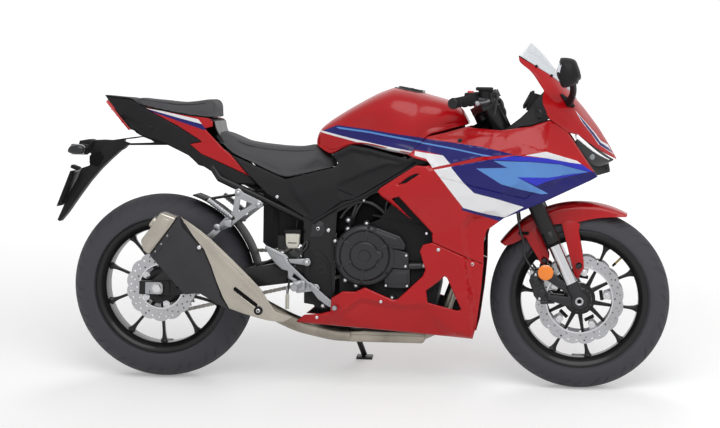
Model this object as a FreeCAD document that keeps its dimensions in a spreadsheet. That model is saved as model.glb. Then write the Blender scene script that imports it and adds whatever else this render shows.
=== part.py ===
"""Sport bike standing on its side stand, as separate named sub-parts.

Frame while modelling: the bike is upright, x points forward from the rear axle,
y to the rider's left and z up from the ground, in millimetres. Every sub-part is
then leaned to the left about the line on which both tyres roll, onto the stand.
"""
import FreeCAD, Part
import math
import os

import Sketcher
from FreeCAD import Placement, Rotation, Vector

# Driving dimensions: alias, value in mm or degrees, what it is.
SIZES = [
    ("wheelbase", 1410, "between the axles"),
    ("lean_angle", 9, "to the left, on the side stand"),
    ("rake_angle", 25.5, "of the steering axis from the vertical"),
    ("fork_offset", 37, "fork legs ahead of the steering axis"),
    ("fork_spread", 97, "fork leg from the middle plane"),
    ("fork_outer_radius", 27, "outer tubes of the upside-down fork"),
    ("fork_inner_radius", 20.5, "inner tubes of the fork"),
    ("head_height", 865, "middle of the head tube"),
    ("head_tube_length", 120, "along the steering axis"),
    ("head_tube_radius", 34, "outside"),
    ("stem_radius", 17, "steering stem"),
    ("front_tyre_radius", 300, "at the crown"),
    ("front_tyre_half_width", 60, "and crown radius"),
    ("front_rim_half_width", 46, "between flanges"),
    ("rear_tyre_radius", 312, "at the crown"),
    ("rear_tyre_half_width", 80, "and crown radius"),
    ("rear_rim_half_width", 66, "between flanges"),
    ("bead_radius", 216, "seventeen inch rim, bead seat"),
    ("flange_radius", 230, "rim flange"),
    ("barrel_radius", 198, "inside of the rim barrel"),
    ("spoke_width", 30, "along the axle"),
    ("axle_radius", 12.4, "both axles"),
    ("axle_clearance", 0.3, "around axles, pins and the stem"),
    ("front_hub_radius", 48, "outside"),
    ("front_hub_half", 58, "half length"),
    ("rear_hub_radius", 56, "outside"),
    ("rear_hub_half", 75, "half length"),
    ("disc_thickness", 5, "all brake discs"),
    ("front_disc_radius", 148, "outside"),
    ("rear_disc_radius", 120, "outside"),
    ("sprocket_radius", 106, "rear sprocket pitch circle"),
    ("output_radius", 40, "front sprocket pitch circle"),
    ("chain_line", 104, "chain plane to the left of the middle"),
    ("chain_height", 15, "of the side plates"),
    ("pivot_station", 553, "swingarm pivot ahead of the rear axle"),
    ("pivot_height", 388, "swingarm pivot"),
    ("pivot_plate_inner", 118, "inside face of the pivot plates"),
    ("frame_outer", 142, "outside face of the frame"),
    ("beam_depth", 50, "of the main frame beams"),
    ("rail_radius", 12, "seat rail tubes"),
    ("engine_half", 145, "crankcase from the middle plane"),
    ("radiator_half", 165, "radiator from the middle plane"),
    ("panel", 3.5, "thickness of the bodywork"),
    ("seam", 0.5, "between neighbouring panels and from panel to stay"),
    ("tank_half", 138, "fuel tank from the middle plane"),
    ("seat_half", 120, "rider's seat at its widest"),
    ("pillion_half", 102, "passenger seat at its widest"),
    ("silencer_inner", 168, "inside face of the silencer"),
    ("silencer_width", 84, "of the silencer"),
    ("pipe_radius", 19, "exhaust headers"),
    ("tail_pipe_radius", 26, "pipe into the silencer"),
    ("cap_radius", 42, "fuel cap"),
    ("grip_radius", 16, "handlebar grips"),
    ("bar_half", 340, "bar end from the middle plane"),
    ("mirror_half", 372, "mirror from the middle plane"),
    ("peg_half", 290, "rider's peg from the middle plane"),
    ("peg_radius", 13, "all pegs"),
    ("stand_foot", 285, "stand foot from the middle plane"),
    ("stand_bolt_radius", 7, "pin of the side stand"),
    ("hose_radius", 3.5, "brake hoses"),
]

doc = FreeCAD.newDocument("SportBike")
sheet = doc.addObject("Spreadsheet::Sheet", "Sizes")
for row, (alias, value, note) in enumerate(SIZES, start=1):
    sheet.set(f"A{row}", note)
    sheet.set(f"B{row}", str(value))
    sheet.setAlias(f"B{row}", alias)
doc.recompute()


def size(alias):
    """Read one driving dimension from the sheet."""
    return float(sheet.get(alias))


# Stations that the outlines are measured from.
RAKE = math.radians(size("rake_angle"))
LEAN = math.radians(size("lean_angle"))
REAR_Z = size("rear_tyre_radius") + size("rear_tyre_half_width") * (1 / math.cos(LEAN) - 1)
FRONT_Z = size("front_tyre_radius") + size("front_tyre_half_width") * (1 / math.cos(LEAN) - 1)
F = size("wheelbase")
P = size("pivot_station")
HEAD_Z = size("head_height")
H = F - size("fork_offset") / math.cos(RAKE) - (HEAD_Z - FRONT_Z) * math.tan(RAKE)
AXLE_DROP = (HEAD_Z - FRONT_Z) / math.cos(RAKE) + size("fork_offset") * math.tan(RAKE)
REAR_AXLE = Vector(0, 0, REAR_Z)
FRONT_AXLE = Vector(F, 0, FRONT_Z)
# Middle of the leaned bike's plan, from what sticks out at each end and side:
# the left mirror's top and the right peg, the plate and the front tyre.
SIDE_SHIFT = ((size("mirror_half") - size("peg_half")) * math.cos(LEAN) + 1404 * math.sin(LEAN)) / 2
END_SHIFT = (F + size("front_tyre_radius") - 373) / 2

STEERING = Placement(Vector(H, 0, HEAD_Z), Rotation(Vector(0, 1, 0), -size("rake_angle")))
LEANING = Placement(Vector(-END_SHIFT, -SIDE_SHIFT, 0), Rotation(Vector(1, 0, 0), -size("lean_angle")))

subparts = []
counter = {"made": 0}


def new(kind, stem):
    """Add a feature with a name of its own."""
    counter["made"] += 1
    return doc.addObject(kind, f"{stem}_{counter['made']}")


def bind(item, prop, value):
    """Set a size to a number, or bind it to an expression on the sheet."""
    if isinstance(value, str):
        item.setExpression(prop, value)
    else:
        setattr(item, prop, value)


def subpart(label, pieces, place=Placement()):
    """Finish a sub-part: name it, place it and lean it with the bike."""
    item = pieces
    if isinstance(pieces, list):
        item = new("Part::Compound", "Set")
        item.Links = pieces
    item.Label = label
    item.Placement = LEANING.multiply(place).multiply(item.Placement)
    subparts.append(item)
    return item


def box(low, high):
    """Block between two corners."""
    item = new("Part::Box", "Block")
    item.Length, item.Width, item.Height = [b - a for a, b in zip(low, high)]
    item.Placement.Base = Vector(*low)
    return item


def rod(start, end, radius):
    """Round bar between two points."""
    start, end = Vector(*start), Vector(*end)
    item = new("Part::Cylinder", "Rod")
    bind(item, "Radius", radius)
    item.Height = (end - start).Length
    item.Placement = Placement(start, Rotation(Vector(0, 0, 1), end - start))
    return item


def along_y(x, z, low, high, radius):
    """Round bar across the bike."""
    return rod((x, low, z), (x, high, z), radius)


def bent_rod(points, radius):
    """Round bar along straight runs, with a ball at each bend."""
    pieces = [rod(a, b, radius) for a, b in zip(points, points[1:])]
    for point in points[1:-1]:
        ball = new("Part::Sphere", "Bend")
        bind(ball, "Radius", radius)
        ball.Placement.Base = Vector(*point)
        pieces.append(ball)
    return fuse(pieces)


def fuse(pieces):
    """Join touching or overlapping pieces into one."""
    if len(pieces) == 1:
        return pieces[0]
    item = new("Part::MultiFuse", "Union")
    item.Shapes = pieces
    return item


def common(pieces):
    """Keep what all the pieces share."""
    item = pieces[0]
    for other in pieces[1:]:
        joint = new("Part::Common", "Shared")
        joint.Base, joint.Tool = item, other
        item = joint
    return item


def cut(base, tools):
    """Take the tools away from the base."""
    item = new("Part::Cut", "Cut")
    item.Base = base
    item.Tool = fuse(tools)
    return item


def loop(points):
    """Closed line through the points."""
    item = new("Part::Polygon", "Outline")
    item.Nodes = [Vector(*point) for point in points]
    item.Close = True
    return item


def prism(points, direction, length):
    """Solid swept from a closed line."""
    item = new("Part::Extrusion", "Prism")
    item.Base = loop(points)
    item.DirMode = "Custom"
    item.Dir = Vector(*direction)
    bind(item, "LengthFwd", length)
    item.Solid = True
    return item


def side(points, low, high):
    """Solid from an outline in the side view, between two y planes."""
    return prism([(x, low, z) for x, z in points], (0, 1, 0), high - low)


def plan(points, low, high):
    """Solid from an outline in the top view, between two heights."""
    return prism([(x, y, low) for x, y in points], (0, 0, 1), high - low)


def front(points, low, high):
    """Solid from an outline in the front view, between two x planes."""
    return prism([(low, y, z) for y, z in points], (1, 0, 0), high - low)


def both(points):
    """Outline of a half given from front to back, closed with its mirror image."""
    return points + [(x, -y) for x, y in reversed(points)]


def both_sides(points):
    """Front-view outline of a half given as (y, z), closed with its mirror image."""
    return points + [(-y, z) for y, z in reversed(points)]


def mirror(item):
    """The same piece on the other side of the bike."""
    twin = new("Part::Mirroring", "Mirror")
    twin.Source = item
    twin.Normal = Vector(0, 1, 0)
    return twin


def shrunk(points, gap):
    """An outline with each corner moved towards the middle."""
    middle_x = sum(x for x, _ in points) / len(points)
    middle_z = sum(z for _, z in points) / len(points)
    moved = []
    for x, z in points:
        length = math.hypot(x - middle_x, z - middle_z)
        moved.append((x - (x - middle_x) * gap / length, z - (z - middle_z) * gap / length))
    return moved


def wall(sections, thickness):
    """Thin ruled wall through cross-sections given as (x, [(y, z), ...])."""
    item = new("Part::Loft", "Wall")
    rings = []
    for x, profile in sections:
        outer = [(x, y, z) for y, z in profile]
        inner = [(x, y - thickness, z) for y, z in reversed(profile)]
        rings.append(loop(outer + inner))
    item.Sections = rings
    item.Solid = True
    item.Ruled = True
    return item


def height_to_side(profile, z):
    """Where a wall's outer face stands at a height, from its (y, z) profile."""
    for (y0, z0), (y1, z1) in zip(profile, profile[1:]):
        if z0 <= z <= z1:
            return y0 + (y1 - y0) * (z - z0) / (z1 - z0)
    return profile[-1][0]


def stay_reach(profile, z, radius):
    """How far out a round stay can end without touching the wall it carries."""
    nearest = min(height_to_side(profile, z - radius), height_to_side(profile, z + radius))
    return nearest - size("panel") - size("seam")


def at(station, points):
    """Outline points measured forward from a station."""
    return [(station + x, z) for x, z in points]


def plane_of(body, role):
    """Origin plane of a body."""
    return next(item for item in body.Origin.OriginFeatures if item.Role == role)


def sketch_on(body, role):
    """Empty sketch on an origin plane of a body."""
    sketch = body.newObject("Sketcher::SketchObject", f"Sketch_{body.Name}")
    sketch.AttachmentSupport = (plane_of(body, role), [""])
    sketch.MapMode = "FlatFace"
    return sketch


def draw_line_loop(sketch, points):
    """Closed line of straight edges in a sketch."""
    corners = [Vector(u, v, 0) for u, v in points]
    for start, end in zip(corners, corners[1:] + corners[:1]):
        sketch.addGeometry(Part.LineSegment(start, end))


def draw_circle(sketch, centre, radius):
    """Circle in a sketch, its radius bound to the sheet where an expression is given."""
    start = 10.0 if isinstance(radius, str) else radius
    index = sketch.addGeometry(Part.Circle(Vector(*centre, 0), Vector(0, 0, 1), start))
    if isinstance(radius, str):
        made = sketch.addConstraint(Sketcher.Constraint("Radius", index, start))
        sketch.setExpression(f"Constraints[{made}]", radius)


def revolved(body, sketch):
    """Turn a sketch of (radius, y) points about the y axis."""
    turn = body.newObject("PartDesign::Revolution", f"Turn_{body.Name}")
    turn.Profile = sketch
    turn.ReferenceAxis = (sketch, ["V_Axis"])
    turn.Angle = 360
    return turn


def plate_body(circles, thickness):
    """Flat round plate across the bike, from circles of (centre, radius)."""
    body = new("PartDesign::Body", "Plate")
    sketch = sketch_on(body, "XZ_Plane")
    for centre, radius in circles:
        draw_circle(sketch, centre, radius)
    pad = body.newObject("PartDesign::Pad", f"Pad_{body.Name}")
    pad.Profile = sketch
    bind(pad, "Length", thickness)
    pad.SideType = "Symmetric"
    return body


def ring_of_centres(radius, count, start_angle):
    """Centres spaced evenly round a circle."""
    turns = [math.radians(start_angle + 360 * k / count) for k in range(count)]
    return [(radius * math.cos(a), radius * math.sin(a)) for a in turns]


# ---------------------------------------------------------------- wheels


def tyre(radius, half, rim_half):
    """Hollow tyre section turned about the axle."""
    body = new("PartDesign::Body", "Tyre")
    sketch = sketch_on(body, "XY_Plane")
    bead, flange = size("bead_radius"), size("flange_radius")
    middle = radius - half
    wall_depth = 9
    outside = [
        (middle, half),
        (flange + 1.5, rim_half + 4),
        (flange + 1, rim_half - 0.5),
        (bead + 1, rim_half - 3.5),
        (bead + 0.5, rim_half - 12),
        (bead + 8, rim_half - 11),
        (middle + wall_depth, half - wall_depth),
    ]
    for sign in (1, -1):
        corners = [Vector(r, sign * y, 0) for r, y in outside]
        for start, end in zip(corners, corners[1:]):
            sketch.addGeometry(Part.LineSegment(start, end))
    crowns = ((middle, half, radius), (middle + wall_depth, half - wall_depth, radius - wall_depth - 3))
    for edge_radius, edge, crown in crowns:
        ends = (Vector(edge_radius, -edge, 0), Vector(crown, 0, 0), Vector(edge_radius, edge, 0))
        sketch.addGeometry(Part.Arc(*ends))
    revolved(body, sketch)
    return body


def rim(rim_half, hub_radius, hub_half, first_angle):
    """Cast wheel: barrel with flanges, hub and five forked spokes."""
    body = new("PartDesign::Body", "Rim")
    bead, flange, barrel = size("bead_radius"), size("flange_radius"), size("barrel_radius")
    sketch = sketch_on(body, "XY_Plane")
    half_section = [
        (flange, rim_half + 5),
        (flange, rim_half),
        (bead, rim_half - 3),
        (barrel + 8, rim_half - 20),
    ]
    inner_edge = [(barrel, rim_half - 18), (flange - 8, rim_half + 5)]
    section = half_section + [(r, -y) for r, y in reversed(half_section)]
    section += [(r, -y) for r, y in reversed(inner_edge)] + inner_edge
    draw_line_loop(sketch, section)
    revolved(body, sketch)

    hub = sketch_on(body, "XY_Plane")
    bore = size("axle_radius") + size("axle_clearance")
    corners = [(bore, -hub_half), (hub_radius, -hub_half), (hub_radius, hub_half), (bore, hub_half)]
    draw_line_loop(hub, corners)

    spoke = sketch_on(body, "XZ_Plane")
    reach = barrel + 5
    turn = math.radians(first_angle)
    root, fork, half_root = hub_radius - 6, hub_radius + 62, 19
    tips = [(reach * math.cos(a), reach * math.sin(a)) for a in map(math.radians, (21, 14.5))]
    upper = [(root, half_root), (root + 50, half_root), tips[0], tips[1]]
    shape = upper + [(fork, 0)] + [(u, -v) for u, v in reversed(upper)]
    cosine, sine = math.cos(turn), math.sin(turn)
    draw_line_loop(spoke, [(u * cosine - v * sine, u * sine + v * cosine) for u, v in shape])
    arm = body.newObject("PartDesign::Pad", f"Arm_{body.Name}")
    arm.Profile = spoke
    arm.SideType = "Symmetric"
    arm.setExpression("Length", "Sizes.spoke_width")
    pattern = body.newObject("PartDesign::PolarPattern", f"Arms_{body.Name}")
    pattern.Originals = [arm]
    pattern.Axis = (spoke, ["N_Axis"])
    pattern.Angle = 360
    pattern.Occurrences = 5
    body.Tip = pattern
    revolved(body, hub)
    return body


def build_wheels():
    """Tyres, rims, discs and the rear sprocket."""
    rear_place = Placement(REAR_AXLE, Rotation())
    front_place = Placement(FRONT_AXLE, Rotation())
    shapes = (
        ("front", front_place, 9.5),
        ("rear", rear_place, 0),
    )
    for end, place, first_angle in shapes:
        rim_half = size(f"{end}_rim_half_width")
        made = tyre(size(f"{end}_tyre_radius"), size(f"{end}_tyre_half_width"), rim_half)
        subpart(f"{end}_tyre", made, place)
        hub_radius, hub_half = size(f"{end}_hub_radius"), size(f"{end}_hub_half")
        subpart(f"{end}_rim", rim(rim_half, hub_radius, hub_half, first_angle), place)

    windows = [(centre, 20.0) for centre in ring_of_centres(88, 5, 28)]
    discs = []
    for sign in (1, -1):
        disc = plate_body(
            [((0, 0), "Sizes.front_disc_radius"), ((0, 0), 30.0)] + windows, "Sizes.disc_thickness",
        )
        disc.Placement.Base.y = sign * (size("front_hub_half") + size("disc_thickness") / 2)
        discs.append(disc)
    subpart("front_discs", discs, front_place)

    windows = [(centre, 13.0) for centre in ring_of_centres(78, 5, 36)]
    disc = plate_body([((0, 0), "Sizes.rear_disc_radius"), ((0, 0), 30.0)] + windows, "Sizes.disc_thickness")
    disc.Placement.Base.y = -(size("rear_hub_half") + size("disc_thickness") / 2)
    subpart("rear_disc", disc, rear_place)

    # The sprocket bolts to the end of the hub through a stepped carrier.
    carrier_length = size("chain_line") - size("rear_hub_half")
    teeth = plate_body([((0, 0), "Sizes.sprocket_radius"), ((0, 0), 30.0)], 6.0)
    teeth.Placement.Base.y = size("chain_line")
    carrier = plate_body([((0, 0), 70.0), ((0, 0), 30.0)], carrier_length)
    carrier.Placement.Base.y = size("rear_hub_half") + carrier_length / 2
    subpart("rear_sprocket", fuse([teeth, carrier]), rear_place)


# ---------------------------------------------------------------- chassis

BEAM_REAR = (P + 47, 607)
BEAM_FRONT = (H - 15, 868)
# Threads for lifting spools in the outer faces of the swingarm.
SPOOL_THREAD = (70, 318)
SPOOL_RADIUS = 4
SPOOL_DEPTH = 20
LOWER_RAIL = [(P - 30, 128, 540), (205, 128, 685), (120, 84, 798)]
STAND_PIVOT = Vector(P + 40, 160, 262)
STAND_AXIS = Vector(0.0706, 0.8327, 0.5493)
BEAM_SLOPE = (BEAM_FRONT[1] - BEAM_REAR[1]) / (BEAM_FRONT[0] - BEAM_REAR[0])


def beam_height(x):
    """Middle of the main beams at a station."""
    return BEAM_REAR[1] + BEAM_SLOPE * (x - BEAM_REAR[0])


TAIL_PLAN = [(-215, 46), (-100, 82), (60, 112), (190, 132), (330, 138)]


def tail_reach(x):
    """How far out a stay inside the tail cowl can end."""
    for (x0, y0), (x1, y1) in zip(TAIL_PLAN, TAIL_PLAN[1:]):
        if x0 <= x <= x1:
            return y0 + (y1 - y0) * (x - x0) / (x1 - x0) - size("panel") - 3 * size("seam")
    return TAIL_PLAN[-1][1]


# Upper fairing side: height against distance from the middle plane.
UPPER_SIDE = [(192, 400), (200, 520), (222, 690), (230, 760), (192, 880), (176, 912)]
LOWER_SIDE = [(128, 150), (160, 200), (186, 300), (192, 445), (195, 520)]


def steering_point(x, y, z):
    """A point given in the steering frame, as a point of the upright bike."""
    return tuple(STEERING.multVec(Vector(x, y, z)))


def build_frame():
    """Main frame with its head tube, beams, pivot plates, stays and seat rails."""
    outer, inner = size("frame_outer"), size("pivot_plate_inner")
    half_depth = size("beam_depth") / 2 / math.cos(math.atan(BEAM_SLOPE))
    rear_x, front_x = BEAM_REAR[0] - 60, BEAM_FRONT[0] + 10
    band = [
        (rear_x, beam_height(rear_x) - half_depth),
        (front_x, beam_height(front_x) - half_depth),
        (front_x, beam_height(front_x) + half_depth),
        (rear_x, beam_height(rear_x) + half_depth),
    ]
    beam_plan = [
        (rear_x, inner),
        (H - 150, inner),
        (H - 10, 12),
        (H + 12, 12),
        (H - 2, 44),
        (H - 135, outer),
        (rear_x, outer),
    ]
    beam = common([side(band, 0, outer + 10), plan(beam_plan, 400, 1000)])
    plate = side(
        at(P, [(-63, 606), (-7, 642), (57, 640), (48, 560), (44, 470), (47, 258), (-57, 275)]), inner, outer
    )
    plate = cut(plate, [along_y(P, size("pivot_height"), 0, 200, 10.3)])
    stay_x = H - 90
    reach = stay_reach(UPPER_SIDE, beam_height(stay_x), 7)
    fairing_stay = along_y(stay_x, beam_height(stay_x), 90, reach, 7.0)
    pads = [along_y(x, beam_height(x), inner + 4, outer + 4.2, 11.0) for x in (P + 90, P + 160)]
    tank_rest = box((P + 247, inner + 4, beam_height(P + 247) - 5), (P + 277, outer - 4, 767.6))
    rails = [
        bent_rod([(P + 50, 112, 642), (P - 120, 88, 722), (240, 82, 768), (-58, 66, 860)], 10.0),
        bent_rod(LOWER_RAIL, "Sizes.rail_radius"),
    ]
    stand_lug = side(at(P, [(-20, 300), (40, 300), (58, 256), (40, 236), (-20, 258)]), inner, outer)
    axis = Vector(*STAND_AXIS).normalize()
    stand_seat = [
        rod(tuple(STAND_PIVOT - axis * 34), tuple(STAND_PIVOT + axis * 9), "Sizes.stand_bolt_radius"),
        rod(tuple(STAND_PIVOT - axis * 32), tuple(STAND_PIVOT - axis * 6.4), 15.0),
    ]
    left = fuse([beam, plate, fairing_stay, tank_rest] + pads + rails)

    shell = rod(
        steering_point(0, 0, -size("head_tube_length") / 2),
        steering_point(0, 0, size("head_tube_length") / 2), "Sizes.head_tube_radius",
    )
    bore = rod(
        steering_point(0, 0, -200), steering_point(0, 0, 200), "Sizes.stem_radius + Sizes.axle_clearance",
    )
    nose_stay = side(
        at(H, [(5, 838), (45, 838), (124, 863), (190, 863), (190, 884), (124, 884), (5, 862)]), -24, 24
    )
    crosses = [
        along_y(P + 4, 636, -inner - 5, inner + 5, 14.0),
        along_y(P - 118, 722, -88, 88, 9.0),
        along_y(340, 758.4, -90, 90, 8.0),
        along_y(20, 836, -tail_reach(20), tail_reach(20), 8.0),
        along_y(P - 30, 285, -inner - 5, inner + 5, 12.0),
    ]
    shock_mount = side(at(P, [(-45, 628), (4, 628), (4, 648), (-12, 662), (-40, 662)]), -16, 16)
    whole = fuse([left, mirror(left), shell, nose_stay, shock_mount, stand_lug] + stand_seat + crosses)
    subpart("main_frame", cut(whole, [bore]))


def build_engine():
    """Crankcase, cylinders and head as one heavy block, and its bolted covers."""
    half = size("engine_half")
    outline = at(P, [
        (62, 255), (147, 190), (345, 190), (375, 262), (388, 330), (392, 430), (402, 480), (447, 560),
        (457, 640), (412, 722), (332, 716), (267, 664), (192, 560), (87, 520), (62, 470),
    ])
    block = side(outline, -half, half)
    sprocket_bay = box((P + 40, size("chain_line") - 12, 336), (P + 142, half + 1, 464))
    shaft = along_y(P + 87, 400, 60, size("chain_line") + 3, size("output_radius") - 8)
    rear_lug = along_y(P + 22, 520, -size("pivot_plate_inner") + 0.3, size("pivot_plate_inner") - 0.3, 20.0)
    web = box((P + 22, -60, 504), (P + 90, 60, 520))
    belly_x, belly_z = P + 307, 240
    reach = stay_reach(LOWER_SIDE, belly_z, 7)
    stays = along_y(belly_x, belly_z, -reach, reach, 7.0)
    subpart("engine_block", fuse([cut(block, [sprocket_bay]), shaft, rear_lug, web, stays]))

    clutch_x, clutch_z = P + 148, 441
    clutch = fuse([
        along_y(clutch_x, clutch_z, -half - 38, -half, 104.0),
        along_y(clutch_x, clutch_z, -half - 52, -half, 82.0),
        along_y(clutch_x, clutch_z, -half - 60, -half, 39.0),
    ])
    generator = fuse([
        along_y(P + 250, 345, half, half + 26, 72.0),
        along_y(P + 250, 345, half, half + 30, 54.0),
    ])
    sprocket_cover = side(
        at(P, [(52, 345), (75, 330), (140, 335), (156, 400), (140, 468), (75, 472), (52, 440)]), half,
        half + 13,
    )
    subpart("engine_covers", [clutch, generator, sprocket_cover])


def build_radiator():
    """Radiator in front of the cylinder head, with its brackets."""
    half = size("radiator_half")
    core = box((H - 40, -half, 480), (H - 15, half, 740))
    mounts = []
    reach = stay_reach(UPPER_SIDE, 600, 7)
    for sign in (1, -1):
        mounts.append(rod((P + 453.5, sign * 128, 600), (H - 35, sign * 128, 600), 8.0))
        mounts.append(rod((H - 27, sign * (half - 5), 600), (H - 27, sign * reach, 600), 7.0))
    subpart("radiator", fuse([core] + mounts))


def build_swingarm():
    """Two-armed swingarm with its pivot tube and cross beam."""
    inner = size("pivot_plate_inner")
    outline = [
        (-62, REAR_Z - 22), (40, REAR_Z - 24), (P - 178, 330), (P + 10, 352), (P + 34, 370),
        (P + 34, 406), (P + 10, 424), (P - 178, 400), (40, REAR_Z + 24), (-62, REAR_Z + 22),
    ]
    arm_plan = [
        (P + 34, inner - 34), (P - 133, inner - 34), (P - 213, inner + 2), (-62, inner + 2),
        (-62, inner + 28), (P - 213, inner + 28), (P - 113, inner - 6), (P + 34, inner - 6),
    ]
    arm = common([side(outline, 0, 200), plan(arm_plan, 200, 500)])
    pivot_tube = along_y(P, size("pivot_height"), -inner + 0.3, inner - 0.3, 24.0)
    cross = box((P - 130, -inner + 30, 345), (P - 60, inner - 30, 402))
    shock_ears = side(at(P, [(-95, 395), (-45, 395), (-60, 420), (-80, 420)]), -16, 16)
    axle_bore = along_y(0, REAR_Z, -200, 200, "Sizes.axle_radius + 0.1")
    pivot_bore = along_y(P, size("pivot_height"), -200, 200, 10.3)
    whole = fuse([arm, mirror(arm), pivot_tube, cross, shock_ears])
    spools = [
        along_y(*SPOOL_THREAD, sign * (inner + 28 - SPOOL_DEPTH), sign * (inner + 40), SPOOL_RADIUS)
        for sign in (1, -1)
    ]
    subpart("swingarm", cut(whole, [axle_bore, pivot_bore] + spools))


def build_rear_axle():
    """Rear axle with spacers, nuts and chain adjusters, and the swingarm's pivot bolt."""
    inner = size("pivot_plate_inner")
    end = inner + 28
    hub = size("rear_hub_half")
    pieces = [along_y(0, REAR_Z, -end - 16, end + 16, "Sizes.axle_radius")]
    for sign in (1, -1):
        pieces.append(along_y(0, REAR_Z, *sorted((sign * (hub + 0.3), sign * (inner + 1.7))), 18.0))
        low, high = sorted((sign * (end + 0.3), sign * (end + 8)))
        pieces.append(box((-42, low, REAR_Z - 20), (20, high, REAR_Z + 20)))
        low, high = sorted((sign * (end + 7), sign * (end + 16)))
        pieces.append(along_y(0, REAR_Z, low, high, 16.0))
    outer = size("frame_outer")
    bolt = fuse([
        along_y(P, size("pivot_height"), -outer - 2, outer + 2, 10.0),
        along_y(P, size("pivot_height"), outer + 0.3, outer + 3, 17.0),
        along_y(P, size("pivot_height"), -outer - 3, -outer - 0.3, 17.0),
    ])
    subpart("axle_and_pivot", [fuse(pieces), bolt])


def build_rear_shock():
    """Single shock absorber between the swingarm and the frame, spring as a sleeve."""
    foot, top = (P - 70, 0, 420.4), (P - 25, 0, 627.6)
    direction = Vector(*top) - Vector(*foot)
    unit = direction / direction.Length
    points = [Vector(*foot) + unit * s for s in (28, direction.Length - 28)]
    spring = rod(tuple(points[0]), tuple(points[1]), 27.0)
    body = rod(tuple(Vector(*foot) + unit * 3.4), tuple(Vector(*top) - unit * 3.4), 16.0)
    subpart("rear_shock", fuse([spring, body]))


def chain_band(offset):
    """Plate outline that follows both sprockets at a distance from the pitch line."""
    rear, lead = (0.0, REAR_Z), (P + 87, 400.0)
    big, small = size("sprocket_radius") + offset, size("output_radius") + offset
    dx, dz = lead[0] - rear[0], lead[1] - rear[1]
    distance, tilt = math.hypot(dx, dz), math.atan2(dz, dx)
    lean = math.acos((big - small) / distance)
    edges = []
    tops = [
        (c[0] + r * math.cos(tilt + lean), c[1] + r * math.sin(tilt + lean))
        for c, r in ((rear, big), (lead, small))
    ]
    feet = [
        (c[0] + r * math.cos(tilt - lean), c[1] + r * math.sin(tilt - lean))
        for c, r in ((rear, big), (lead, small))
    ]
    back = (rear[0] - big * math.cos(tilt), rear[1] - big * math.sin(tilt))
    nose = (lead[0] + small * math.cos(tilt), lead[1] + small * math.sin(tilt))

    def point(pair):
        return Vector(pair[0], 0, pair[1])

    edges.append(Part.LineSegment(point(tops[0]), point(tops[1])).toShape())
    edges.append(Part.Arc(point(tops[1]), point(nose), point(feet[1])).toShape())
    edges.append(Part.LineSegment(point(feet[1]), point(feet[0])).toShape())
    edges.append(Part.Arc(point(feet[0]), point(back), point(tops[0])).toShape())
    return Part.Face(Part.Wire(edges)), tops, feet


def build_chain():
    """Drive chain as one fixed loop: two side-plate bands with pins on the straight runs."""
    half_height = size("chain_height") / 2
    outer, tops_out, feet_out = chain_band(half_height)
    inner, tops_in, feet_in = chain_band(-half_height)
    ring = outer.cut(inner)
    plate = 2.5
    middle = size("chain_line")
    solids = []
    for low in (middle - 7.5, middle + 5.0):
        band = ring.extrude(Vector(0, plate, 0))
        band.translate(Vector(0, low, 0))
        solids.append(band)
    for pairs in ((tops_out, tops_in), (feet_out, feet_in)):
        start = [(a + b) / 2 for a, b in zip(pairs[0][0], pairs[1][0])]
        end = [(a + b) / 2 for a, b in zip(pairs[0][1], pairs[1][1])]
        for step in (0.35, 0.5, 0.65):
            x, z = [a + (b - a) * step for a, b in zip(start, end)]
            solids.append(Part.makeCylinder(3, 13, Vector(x, middle - 6.5, z), Vector(0, 1, 0)))
    item = new("Part::Feature", "Chain")
    item.Shape = solids[0].multiFuse(solids[1:])
    subpart("drive_chain", item)


# ---------------------------------------------------------------- exhaust


def build_exhaust():
    """Two headers, collector, tail pipe, silencer and its bright trim."""
    radius = "Sizes.pipe_radius"
    headers = []
    for y in (-45, 45):
        path = [
            (P + 455, y, 600), (P + 482, y, 600), (P + 478, y, 440), (P + 417, y, 290),
            (P + 392, y, 195), (P + 330, y * 0.7, 160),
        ]
        headers.append(bent_rod(path, radius))
    chamber = side(at(P, [(40, 142), (340, 142), (345, 180), (140, 184), (60, 176)]), -80, 62)
    tail = bent_rod(
        [(P + 60, -70, 168), (P - 90, -126, 205), (262, -200, 322), (215, -212, 350)],
        "Sizes.tail_pipe_radius",
    )
    subpart("exhaust_pipes", fuse(headers + [chamber, tail]))

    low, high = -size("silencer_inner") - size("silencer_width"), -size("silencer_inner")
    outline = [
        (84, 556), (94, 559), (174, 455), (198, 402), (236, 300), (258, 262), (244, 262),
        (160, 309), (112, 303), (-8, 431), (54, 514),
    ]
    subpart("silencer", cut(side(outline, low, high), [tail_sleeve()]))

    cap = side(
        [(-8.6, 430.6), (53.4, 514.4), (83.4, 556.4), (28, 575), (-9, 518), (-38, 480), (-29, 446)],
        low - 2, high + 2,
    )
    shield_outline = [
        (96, 562), (169, 513), (229, 462), (312, 384), (365, 331), (415, 253), (472, 241), (440, 220),
        (365, 232), (262, 262), (240, 300), (200, 402), (176, 457),
    ]
    shield = side(shield_outline, low - 6, low - 3)
    tab = box((150, low - 4, 450), (172, low - 0.3, 470))
    subpart("silencer_trim", [cap, fuse([shield, tab])])


def tail_sleeve():
    """Room for the tail pipe in the silencer's front face."""
    return bent_rod([(P - 90, -126, 205), (262, -200, 322), (215, -212, 350)], "Sizes.tail_pipe_radius + 0.3")


# ---------------------------------------------------------------- bodywork


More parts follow.
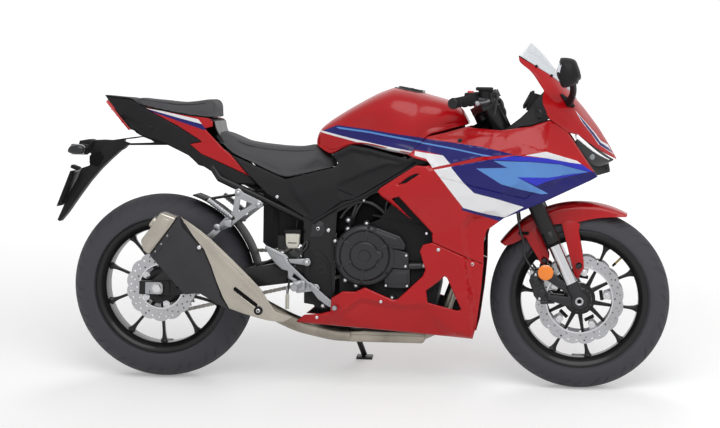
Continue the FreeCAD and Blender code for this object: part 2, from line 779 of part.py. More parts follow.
def build_tank():
    """Fuel tank, solid, with its shoulders cut by the plan and front outlines."""
    half = size("tank_half")
    outline = at(P, [
        (24, 768), (-31, 805), (-33, 822), (-20, 850), (13, 883), (60, 916), (153, 969), (229, 998),
    ]) + at(H, [
        (-204, 977), (-166, 967), (-128, 954), (-96, 931), (-69, 889), (-72, 874), (-204, 841),
        (-245, 790), (-262, 768),
    ])
    top = both(
        [
            (P - 45, 66), (P + 40, 88), (P + 150, half - 16), (P + 260, half), (H - 170, half - 2),
            (H - 60, half - 82),
        ]
    )
    shoulders = both_sides([(half, 700), (half, 880), (half - 24, 942), (half - 66, 984), (32, 1002)])
    body = common([side(outline, -half - 1, half + 1), plan(top, 700, 1010), front(shoulders, P - 60, H)])
    subpart("fuel_tank", body)


# The cap's hinge pin: ahead of the lid's edge and above its seat.
CAP_HINGE = (3, 5)


def cap_place():
    """Middle of the cap's seat on the tank's top, tilted with it."""
    ratio = 0.42
    ax, az, bx, bz = P + 229, 998, H - 204, 977
    height = az + (bz - az) * ratio + 0.4
    tilt = math.degrees(math.atan2(az - bz, bx - ax))
    return Placement(Vector(ax + (bx - ax) * ratio, 0, height), Rotation(Vector(0, 1, 0), tilt))


def build_cap():
    """Hinged fuel cap on the tank's top."""
    lid = new("Part::Cylinder", "Lid")
    lid.setExpression("Radius", "Sizes.cap_radius")
    lid.Height = 7
    hinge_x = size("cap_radius") + CAP_HINGE[0]
    lug = box((hinge_x - 10, -13, 0.6), (hinge_x, 13, CAP_HINGE[1] + 4))
    barrel = along_y(hinge_x, CAP_HINGE[1], -13, 13, 4.4)
    subpart("fuel_cap", fuse([lid, lug, barrel]), cap_place())


def build_seats():
    """Rider's seat astride the rails, and the passenger seat on the tail."""
    half = size("seat_half")
    outline = [
        (182, 832), (189, 844), (217, 837), (282, 811), (380, 797), (468, 794), (P - 50, 803), (P - 35, 799),
        (P + 17, 765), (P + 33, 750), (P - 60, 748), (P - 131, 690), (262, 764), (232, 786),
    ]
    top = both([(170, half - 12), (250, half), (P - 180, half), (P - 60, 92), (P + 40, 72)])
    channel = side(
        [(100, 600), (100, 778), (236, 795), (300, 772), (P - 131, 758), (P + 60, 752), (P + 60, 600)],
        -half + 17, half - 17,
    )
    subpart("rider_seat", cut(common([side(outline, -half, half), plan(top, 600, 900)]), [channel]))

    half = size("pillion_half")
    outline = [
        (-102, 953), (61, 936), (147, 948), (170, 948), (180, 933), (185, 898), (162, 886.5), (56, 899.5),
        (-76, 924.5), (-92, 938),
    ]
    top = both([(-110, 62), (-40, 84), (80, half), (190, half - 4)])
    subpart("passenger_seat", common([side(outline, -half, half), plan(top, 800, 1000)]))


def build_side_covers():
    """Covers over the frame's outside, under the tank and the seat."""
    outline = at(
        P, [(27, 771), (92, 805), (157, 794), (285, 763), (313, 752), (105, 623), (68, 618), (-29, 546)],
    )
    outline += [(367, 637), (311, 692), (246, 764), (427, 687), (P + 36, 729), (P + 49, 743)]
    section = [(150, 520), (150, 766), (127, 812)]
    cover = common([wall([(200, section), (H, section)], size("panel")), side(outline, 0, 250)])
    subpart("side_covers", [cover, mirror(cover)])


def build_tail():
    """Tail cowl as a hollow shell, its lamp and the indicators on the plate holder."""
    outline = [
        (-209, 956), (-102, 952), (-91, 936), (-76, 923), (56, 898), (162, 885), (178, 866), (178, 830),
        (214, 784), (246, 762), (318, 690), (244, 664), (132, 725), (91, 761), (15, 791), (-76, 822),
        (-119, 842), (-193, 931),
    ]
    top = both(TAIL_PLAN)
    inner_outline = [
        (-188, 946), (-104, 946), (-94, 931), (-78, 919), (55, 894), (160, 881), (400, 881), (400, 600),
        (140, 600), (132, 735), (93, 768), (17, 795), (-74, 826), (-116, 846), (-180, 930),
    ]
    t = size("panel")
    inner_top = [(x, y - t) if y > 0 else (x, y + t) for x, y in top]
    outer = common([side(outline, -150, 150), plan(top, 600, 1000)])
    room = common(
        [
            side(inner_outline, -150, 150),
            plan([(x + (4 if x < -200 else 0), y) for x, y in inner_top], 590, 990),
        ]
    )
    rail_slot = bent_rod(LOWER_RAIL, "Sizes.rail_radius + 3")
    subpart("tail_cowl", cut(outer, [room, rail_slot, mirror(rail_slot)]))

    lamp = side([(-193.4, 930.7), (-119.4, 841.7), (-128.2, 834.3), (-202.2, 923.3)], -44, 44)
    indicators = []
    for sign in (1, -1):
        low, high = sorted((sign * 78, sign * 142))
        indicators.append(fuse([
            side([(-318, 758), (-308, 786), (-262, 790), (-250, 774), (-262, 756)], low, high),
            rod((-275, sign * 30.3, 772), (-275, sign * 80, 772), 8.0),
        ]))
    subpart("rear_lamps", [lamp] + indicators)


# Plate carrier, tilted back under the arm, with two bolt holes for a number plate.
PLATE_THICKNESS = 4
PLATE_HALF_WIDTH = 92
PLATE_HOLE_SPREAD = 70
PLATE_HOLE_HEIGHT = 30
PLATE_PLACE = Placement(Vector(-334, 0, 637), Rotation(Vector(0, 1, 0), 21))


def build_plate_holder():
    """Arm below the tail that carries the blank plate."""
    arm = side([
        (-10, 791), (-217, 795), (-291, 797), (-304, 791), (-291, 716), (-304, 706), (-345, 620), (-352, 560),
        (-373, 528), (-365, 520), (-340, 556), (-227, 710), (-160, 767), (-60, 780), (10, 775),
    ], -30, 30)
    plate = box((-PLATE_THICKNESS, -PLATE_HALF_WIDTH, -66), (0, PLATE_HALF_WIDTH, 66))
    for y in (-PLATE_HOLE_SPREAD, PLATE_HOLE_SPREAD):
        plate = cut(plate, [rod((-20, y, PLATE_HOLE_HEIGHT), (20, y, PLATE_HOLE_HEIGHT), 3.0)])
    plate.Placement = PLATE_PLACE
    hanger = side([(-60, 776), (-20, 776), (-20, 802.2), (-60, 815.8)], -24, 24)
    subpart("plate_holder", fuse([arm, plate, hanger]))


def build_side_fairings():
    """Upper fairing sides, from the beams forward to the headlight."""
    t = size("panel")
    outline = at(P, [
        (359, 522), (198, 642), (193, 659), (221, 686), (261, 703), (329, 747), (301, 777), (348, 841),
    ]) + at(H, [
        (-71, 872), (-38, 868), (44, 863), (142, 878), (201, 898), (261, 860), (361, 716), (339, 703),
        (175, 624), (57, 574), (2, 533), (-7, 497), (-7, 420), (-56, 439),
    ]) + at(P, [(372, 491), (370, 514)])
    near = UPPER_SIDE
    nose = [(y - 72, z) for y, z in UPPER_SIDE]
    panel = wall([(P + 180, near), (H + 110, near), (H + 370, nose)], t)
    fairing = common([panel, side(outline, 0, 300)])
    subpart("side_fairings", [fairing, mirror(fairing)])


def build_belly():
    """Lower cowls beside the engine; the left one stops short at the side stand."""
    t, gap = size("panel"), size("seam")
    outline = at(P, [
        (51, 203), (-85, 211), (-54, 237), (-1, 242), (60, 250), (75, 308), (119, 316),
        (150, 326), (244, 297), (260, 300), (341, 378), (349, 399), (330, 461), (341, 482), (372, 490 - gap),
    ]) + at(H, [(-56, 438 - gap), (-7, 419 - gap), (-6, 197), (-24, 162)]) + at(P, [(312, 177), (293, 189)])
    vent = side(at(H, [(-199, 329), (-144, 375), (-118, 373), (-82, 264), (-129, 269), (-197, 303)]), 0, 300)
    tucked = [(y - 8, z) for y, z in LOWER_SIDE]
    panel = wall([(P - 90, tucked), (P + 200, LOWER_SIDE), (H, LOWER_SIDE)], t)
    right = mirror(cut(common([panel, side(outline, 0, 300)]), [vent]))
    stand_gap = box((P - 100, 0, 100), (P + 140, 300, 400))
    left = cut(common([panel, side(outline, 0, 300)]), [vent, stand_gap])
    subpart("belly_cowls", [left, right])


NOSE_PLAN = [(78, 150), (180, 166), (261, 149), (345, 126), (392, 95), (430, 36)]
NOSE_FRONT = [(166, 700), (166, 905), (162, 965), (152, 1020), (130, 1112)]
LIGHT_OUTLINE = [(280, 846), (306, 849), (339, 755), (372, 744), (412, 768), (398, 800), (330, 852)]


def nose_shell(dx, dy, drop):
    """Outer form of the nose, or its inside when shifted."""
    shape_plan = both([(H + x + dx, y - dy) for x, y in NOSE_PLAN])
    shape_front = both_sides([(y - dy, z - drop) for y, z in NOSE_FRONT])
    return [plan(shape_plan, 600, 1200), front(shape_front, H + 60, H + 450)]


def build_nose():
    """Nose cowl, hollow and open behind, with the headlights let into it."""
    t = size("panel")
    outline = at(H, [
        (95, 1105), (240, 1015), (292, 958), (320, 926), (349, 896), (388, 845), (426, 769), (405, 726),
        (362, 716), (261, 860), (202, 902), (173, 948), (182, 998), (177, 1019), (156, 1040), (135, 1063),
        (118, 1067), (101, 1087),
    ])
    inner_outline = at(H, [
        (0, 1099), (93, 1099), (237, 1010), (288, 954), (316, 922), (345, 892), (384, 841), (418, 770),
        (398, 731), (360, 640), (0, 640),
    ])
    outer = common([side(outline, -200, 200)] + nose_shell(0, 0, 0))
    room = common([side(inner_outline, -200, 200)] + nose_shell(-4, t, 0))
    hood = common([screen_cylinder(14), box((H - 20, -170, 940), (H + 300, 170, 1200))])
    lights = side(at(H, LIGHT_OUTLINE), -200, 200)
    middle = side(at(H, LIGHT_OUTLINE), -26, 26)
    subpart("nose_cowl", cut(outer, [room, hood, cut(lights, [middle])]))

    gap = size("seam")
    lens = side(at(H, shrunk(LIGHT_OUTLINE, 2 * gap)), 26 + gap, 160)
    hollow = nose_shell(-46, 44, 0)
    lamp = cut(common([lens] + nose_shell(-3, 2.5, 0)), [common(hollow)])
    subpart("headlights", [lamp, mirror(lamp)])


# The screen is part of a cylinder that leans back along this line.
SCREEN_FOOT = Vector(H + 292, 0, 960)
SCREEN_TIP = Vector(H + 130, 0, 1156)
SCREEN_RADIUS = 170


def screen_cylinder(inset):
    """Cylinder behind the screen's middle line, smaller by the inset."""
    slope = (SCREEN_TIP - SCREEN_FOOT).normalize()
    behind = Vector(-slope.z, 0, slope.x) * SCREEN_RADIUS
    low, high = SCREEN_FOOT + behind - slope * 160, SCREEN_TIP + behind + slope * 60
    return rod(tuple(low), tuple(high), SCREEN_RADIUS - inset)


def build_screen():
    """Clear curved windscreen standing on the nose cowl."""
    outline = at(H, [(130, 1157), (95.6, 1105.8), (240.5, 1015.8), (292.6, 958.8), (330, 975), (215, 1120)])
    sheet_wall = cut(screen_cylinder(0), [screen_cylinder(3)])
    subpart("windscreen", common([side(outline, -170, 170), sheet_wall]))


def build_cockpit():
    """Instrument pod and the black inner panel behind the screen."""
    t = size("panel")
    pod = side(at(H, [(120, 930), (132, 990), (196, 972), (190, 905)]), -74, 74)
    leg = box((H + 150, -22, 884.4), (H + 188, 22, 940))
    tray_outline = at(H, [(100, 872), (172, 985), (178, 950), (196, 912), (186, 884), (150, 872)])
    tray = cut(
        common([side(tray_outline, -200, 200)] + nose_shell(-4, t + 0.5, 0)),
        [common([side(tray_outline, -200, 200)] + nose_shell(-8, t + 6, 0))],
    )
    bridge = box((H + 160, -175, 892), (H + 186, 175, 904))
    bridge = common([bridge] + nose_shell(-4, t + 0.5, 0))
    subpart("cockpit_panel", fuse([pod, leg, tray, bridge]))


def build_mirrors():
    """Mirrors on stems from the nose cowl."""
    half = size("mirror_half")
    foot = (H + 262, 158, 945)
    head = prism(
        [
            (H + 270, half - 128, 1030), (H + 270, half - 96, 1072), (H + 270, half - 12, 1086),
            (H + 270, half, 1066), (H + 270, half - 18, 1024), (H + 270, half - 100, 1008),
        ],
        (-1, 0, 0.12), 42.0,
    )
    stem = bent_rod([foot, (H + 258, half - 150, 985), (H + 252, half - 80, 1030)], 10.0)
    pad = rod((H + 262, 152.8, 945), (H + 262, 163, 945), 15.0)
    mirror_left = fuse([head, stem, pad])
    subpart("mirrors", [mirror_left, mirror(mirror_left)])


def build_inner_guard():
    """Guard between the rear tyre and the shock, with the tray under the seat and its side walls."""
    tyre_gap, guard_wall = 14, 4
    web_foot, tray_front, tray_half, skirt_wall = 150, 345, 70, 9
    inner_radius = size("rear_tyre_radius") + tyre_gap
    ring = cut(
        along_y(0, REAR_Z, -76, 76, inner_radius + guard_wall),
        [along_y(0, REAR_Z, -80, 80, inner_radius)],
    )
    wedge = side([(0, REAR_Z), (900, REAR_Z + 160), (900, REAR_Z + 1400), (300, REAR_Z + 900)], -90, 90)
    tray = box((tray_front, -tray_half, 600), (440, tray_half, 712.5))
    skirt_outline = [(tray_front, 610), (tray_front, 470), (366, 446), (500, 470), (516, 540), (450, 610)]
    skirts = [side(skirt_outline, low, low + skirt_wall) for low in (-tray_half, tray_half - skirt_wall)]
    foot_z = REAR_Z + math.sqrt((inner_radius + guard_wall - 1) ** 2 - web_foot**2)
    lower, upper = [(web_foot, foot_z), (tray_front, 640)], [(tray_front, 646), (web_foot - 5, foot_z + 6)]
    web = side(lower + upper, -tray_half, tray_half)
    subpart(
        "inner_guard",
        cut(
            fuse([common([ring, wedge]), tray, web] + skirts),
            [along_y(0, REAR_Z, -80, 80, inner_radius)],
        ),
    )


# ---------------------------------------------------------------- controls


def build_footrests():
    """Rider's and passenger footrest brackets with their pegs, one solid each."""
    outer = size("frame_outer")
    low = outer + 3.3
    rider = fuse(
        [
            side(
                at(
                    P,
                    [
                        (-182, 470), (-113, 452), (-30, 428), (-20, 400), (-8, 340), (-30, 322), (-80, 330),
                        (-70, 400), (-110, 432),
                    ],
                ),
                low, low + 9,
            ),
            along_y(P - 72, 339, low + 8, size("peg_half"), "Sizes.peg_radius"),
            along_y(P - 30, 412, outer + 0.3, low + 1, 9.0),
        ]
    )
    rail_outer = 128 + size("rail_radius")
    low = rail_outer + 0.3
    pillion = fuse(
        [
            side(
                [
                    (276, 655), (358, 612), (345, 596), (268, 552), (215, 510), (196, 520), (238, 565),
                    (262, 628),
                ],
                low, low + 9,
            ),
            bent_rod([(252, low + 16, 556), (172, low + 24, 616)], 11.0),
            along_y(252, 556, low, low + 16, 12.0),
        ]
    )
    hung = fuse([pillion, pillion_hanger(low)])
    subpart("footrests", [rider, mirror(rider), pillion, mirror(hung)])


def pillion_hanger(low):
    """Tab on the passenger bracket that the silencer hangs from."""
    return fuse([
        side([(215, 512), (196, 522), (140, 470), (156, 452)], low, low + 9),
        along_y(152, 470, low + 8, size("silencer_inner") - 0.3, 9.0),
    ])


def build_pedals():
    """Brake pedal with its master cylinder, and the gear lever."""
    outer = size("frame_outer") + 3.3 + 9
    brake = fuse(
        [
            side(
                at(P, [(-40, 330), (-30, 345), (30, 290), (62, 275), (60, 258), (20, 270)]), -outer - 12,
                -outer - 0.3,
            ),
            along_y(P + 52, 267, -outer - 55, -outer - 2, 8.0),
        ]
    )
    lever = fuse(
        [
            side(
                at(P, [(-40, 330), (-30, 345), (40, 330), (85, 318), (84, 302), (20, 312)]), outer + 0.3,
                outer + 10,
            ),
            along_y(P + 76, 310, outer + 2, outer + 52, 8.0),
        ]
    )
    subpart("foot_controls", [brake, lever])


def build_rear_caliper():
    """Rear brake caliper on its bracket over the disc."""
    hub, t = size("rear_hub_half"), size("disc_thickness")
    inner = size("pivot_plate_inner")
    block = cut(
        side(
            [
                (60, REAR_Z + 34), (112, REAR_Z + 26), (134, REAR_Z + 74), (84, REAR_Z + 112),
                (52, REAR_Z + 92),
            ],
            -hub - t - 20, -hub + 12,
        ),
        [along_y(0, REAR_Z, -hub - t - 3, -hub + 3, size("rear_disc_radius") + 5)],
    )
    bracket = side(
        [(-24, REAR_Z - 24), (-24, REAR_Z + 24), (56, REAR_Z + 92), (112, REAR_Z + 60), (60, REAR_Z - 24)],
        -inner + 6, -hub - t - 18,
    )
    hold = side(
        [(60, REAR_Z - 18), (60, REAR_Z + 18), (96, REAR_Z + 18), (96, REAR_Z - 18)], -inner - 1.7,
        -inner + 8,
    )
    bore = along_y(0, REAR_Z, -inner - 10, 0, 18.3)
    subpart("rear_caliper", cut(fuse([block, bracket, hold]), [bore]))


# ---------------------------------------------------------------- steering


def build_clamps():
    """Upper and lower fork clamps on the steering stem."""
    offset, spread = size("fork_offset"), size("fork_spread")
    reach = spread + size("fork_outer_radius") + 6
    shape = [
        (-34, -20), (-34, 20), (offset - 28, reach), (offset + 22, reach), (offset + 30, spread - 20),
        (offset + 12, 30), (offset + 12, -30), (offset + 30, -spread + 20), (offset + 22, -reach),
        (offset - 28, -reach),
    ]
    half = size("head_tube_length") / 2
    upper = prism([(x, y, half + 0.5) for x, y in shape], (0, 0, 1), 26.0)
    lower = prism([(x, y, -half - 32.5) for x, y in shape], (0, 0, 1), 32.0)
    holes = [
        rod((offset, sign * spread, -200), (offset, sign * spread, 200), "Sizes.fork_outer_radius + 0.2")
        for sign in (1, -1)
    ]
    stem = rod((0, 0, -half - 32), (0, 0, half + 36), "Sizes.stem_radius")
    subpart("fork_clamps", cut(fuse([upper, lower, stem]), holes), STEERING)


def build_fork():
    """Upside-down fork: outer tubes, inner tubes and axle clamps."""
    offset, spread = size("fork_offset"), size("fork_spread")
    legs = []
    for sign in (1, -1):
        y = sign * spread
        low, high = sorted((sign * (spread - 19), sign * (spread + 19)))
        bracket_low, bracket_high = sorted((sign * (spread - 4), sign * (spread + 9)))
        bracket = prism(
            [(x, bracket_low, z) for x, z in fork_bracket()], (0, 1, 0), bracket_high - bracket_low
        )
        leg = fuse([
            rod((offset, y, -AXLE_DROP + 210), (offset, y, 104), "Sizes.fork_outer_radius"),
            rod((offset, y, -AXLE_DROP + 30), (offset, y, -AXLE_DROP + 215), "Sizes.fork_inner_radius"),
            rod((offset, y, -AXLE_DROP - 22), (offset, y, -AXLE_DROP + 62), 18.9),
            along_y(offset, -AXLE_DROP, low, high, 24.0),
            bracket,
        ])
        legs.append(cut(leg, [along_y(offset, -AXLE_DROP, -200, 200, "Sizes.axle_radius + 0.1")]))
    subpart("fork_legs", legs, STEERING)


def fork_bracket():
    """Caliper bracket behind the axle clamp, in the steering frame's side view."""
    offset = size("fork_offset")
    return [
        (offset - 10, -AXLE_DROP - 5), (offset - 88, -AXLE_DROP + 52), (offset - 96, -AXLE_DROP + 128),
        (offset - 70, -AXLE_DROP + 140), (offset - 10, -AXLE_DROP + 62),
    ]


def build_front_axle():
    """Front axle with its spacers."""
    spread, hub = size("fork_spread"), size("front_hub_half")
    pieces = [along_y(F, FRONT_Z, -spread - 24, spread + 24, "Sizes.axle_radius")]
    for sign in (1, -1):
        pieces.append(along_y(F, FRONT_Z, *sorted((sign * (hub + 0.3), sign * (spread - 19.3))), 18.0))
        pieces.append(along_y(F, FRONT_Z, *sorted((sign * (spread + 19.3), sign * (spread + 26))), 16.0))
    subpart("front_axle", fuse(pieces))


def build_front_calipers():
    """Radial calipers behind the fork legs, astride the discs."""
    hub, t = size("front_hub_half"), size("disc_thickness")
    offset, spread = size("fork_offset"), size("fork_spread")
    calipers = []
    for sign in (1, -1):
        low, high = sorted((sign * (hub - 14), sign * (spread - 4.3)))
        outline = [
            (offset - 76, -AXLE_DROP + 44), (offset - 128, -AXLE_DROP + 62), (offset - 118, -AXLE_DROP + 138),
            (offset - 78, -AXLE_DROP + 146),
        ]
        block = prism([(x, low, z) for x, z in outline], (0, 1, 0), high - low)
        low, high = sorted((sign * (hub - 4), sign * (hub + t + 4)))
        slot = along_y(offset, -AXLE_DROP, low, high, size("front_disc_radius") + 5)
        calipers.append(cut(block, [slot]))
    subpart("front_calipers", calipers, STEERING)


def build_front_fender():
    """Front mudguard around the tyre's top, held between the fork legs."""
    radius = size("front_tyre_radius") + 24
    half = size("fork_spread") - size("fork_outer_radius") - 0.4
    arc = [math.radians(a) for a in range(64, 147, 6)]
    roof = [((radius + 4) * math.cos(a), (radius + 4) * math.sin(a)) for a in arc]
    hem = [
        (-245, 199), (-155, 239), (-115, 144), (-100, 134), (-72, 200), (-40, 214), (-6, 205), (20, 253),
        (111, 280),
    ]
    outline = [(F + u, FRONT_Z + v) for u, v in roof + hem]
    shell = cut(
        side(outline, -half, half),
        [along_y(F, FRONT_Z, -half + size("panel"), half - size("panel"), radius)],
    )
    subpart("front_fender", shell)


def build_bars():
    """Clip-on handlebars with grips and levers."""
    end = size("bar_half")
    reach = size("fork_spread")
    offset = size("fork_offset")
    sets = []
    for sign in (1, -1):
        root = steering_point(offset, sign * reach, 103)
        tip = (H - 110, sign * end, 948)
        root_v, tip_v = Vector(*root), Vector(*tip)
        shaft = rod(tuple(root_v + (tip_v - root_v) * 0.13), tip, 11.0)
        grip = rod(
            tuple(root_v + (tip_v - root_v) * 0.52), tuple(root_v + (tip_v - root_v) * 0.99),
            "Sizes.grip_radius",
        )
        switch = rod(tuple(root_v + (tip_v - root_v) * 0.34), tuple(root_v + (tip_v - root_v) * 0.50), 21.0)
        perch = tuple(root_v + (tip_v - root_v) * 0.40)
        knuckle = (perch[0] + 44, perch[1], perch[2] - 4)
        lever_tip = (tip[0] + 82, sign * (end - 12), tip[2] + 2)
        lever = fuse([rod(perch, knuckle, 9.0), rod(knuckle, lever_tip, 6.5)])
        ring = cut(
            rod(steering_point(offset, sign * reach, size("head_tube_length") / 2 + 27),
                steering_point(offset, sign * reach, size("head_tube_length") / 2 + 52), 38.0),
            [rod(steering_point(offset, sign * reach, 0), steering_point(offset, sign * reach, 200),
                 "Sizes.fork_outer_radius + 0.2")],
        )
        parts = [shaft, grip, switch, lever, ring]
        if sign < 0:
            pot = (knuckle[0] - 6, knuckle[1] + 6, knuckle[2])
            parts.append(rod(pot, (pot[0], pot[1], pot[2] + 46), 20.0))
        sets.append(fuse(parts))
    subpart("handlebars", sets)


# The hose's corners in the steering frame, the second number measured from the fork leg's middle.
HOSE_ROUTE = [
    (8, 19, -93.2), (0, 22, -175), (-18, 16, -255), (-46, -8, -345), (-50, -16, -395), (-74, -20, -440),
    (-58, -17, -496),
]


def hose_path(points):
    """Straight runs joined by tangent arcs, each as large as its two runs allow."""
    corners = [Vector(*point) for point in points]
    edges = []
    start = corners[0]
    for before, corner, after in zip(corners, corners[1:], corners[2:]):
        into, out = corner - before, after - corner
        turn = into.getAngle(out)
        reach = 0.45 * min(into.Length, out.Length)
        radius = reach / math.tan(turn / 2)
        print(f"hose bend radius {radius:.0f}")
        into.normalize()
        out.normalize()
        first, last = corner - into * reach, corner + out * reach
        middle = (out - into).normalize()
        depth = radius * (1 / math.cos(turn / 2) - 1)
        edges.append(Part.LineSegment(start, first).toShape())
        edges.append(Part.Arc(first, corner + middle * depth, last).toShape())
        start = last
    edges.append(Part.LineSegment(start, corners[-1]).toShape())
    return Part.Wire(edges)


def build_hoses():
    """Front brake hoses held along the fork legs, one each side."""
    hoses = []
    for sign in (1, -1):
        route = [(x, sign * (size("fork_spread") + y), z) for x, y, z in HOSE_ROUTE]
        path = hose_path(route)
        first = path.Edges[0]
        heading = first.tangentAt(first.FirstParameter)
        ring = Part.Wire(Part.makeCircle(size("hose_radius"), Vector(*route[0]), heading))
        tube = path.makePipeShell([ring], True, True)
        item = new("Part::Feature", "Hose")
        item.Shape = tube
        hoses.append(item)
    subpart("brake_hoses", hoses, STEERING)


# ---------------------------------------------------------------- stand


def build_stand():
    """Side stand, swung down: eye on its pin, leg and foot."""
    axis = Vector(STAND_AXIS).normalize()
    foot_y = size("stand_foot")
    foot_x = P + 107
    floor = foot_y * math.tan(LEAN)
    ankle = Vector(foot_x, foot_y - 4, floor + 8)
    eye = rod(tuple(STAND_PIVOT - axis * 6), tuple(STAND_PIVOT + axis * 6), 17.0)
    heading = (ankle - STAND_PIVOT).normalize()
    leg = rod(tuple(STAND_PIVOT + axis * 4.5 + heading * 12), tuple(ankle + axis * 4.5), 10.0)
    foot = new("Part::Box", "Foot")
    foot.Length, foot.Width, foot.Height = 56, 46, 7
    foot.Placement = Placement(
        Vector(foot_x - 26, foot_y - 26, (foot_y - 26) * math.tan(LEAN)),
        Rotation(Vector(1, 0, 0), size("lean_angle")),
    )
    hole = rod(tuple(STAND_PIVOT - axis * 30), tuple(STAND_PIVOT + axis * 30),
               "Sizes.stand_bolt_radius + Sizes.axle_clearance")
    subpart("side_stand", cut(fuse([eye, leg, foot]), [hole]))


build_wheels()
build_frame()
build_engine()
build_radiator()
build_swingarm()
build_rear_axle()
build_rear_shock()
build_chain()
build_exhaust()
build_tank()
build_cap()
build_seats()
build_side_covers()
build_tail()
build_plate_holder()
build_side_fairings()
build_belly()
build_nose()
build_screen()
build_cockpit()
build_mirrors()
build_inner_guard()
build_footrests()
build_pedals()
build_rear_caliper()
build_clamps()
build_fork()
build_front_axle()
build_front_calipers()
build_front_fender()
build_bars()
build_hoses()
build_stand()

doc.recompute()
for item in doc.Objects:
    if "Invalid" in item.State or "Error" in item.State:
        raise RuntimeError(f"{item.Label} failed: {item.State}")
os.makedirs("parts", exist_ok=True)
for item in subparts:
    if item.Shape.isNull() or not item.Shape.isValid():
        raise RuntimeError(f"{item.Label} has no valid shape")
    item.Shape.exportStep(f"parts/{item.Label}.step")
    lump = item.Shape
    print(f"{item.Label}: {len(lump.Solids)} solids, {lump.Volume / 1e6:.3f} l")
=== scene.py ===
"""Looks of a sport bike on its side stand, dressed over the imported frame.

Sizes are millimetres in the upright bike's own frame: x forward from the rear axle,
y to the rider's left and z up. Each finished mesh is then leaned into the row frame.
"""

import logging
import math
from collections.abc import Iterable, Sequence
from dataclasses import dataclass
from enum import Enum

import bmesh
import bpy
import numpy as np
from mathutils import Matrix, Vector
from mathutils.geometry import delaunay_2d_cdt


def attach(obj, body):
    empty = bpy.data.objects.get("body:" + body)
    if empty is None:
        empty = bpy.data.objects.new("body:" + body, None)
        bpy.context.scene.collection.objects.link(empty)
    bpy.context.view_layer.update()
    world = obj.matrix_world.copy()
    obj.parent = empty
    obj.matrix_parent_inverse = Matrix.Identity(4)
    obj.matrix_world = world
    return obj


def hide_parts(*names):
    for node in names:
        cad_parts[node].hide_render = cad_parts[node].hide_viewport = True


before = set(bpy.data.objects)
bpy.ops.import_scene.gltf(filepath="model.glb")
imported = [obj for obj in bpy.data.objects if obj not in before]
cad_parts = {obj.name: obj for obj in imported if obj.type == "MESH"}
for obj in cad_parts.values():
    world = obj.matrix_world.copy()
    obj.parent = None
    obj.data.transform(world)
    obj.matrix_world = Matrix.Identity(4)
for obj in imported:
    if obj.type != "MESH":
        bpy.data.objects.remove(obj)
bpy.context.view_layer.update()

log = logging.getLogger("sport_bike")

Pair = tuple[float, float]
Triple = tuple[float, float, float]

WHEELBASE = 1410.0
REAR_AXLE_Z = 312.997
FRONT_AXLE_Z = 300.748
HEAD = (1099.872, 0.0, 865.0)
AXLE_DROP = 642.7
FORK_OFFSET = 37.0
FORK_SPREAD = 97.0

METRES = 0.001
STAND_SHIFT = (-668.5, -150.312, 0)
LEAN_ANGLE = 9.0
RAKE = 25.5

LEAN = (
    Matrix.Scale(METRES, 4)
    @ Matrix.Translation(STAND_SHIFT)
    @ Matrix.Rotation(math.radians(-LEAN_ANGLE), 4, "X")
)
STEER = Matrix.Translation(HEAD) @ Matrix.Rotation(math.radians(-RAKE), 4, "Y")


class Place(Enum):
    """Frames that pieces are modelled in, each in millimetres."""

    BIKE = LEAN
    STEERING = LEAN @ STEER
    FRONT_WHEEL = LEAN @ Matrix.Translation((WHEELBASE, 0, FRONT_AXLE_Z))
    REAR_WHEEL = LEAN @ Matrix.Translation((0, 0, REAR_AXLE_Z))


# ---------------------------------------------------------------- finishes


def srgb(red: int, green: int, blue: int) -> tuple[float, float, float, float]:
    """Linear colour of an 8-bit display colour.

    Args:
        red: Red, 0 to 255.
        green: Green, 0 to 255.
        blue: Blue, 0 to 255.

    Returns:
        The colour with an opacity of 1.
    """
    parts = [value / 255 for value in (red, green, blue)]
    parts = [p / 12.92 if p <= 0.04045 else ((p + 0.055) / 1.055) ** 2.4 for p in parts]
    return (*parts, 1.0)


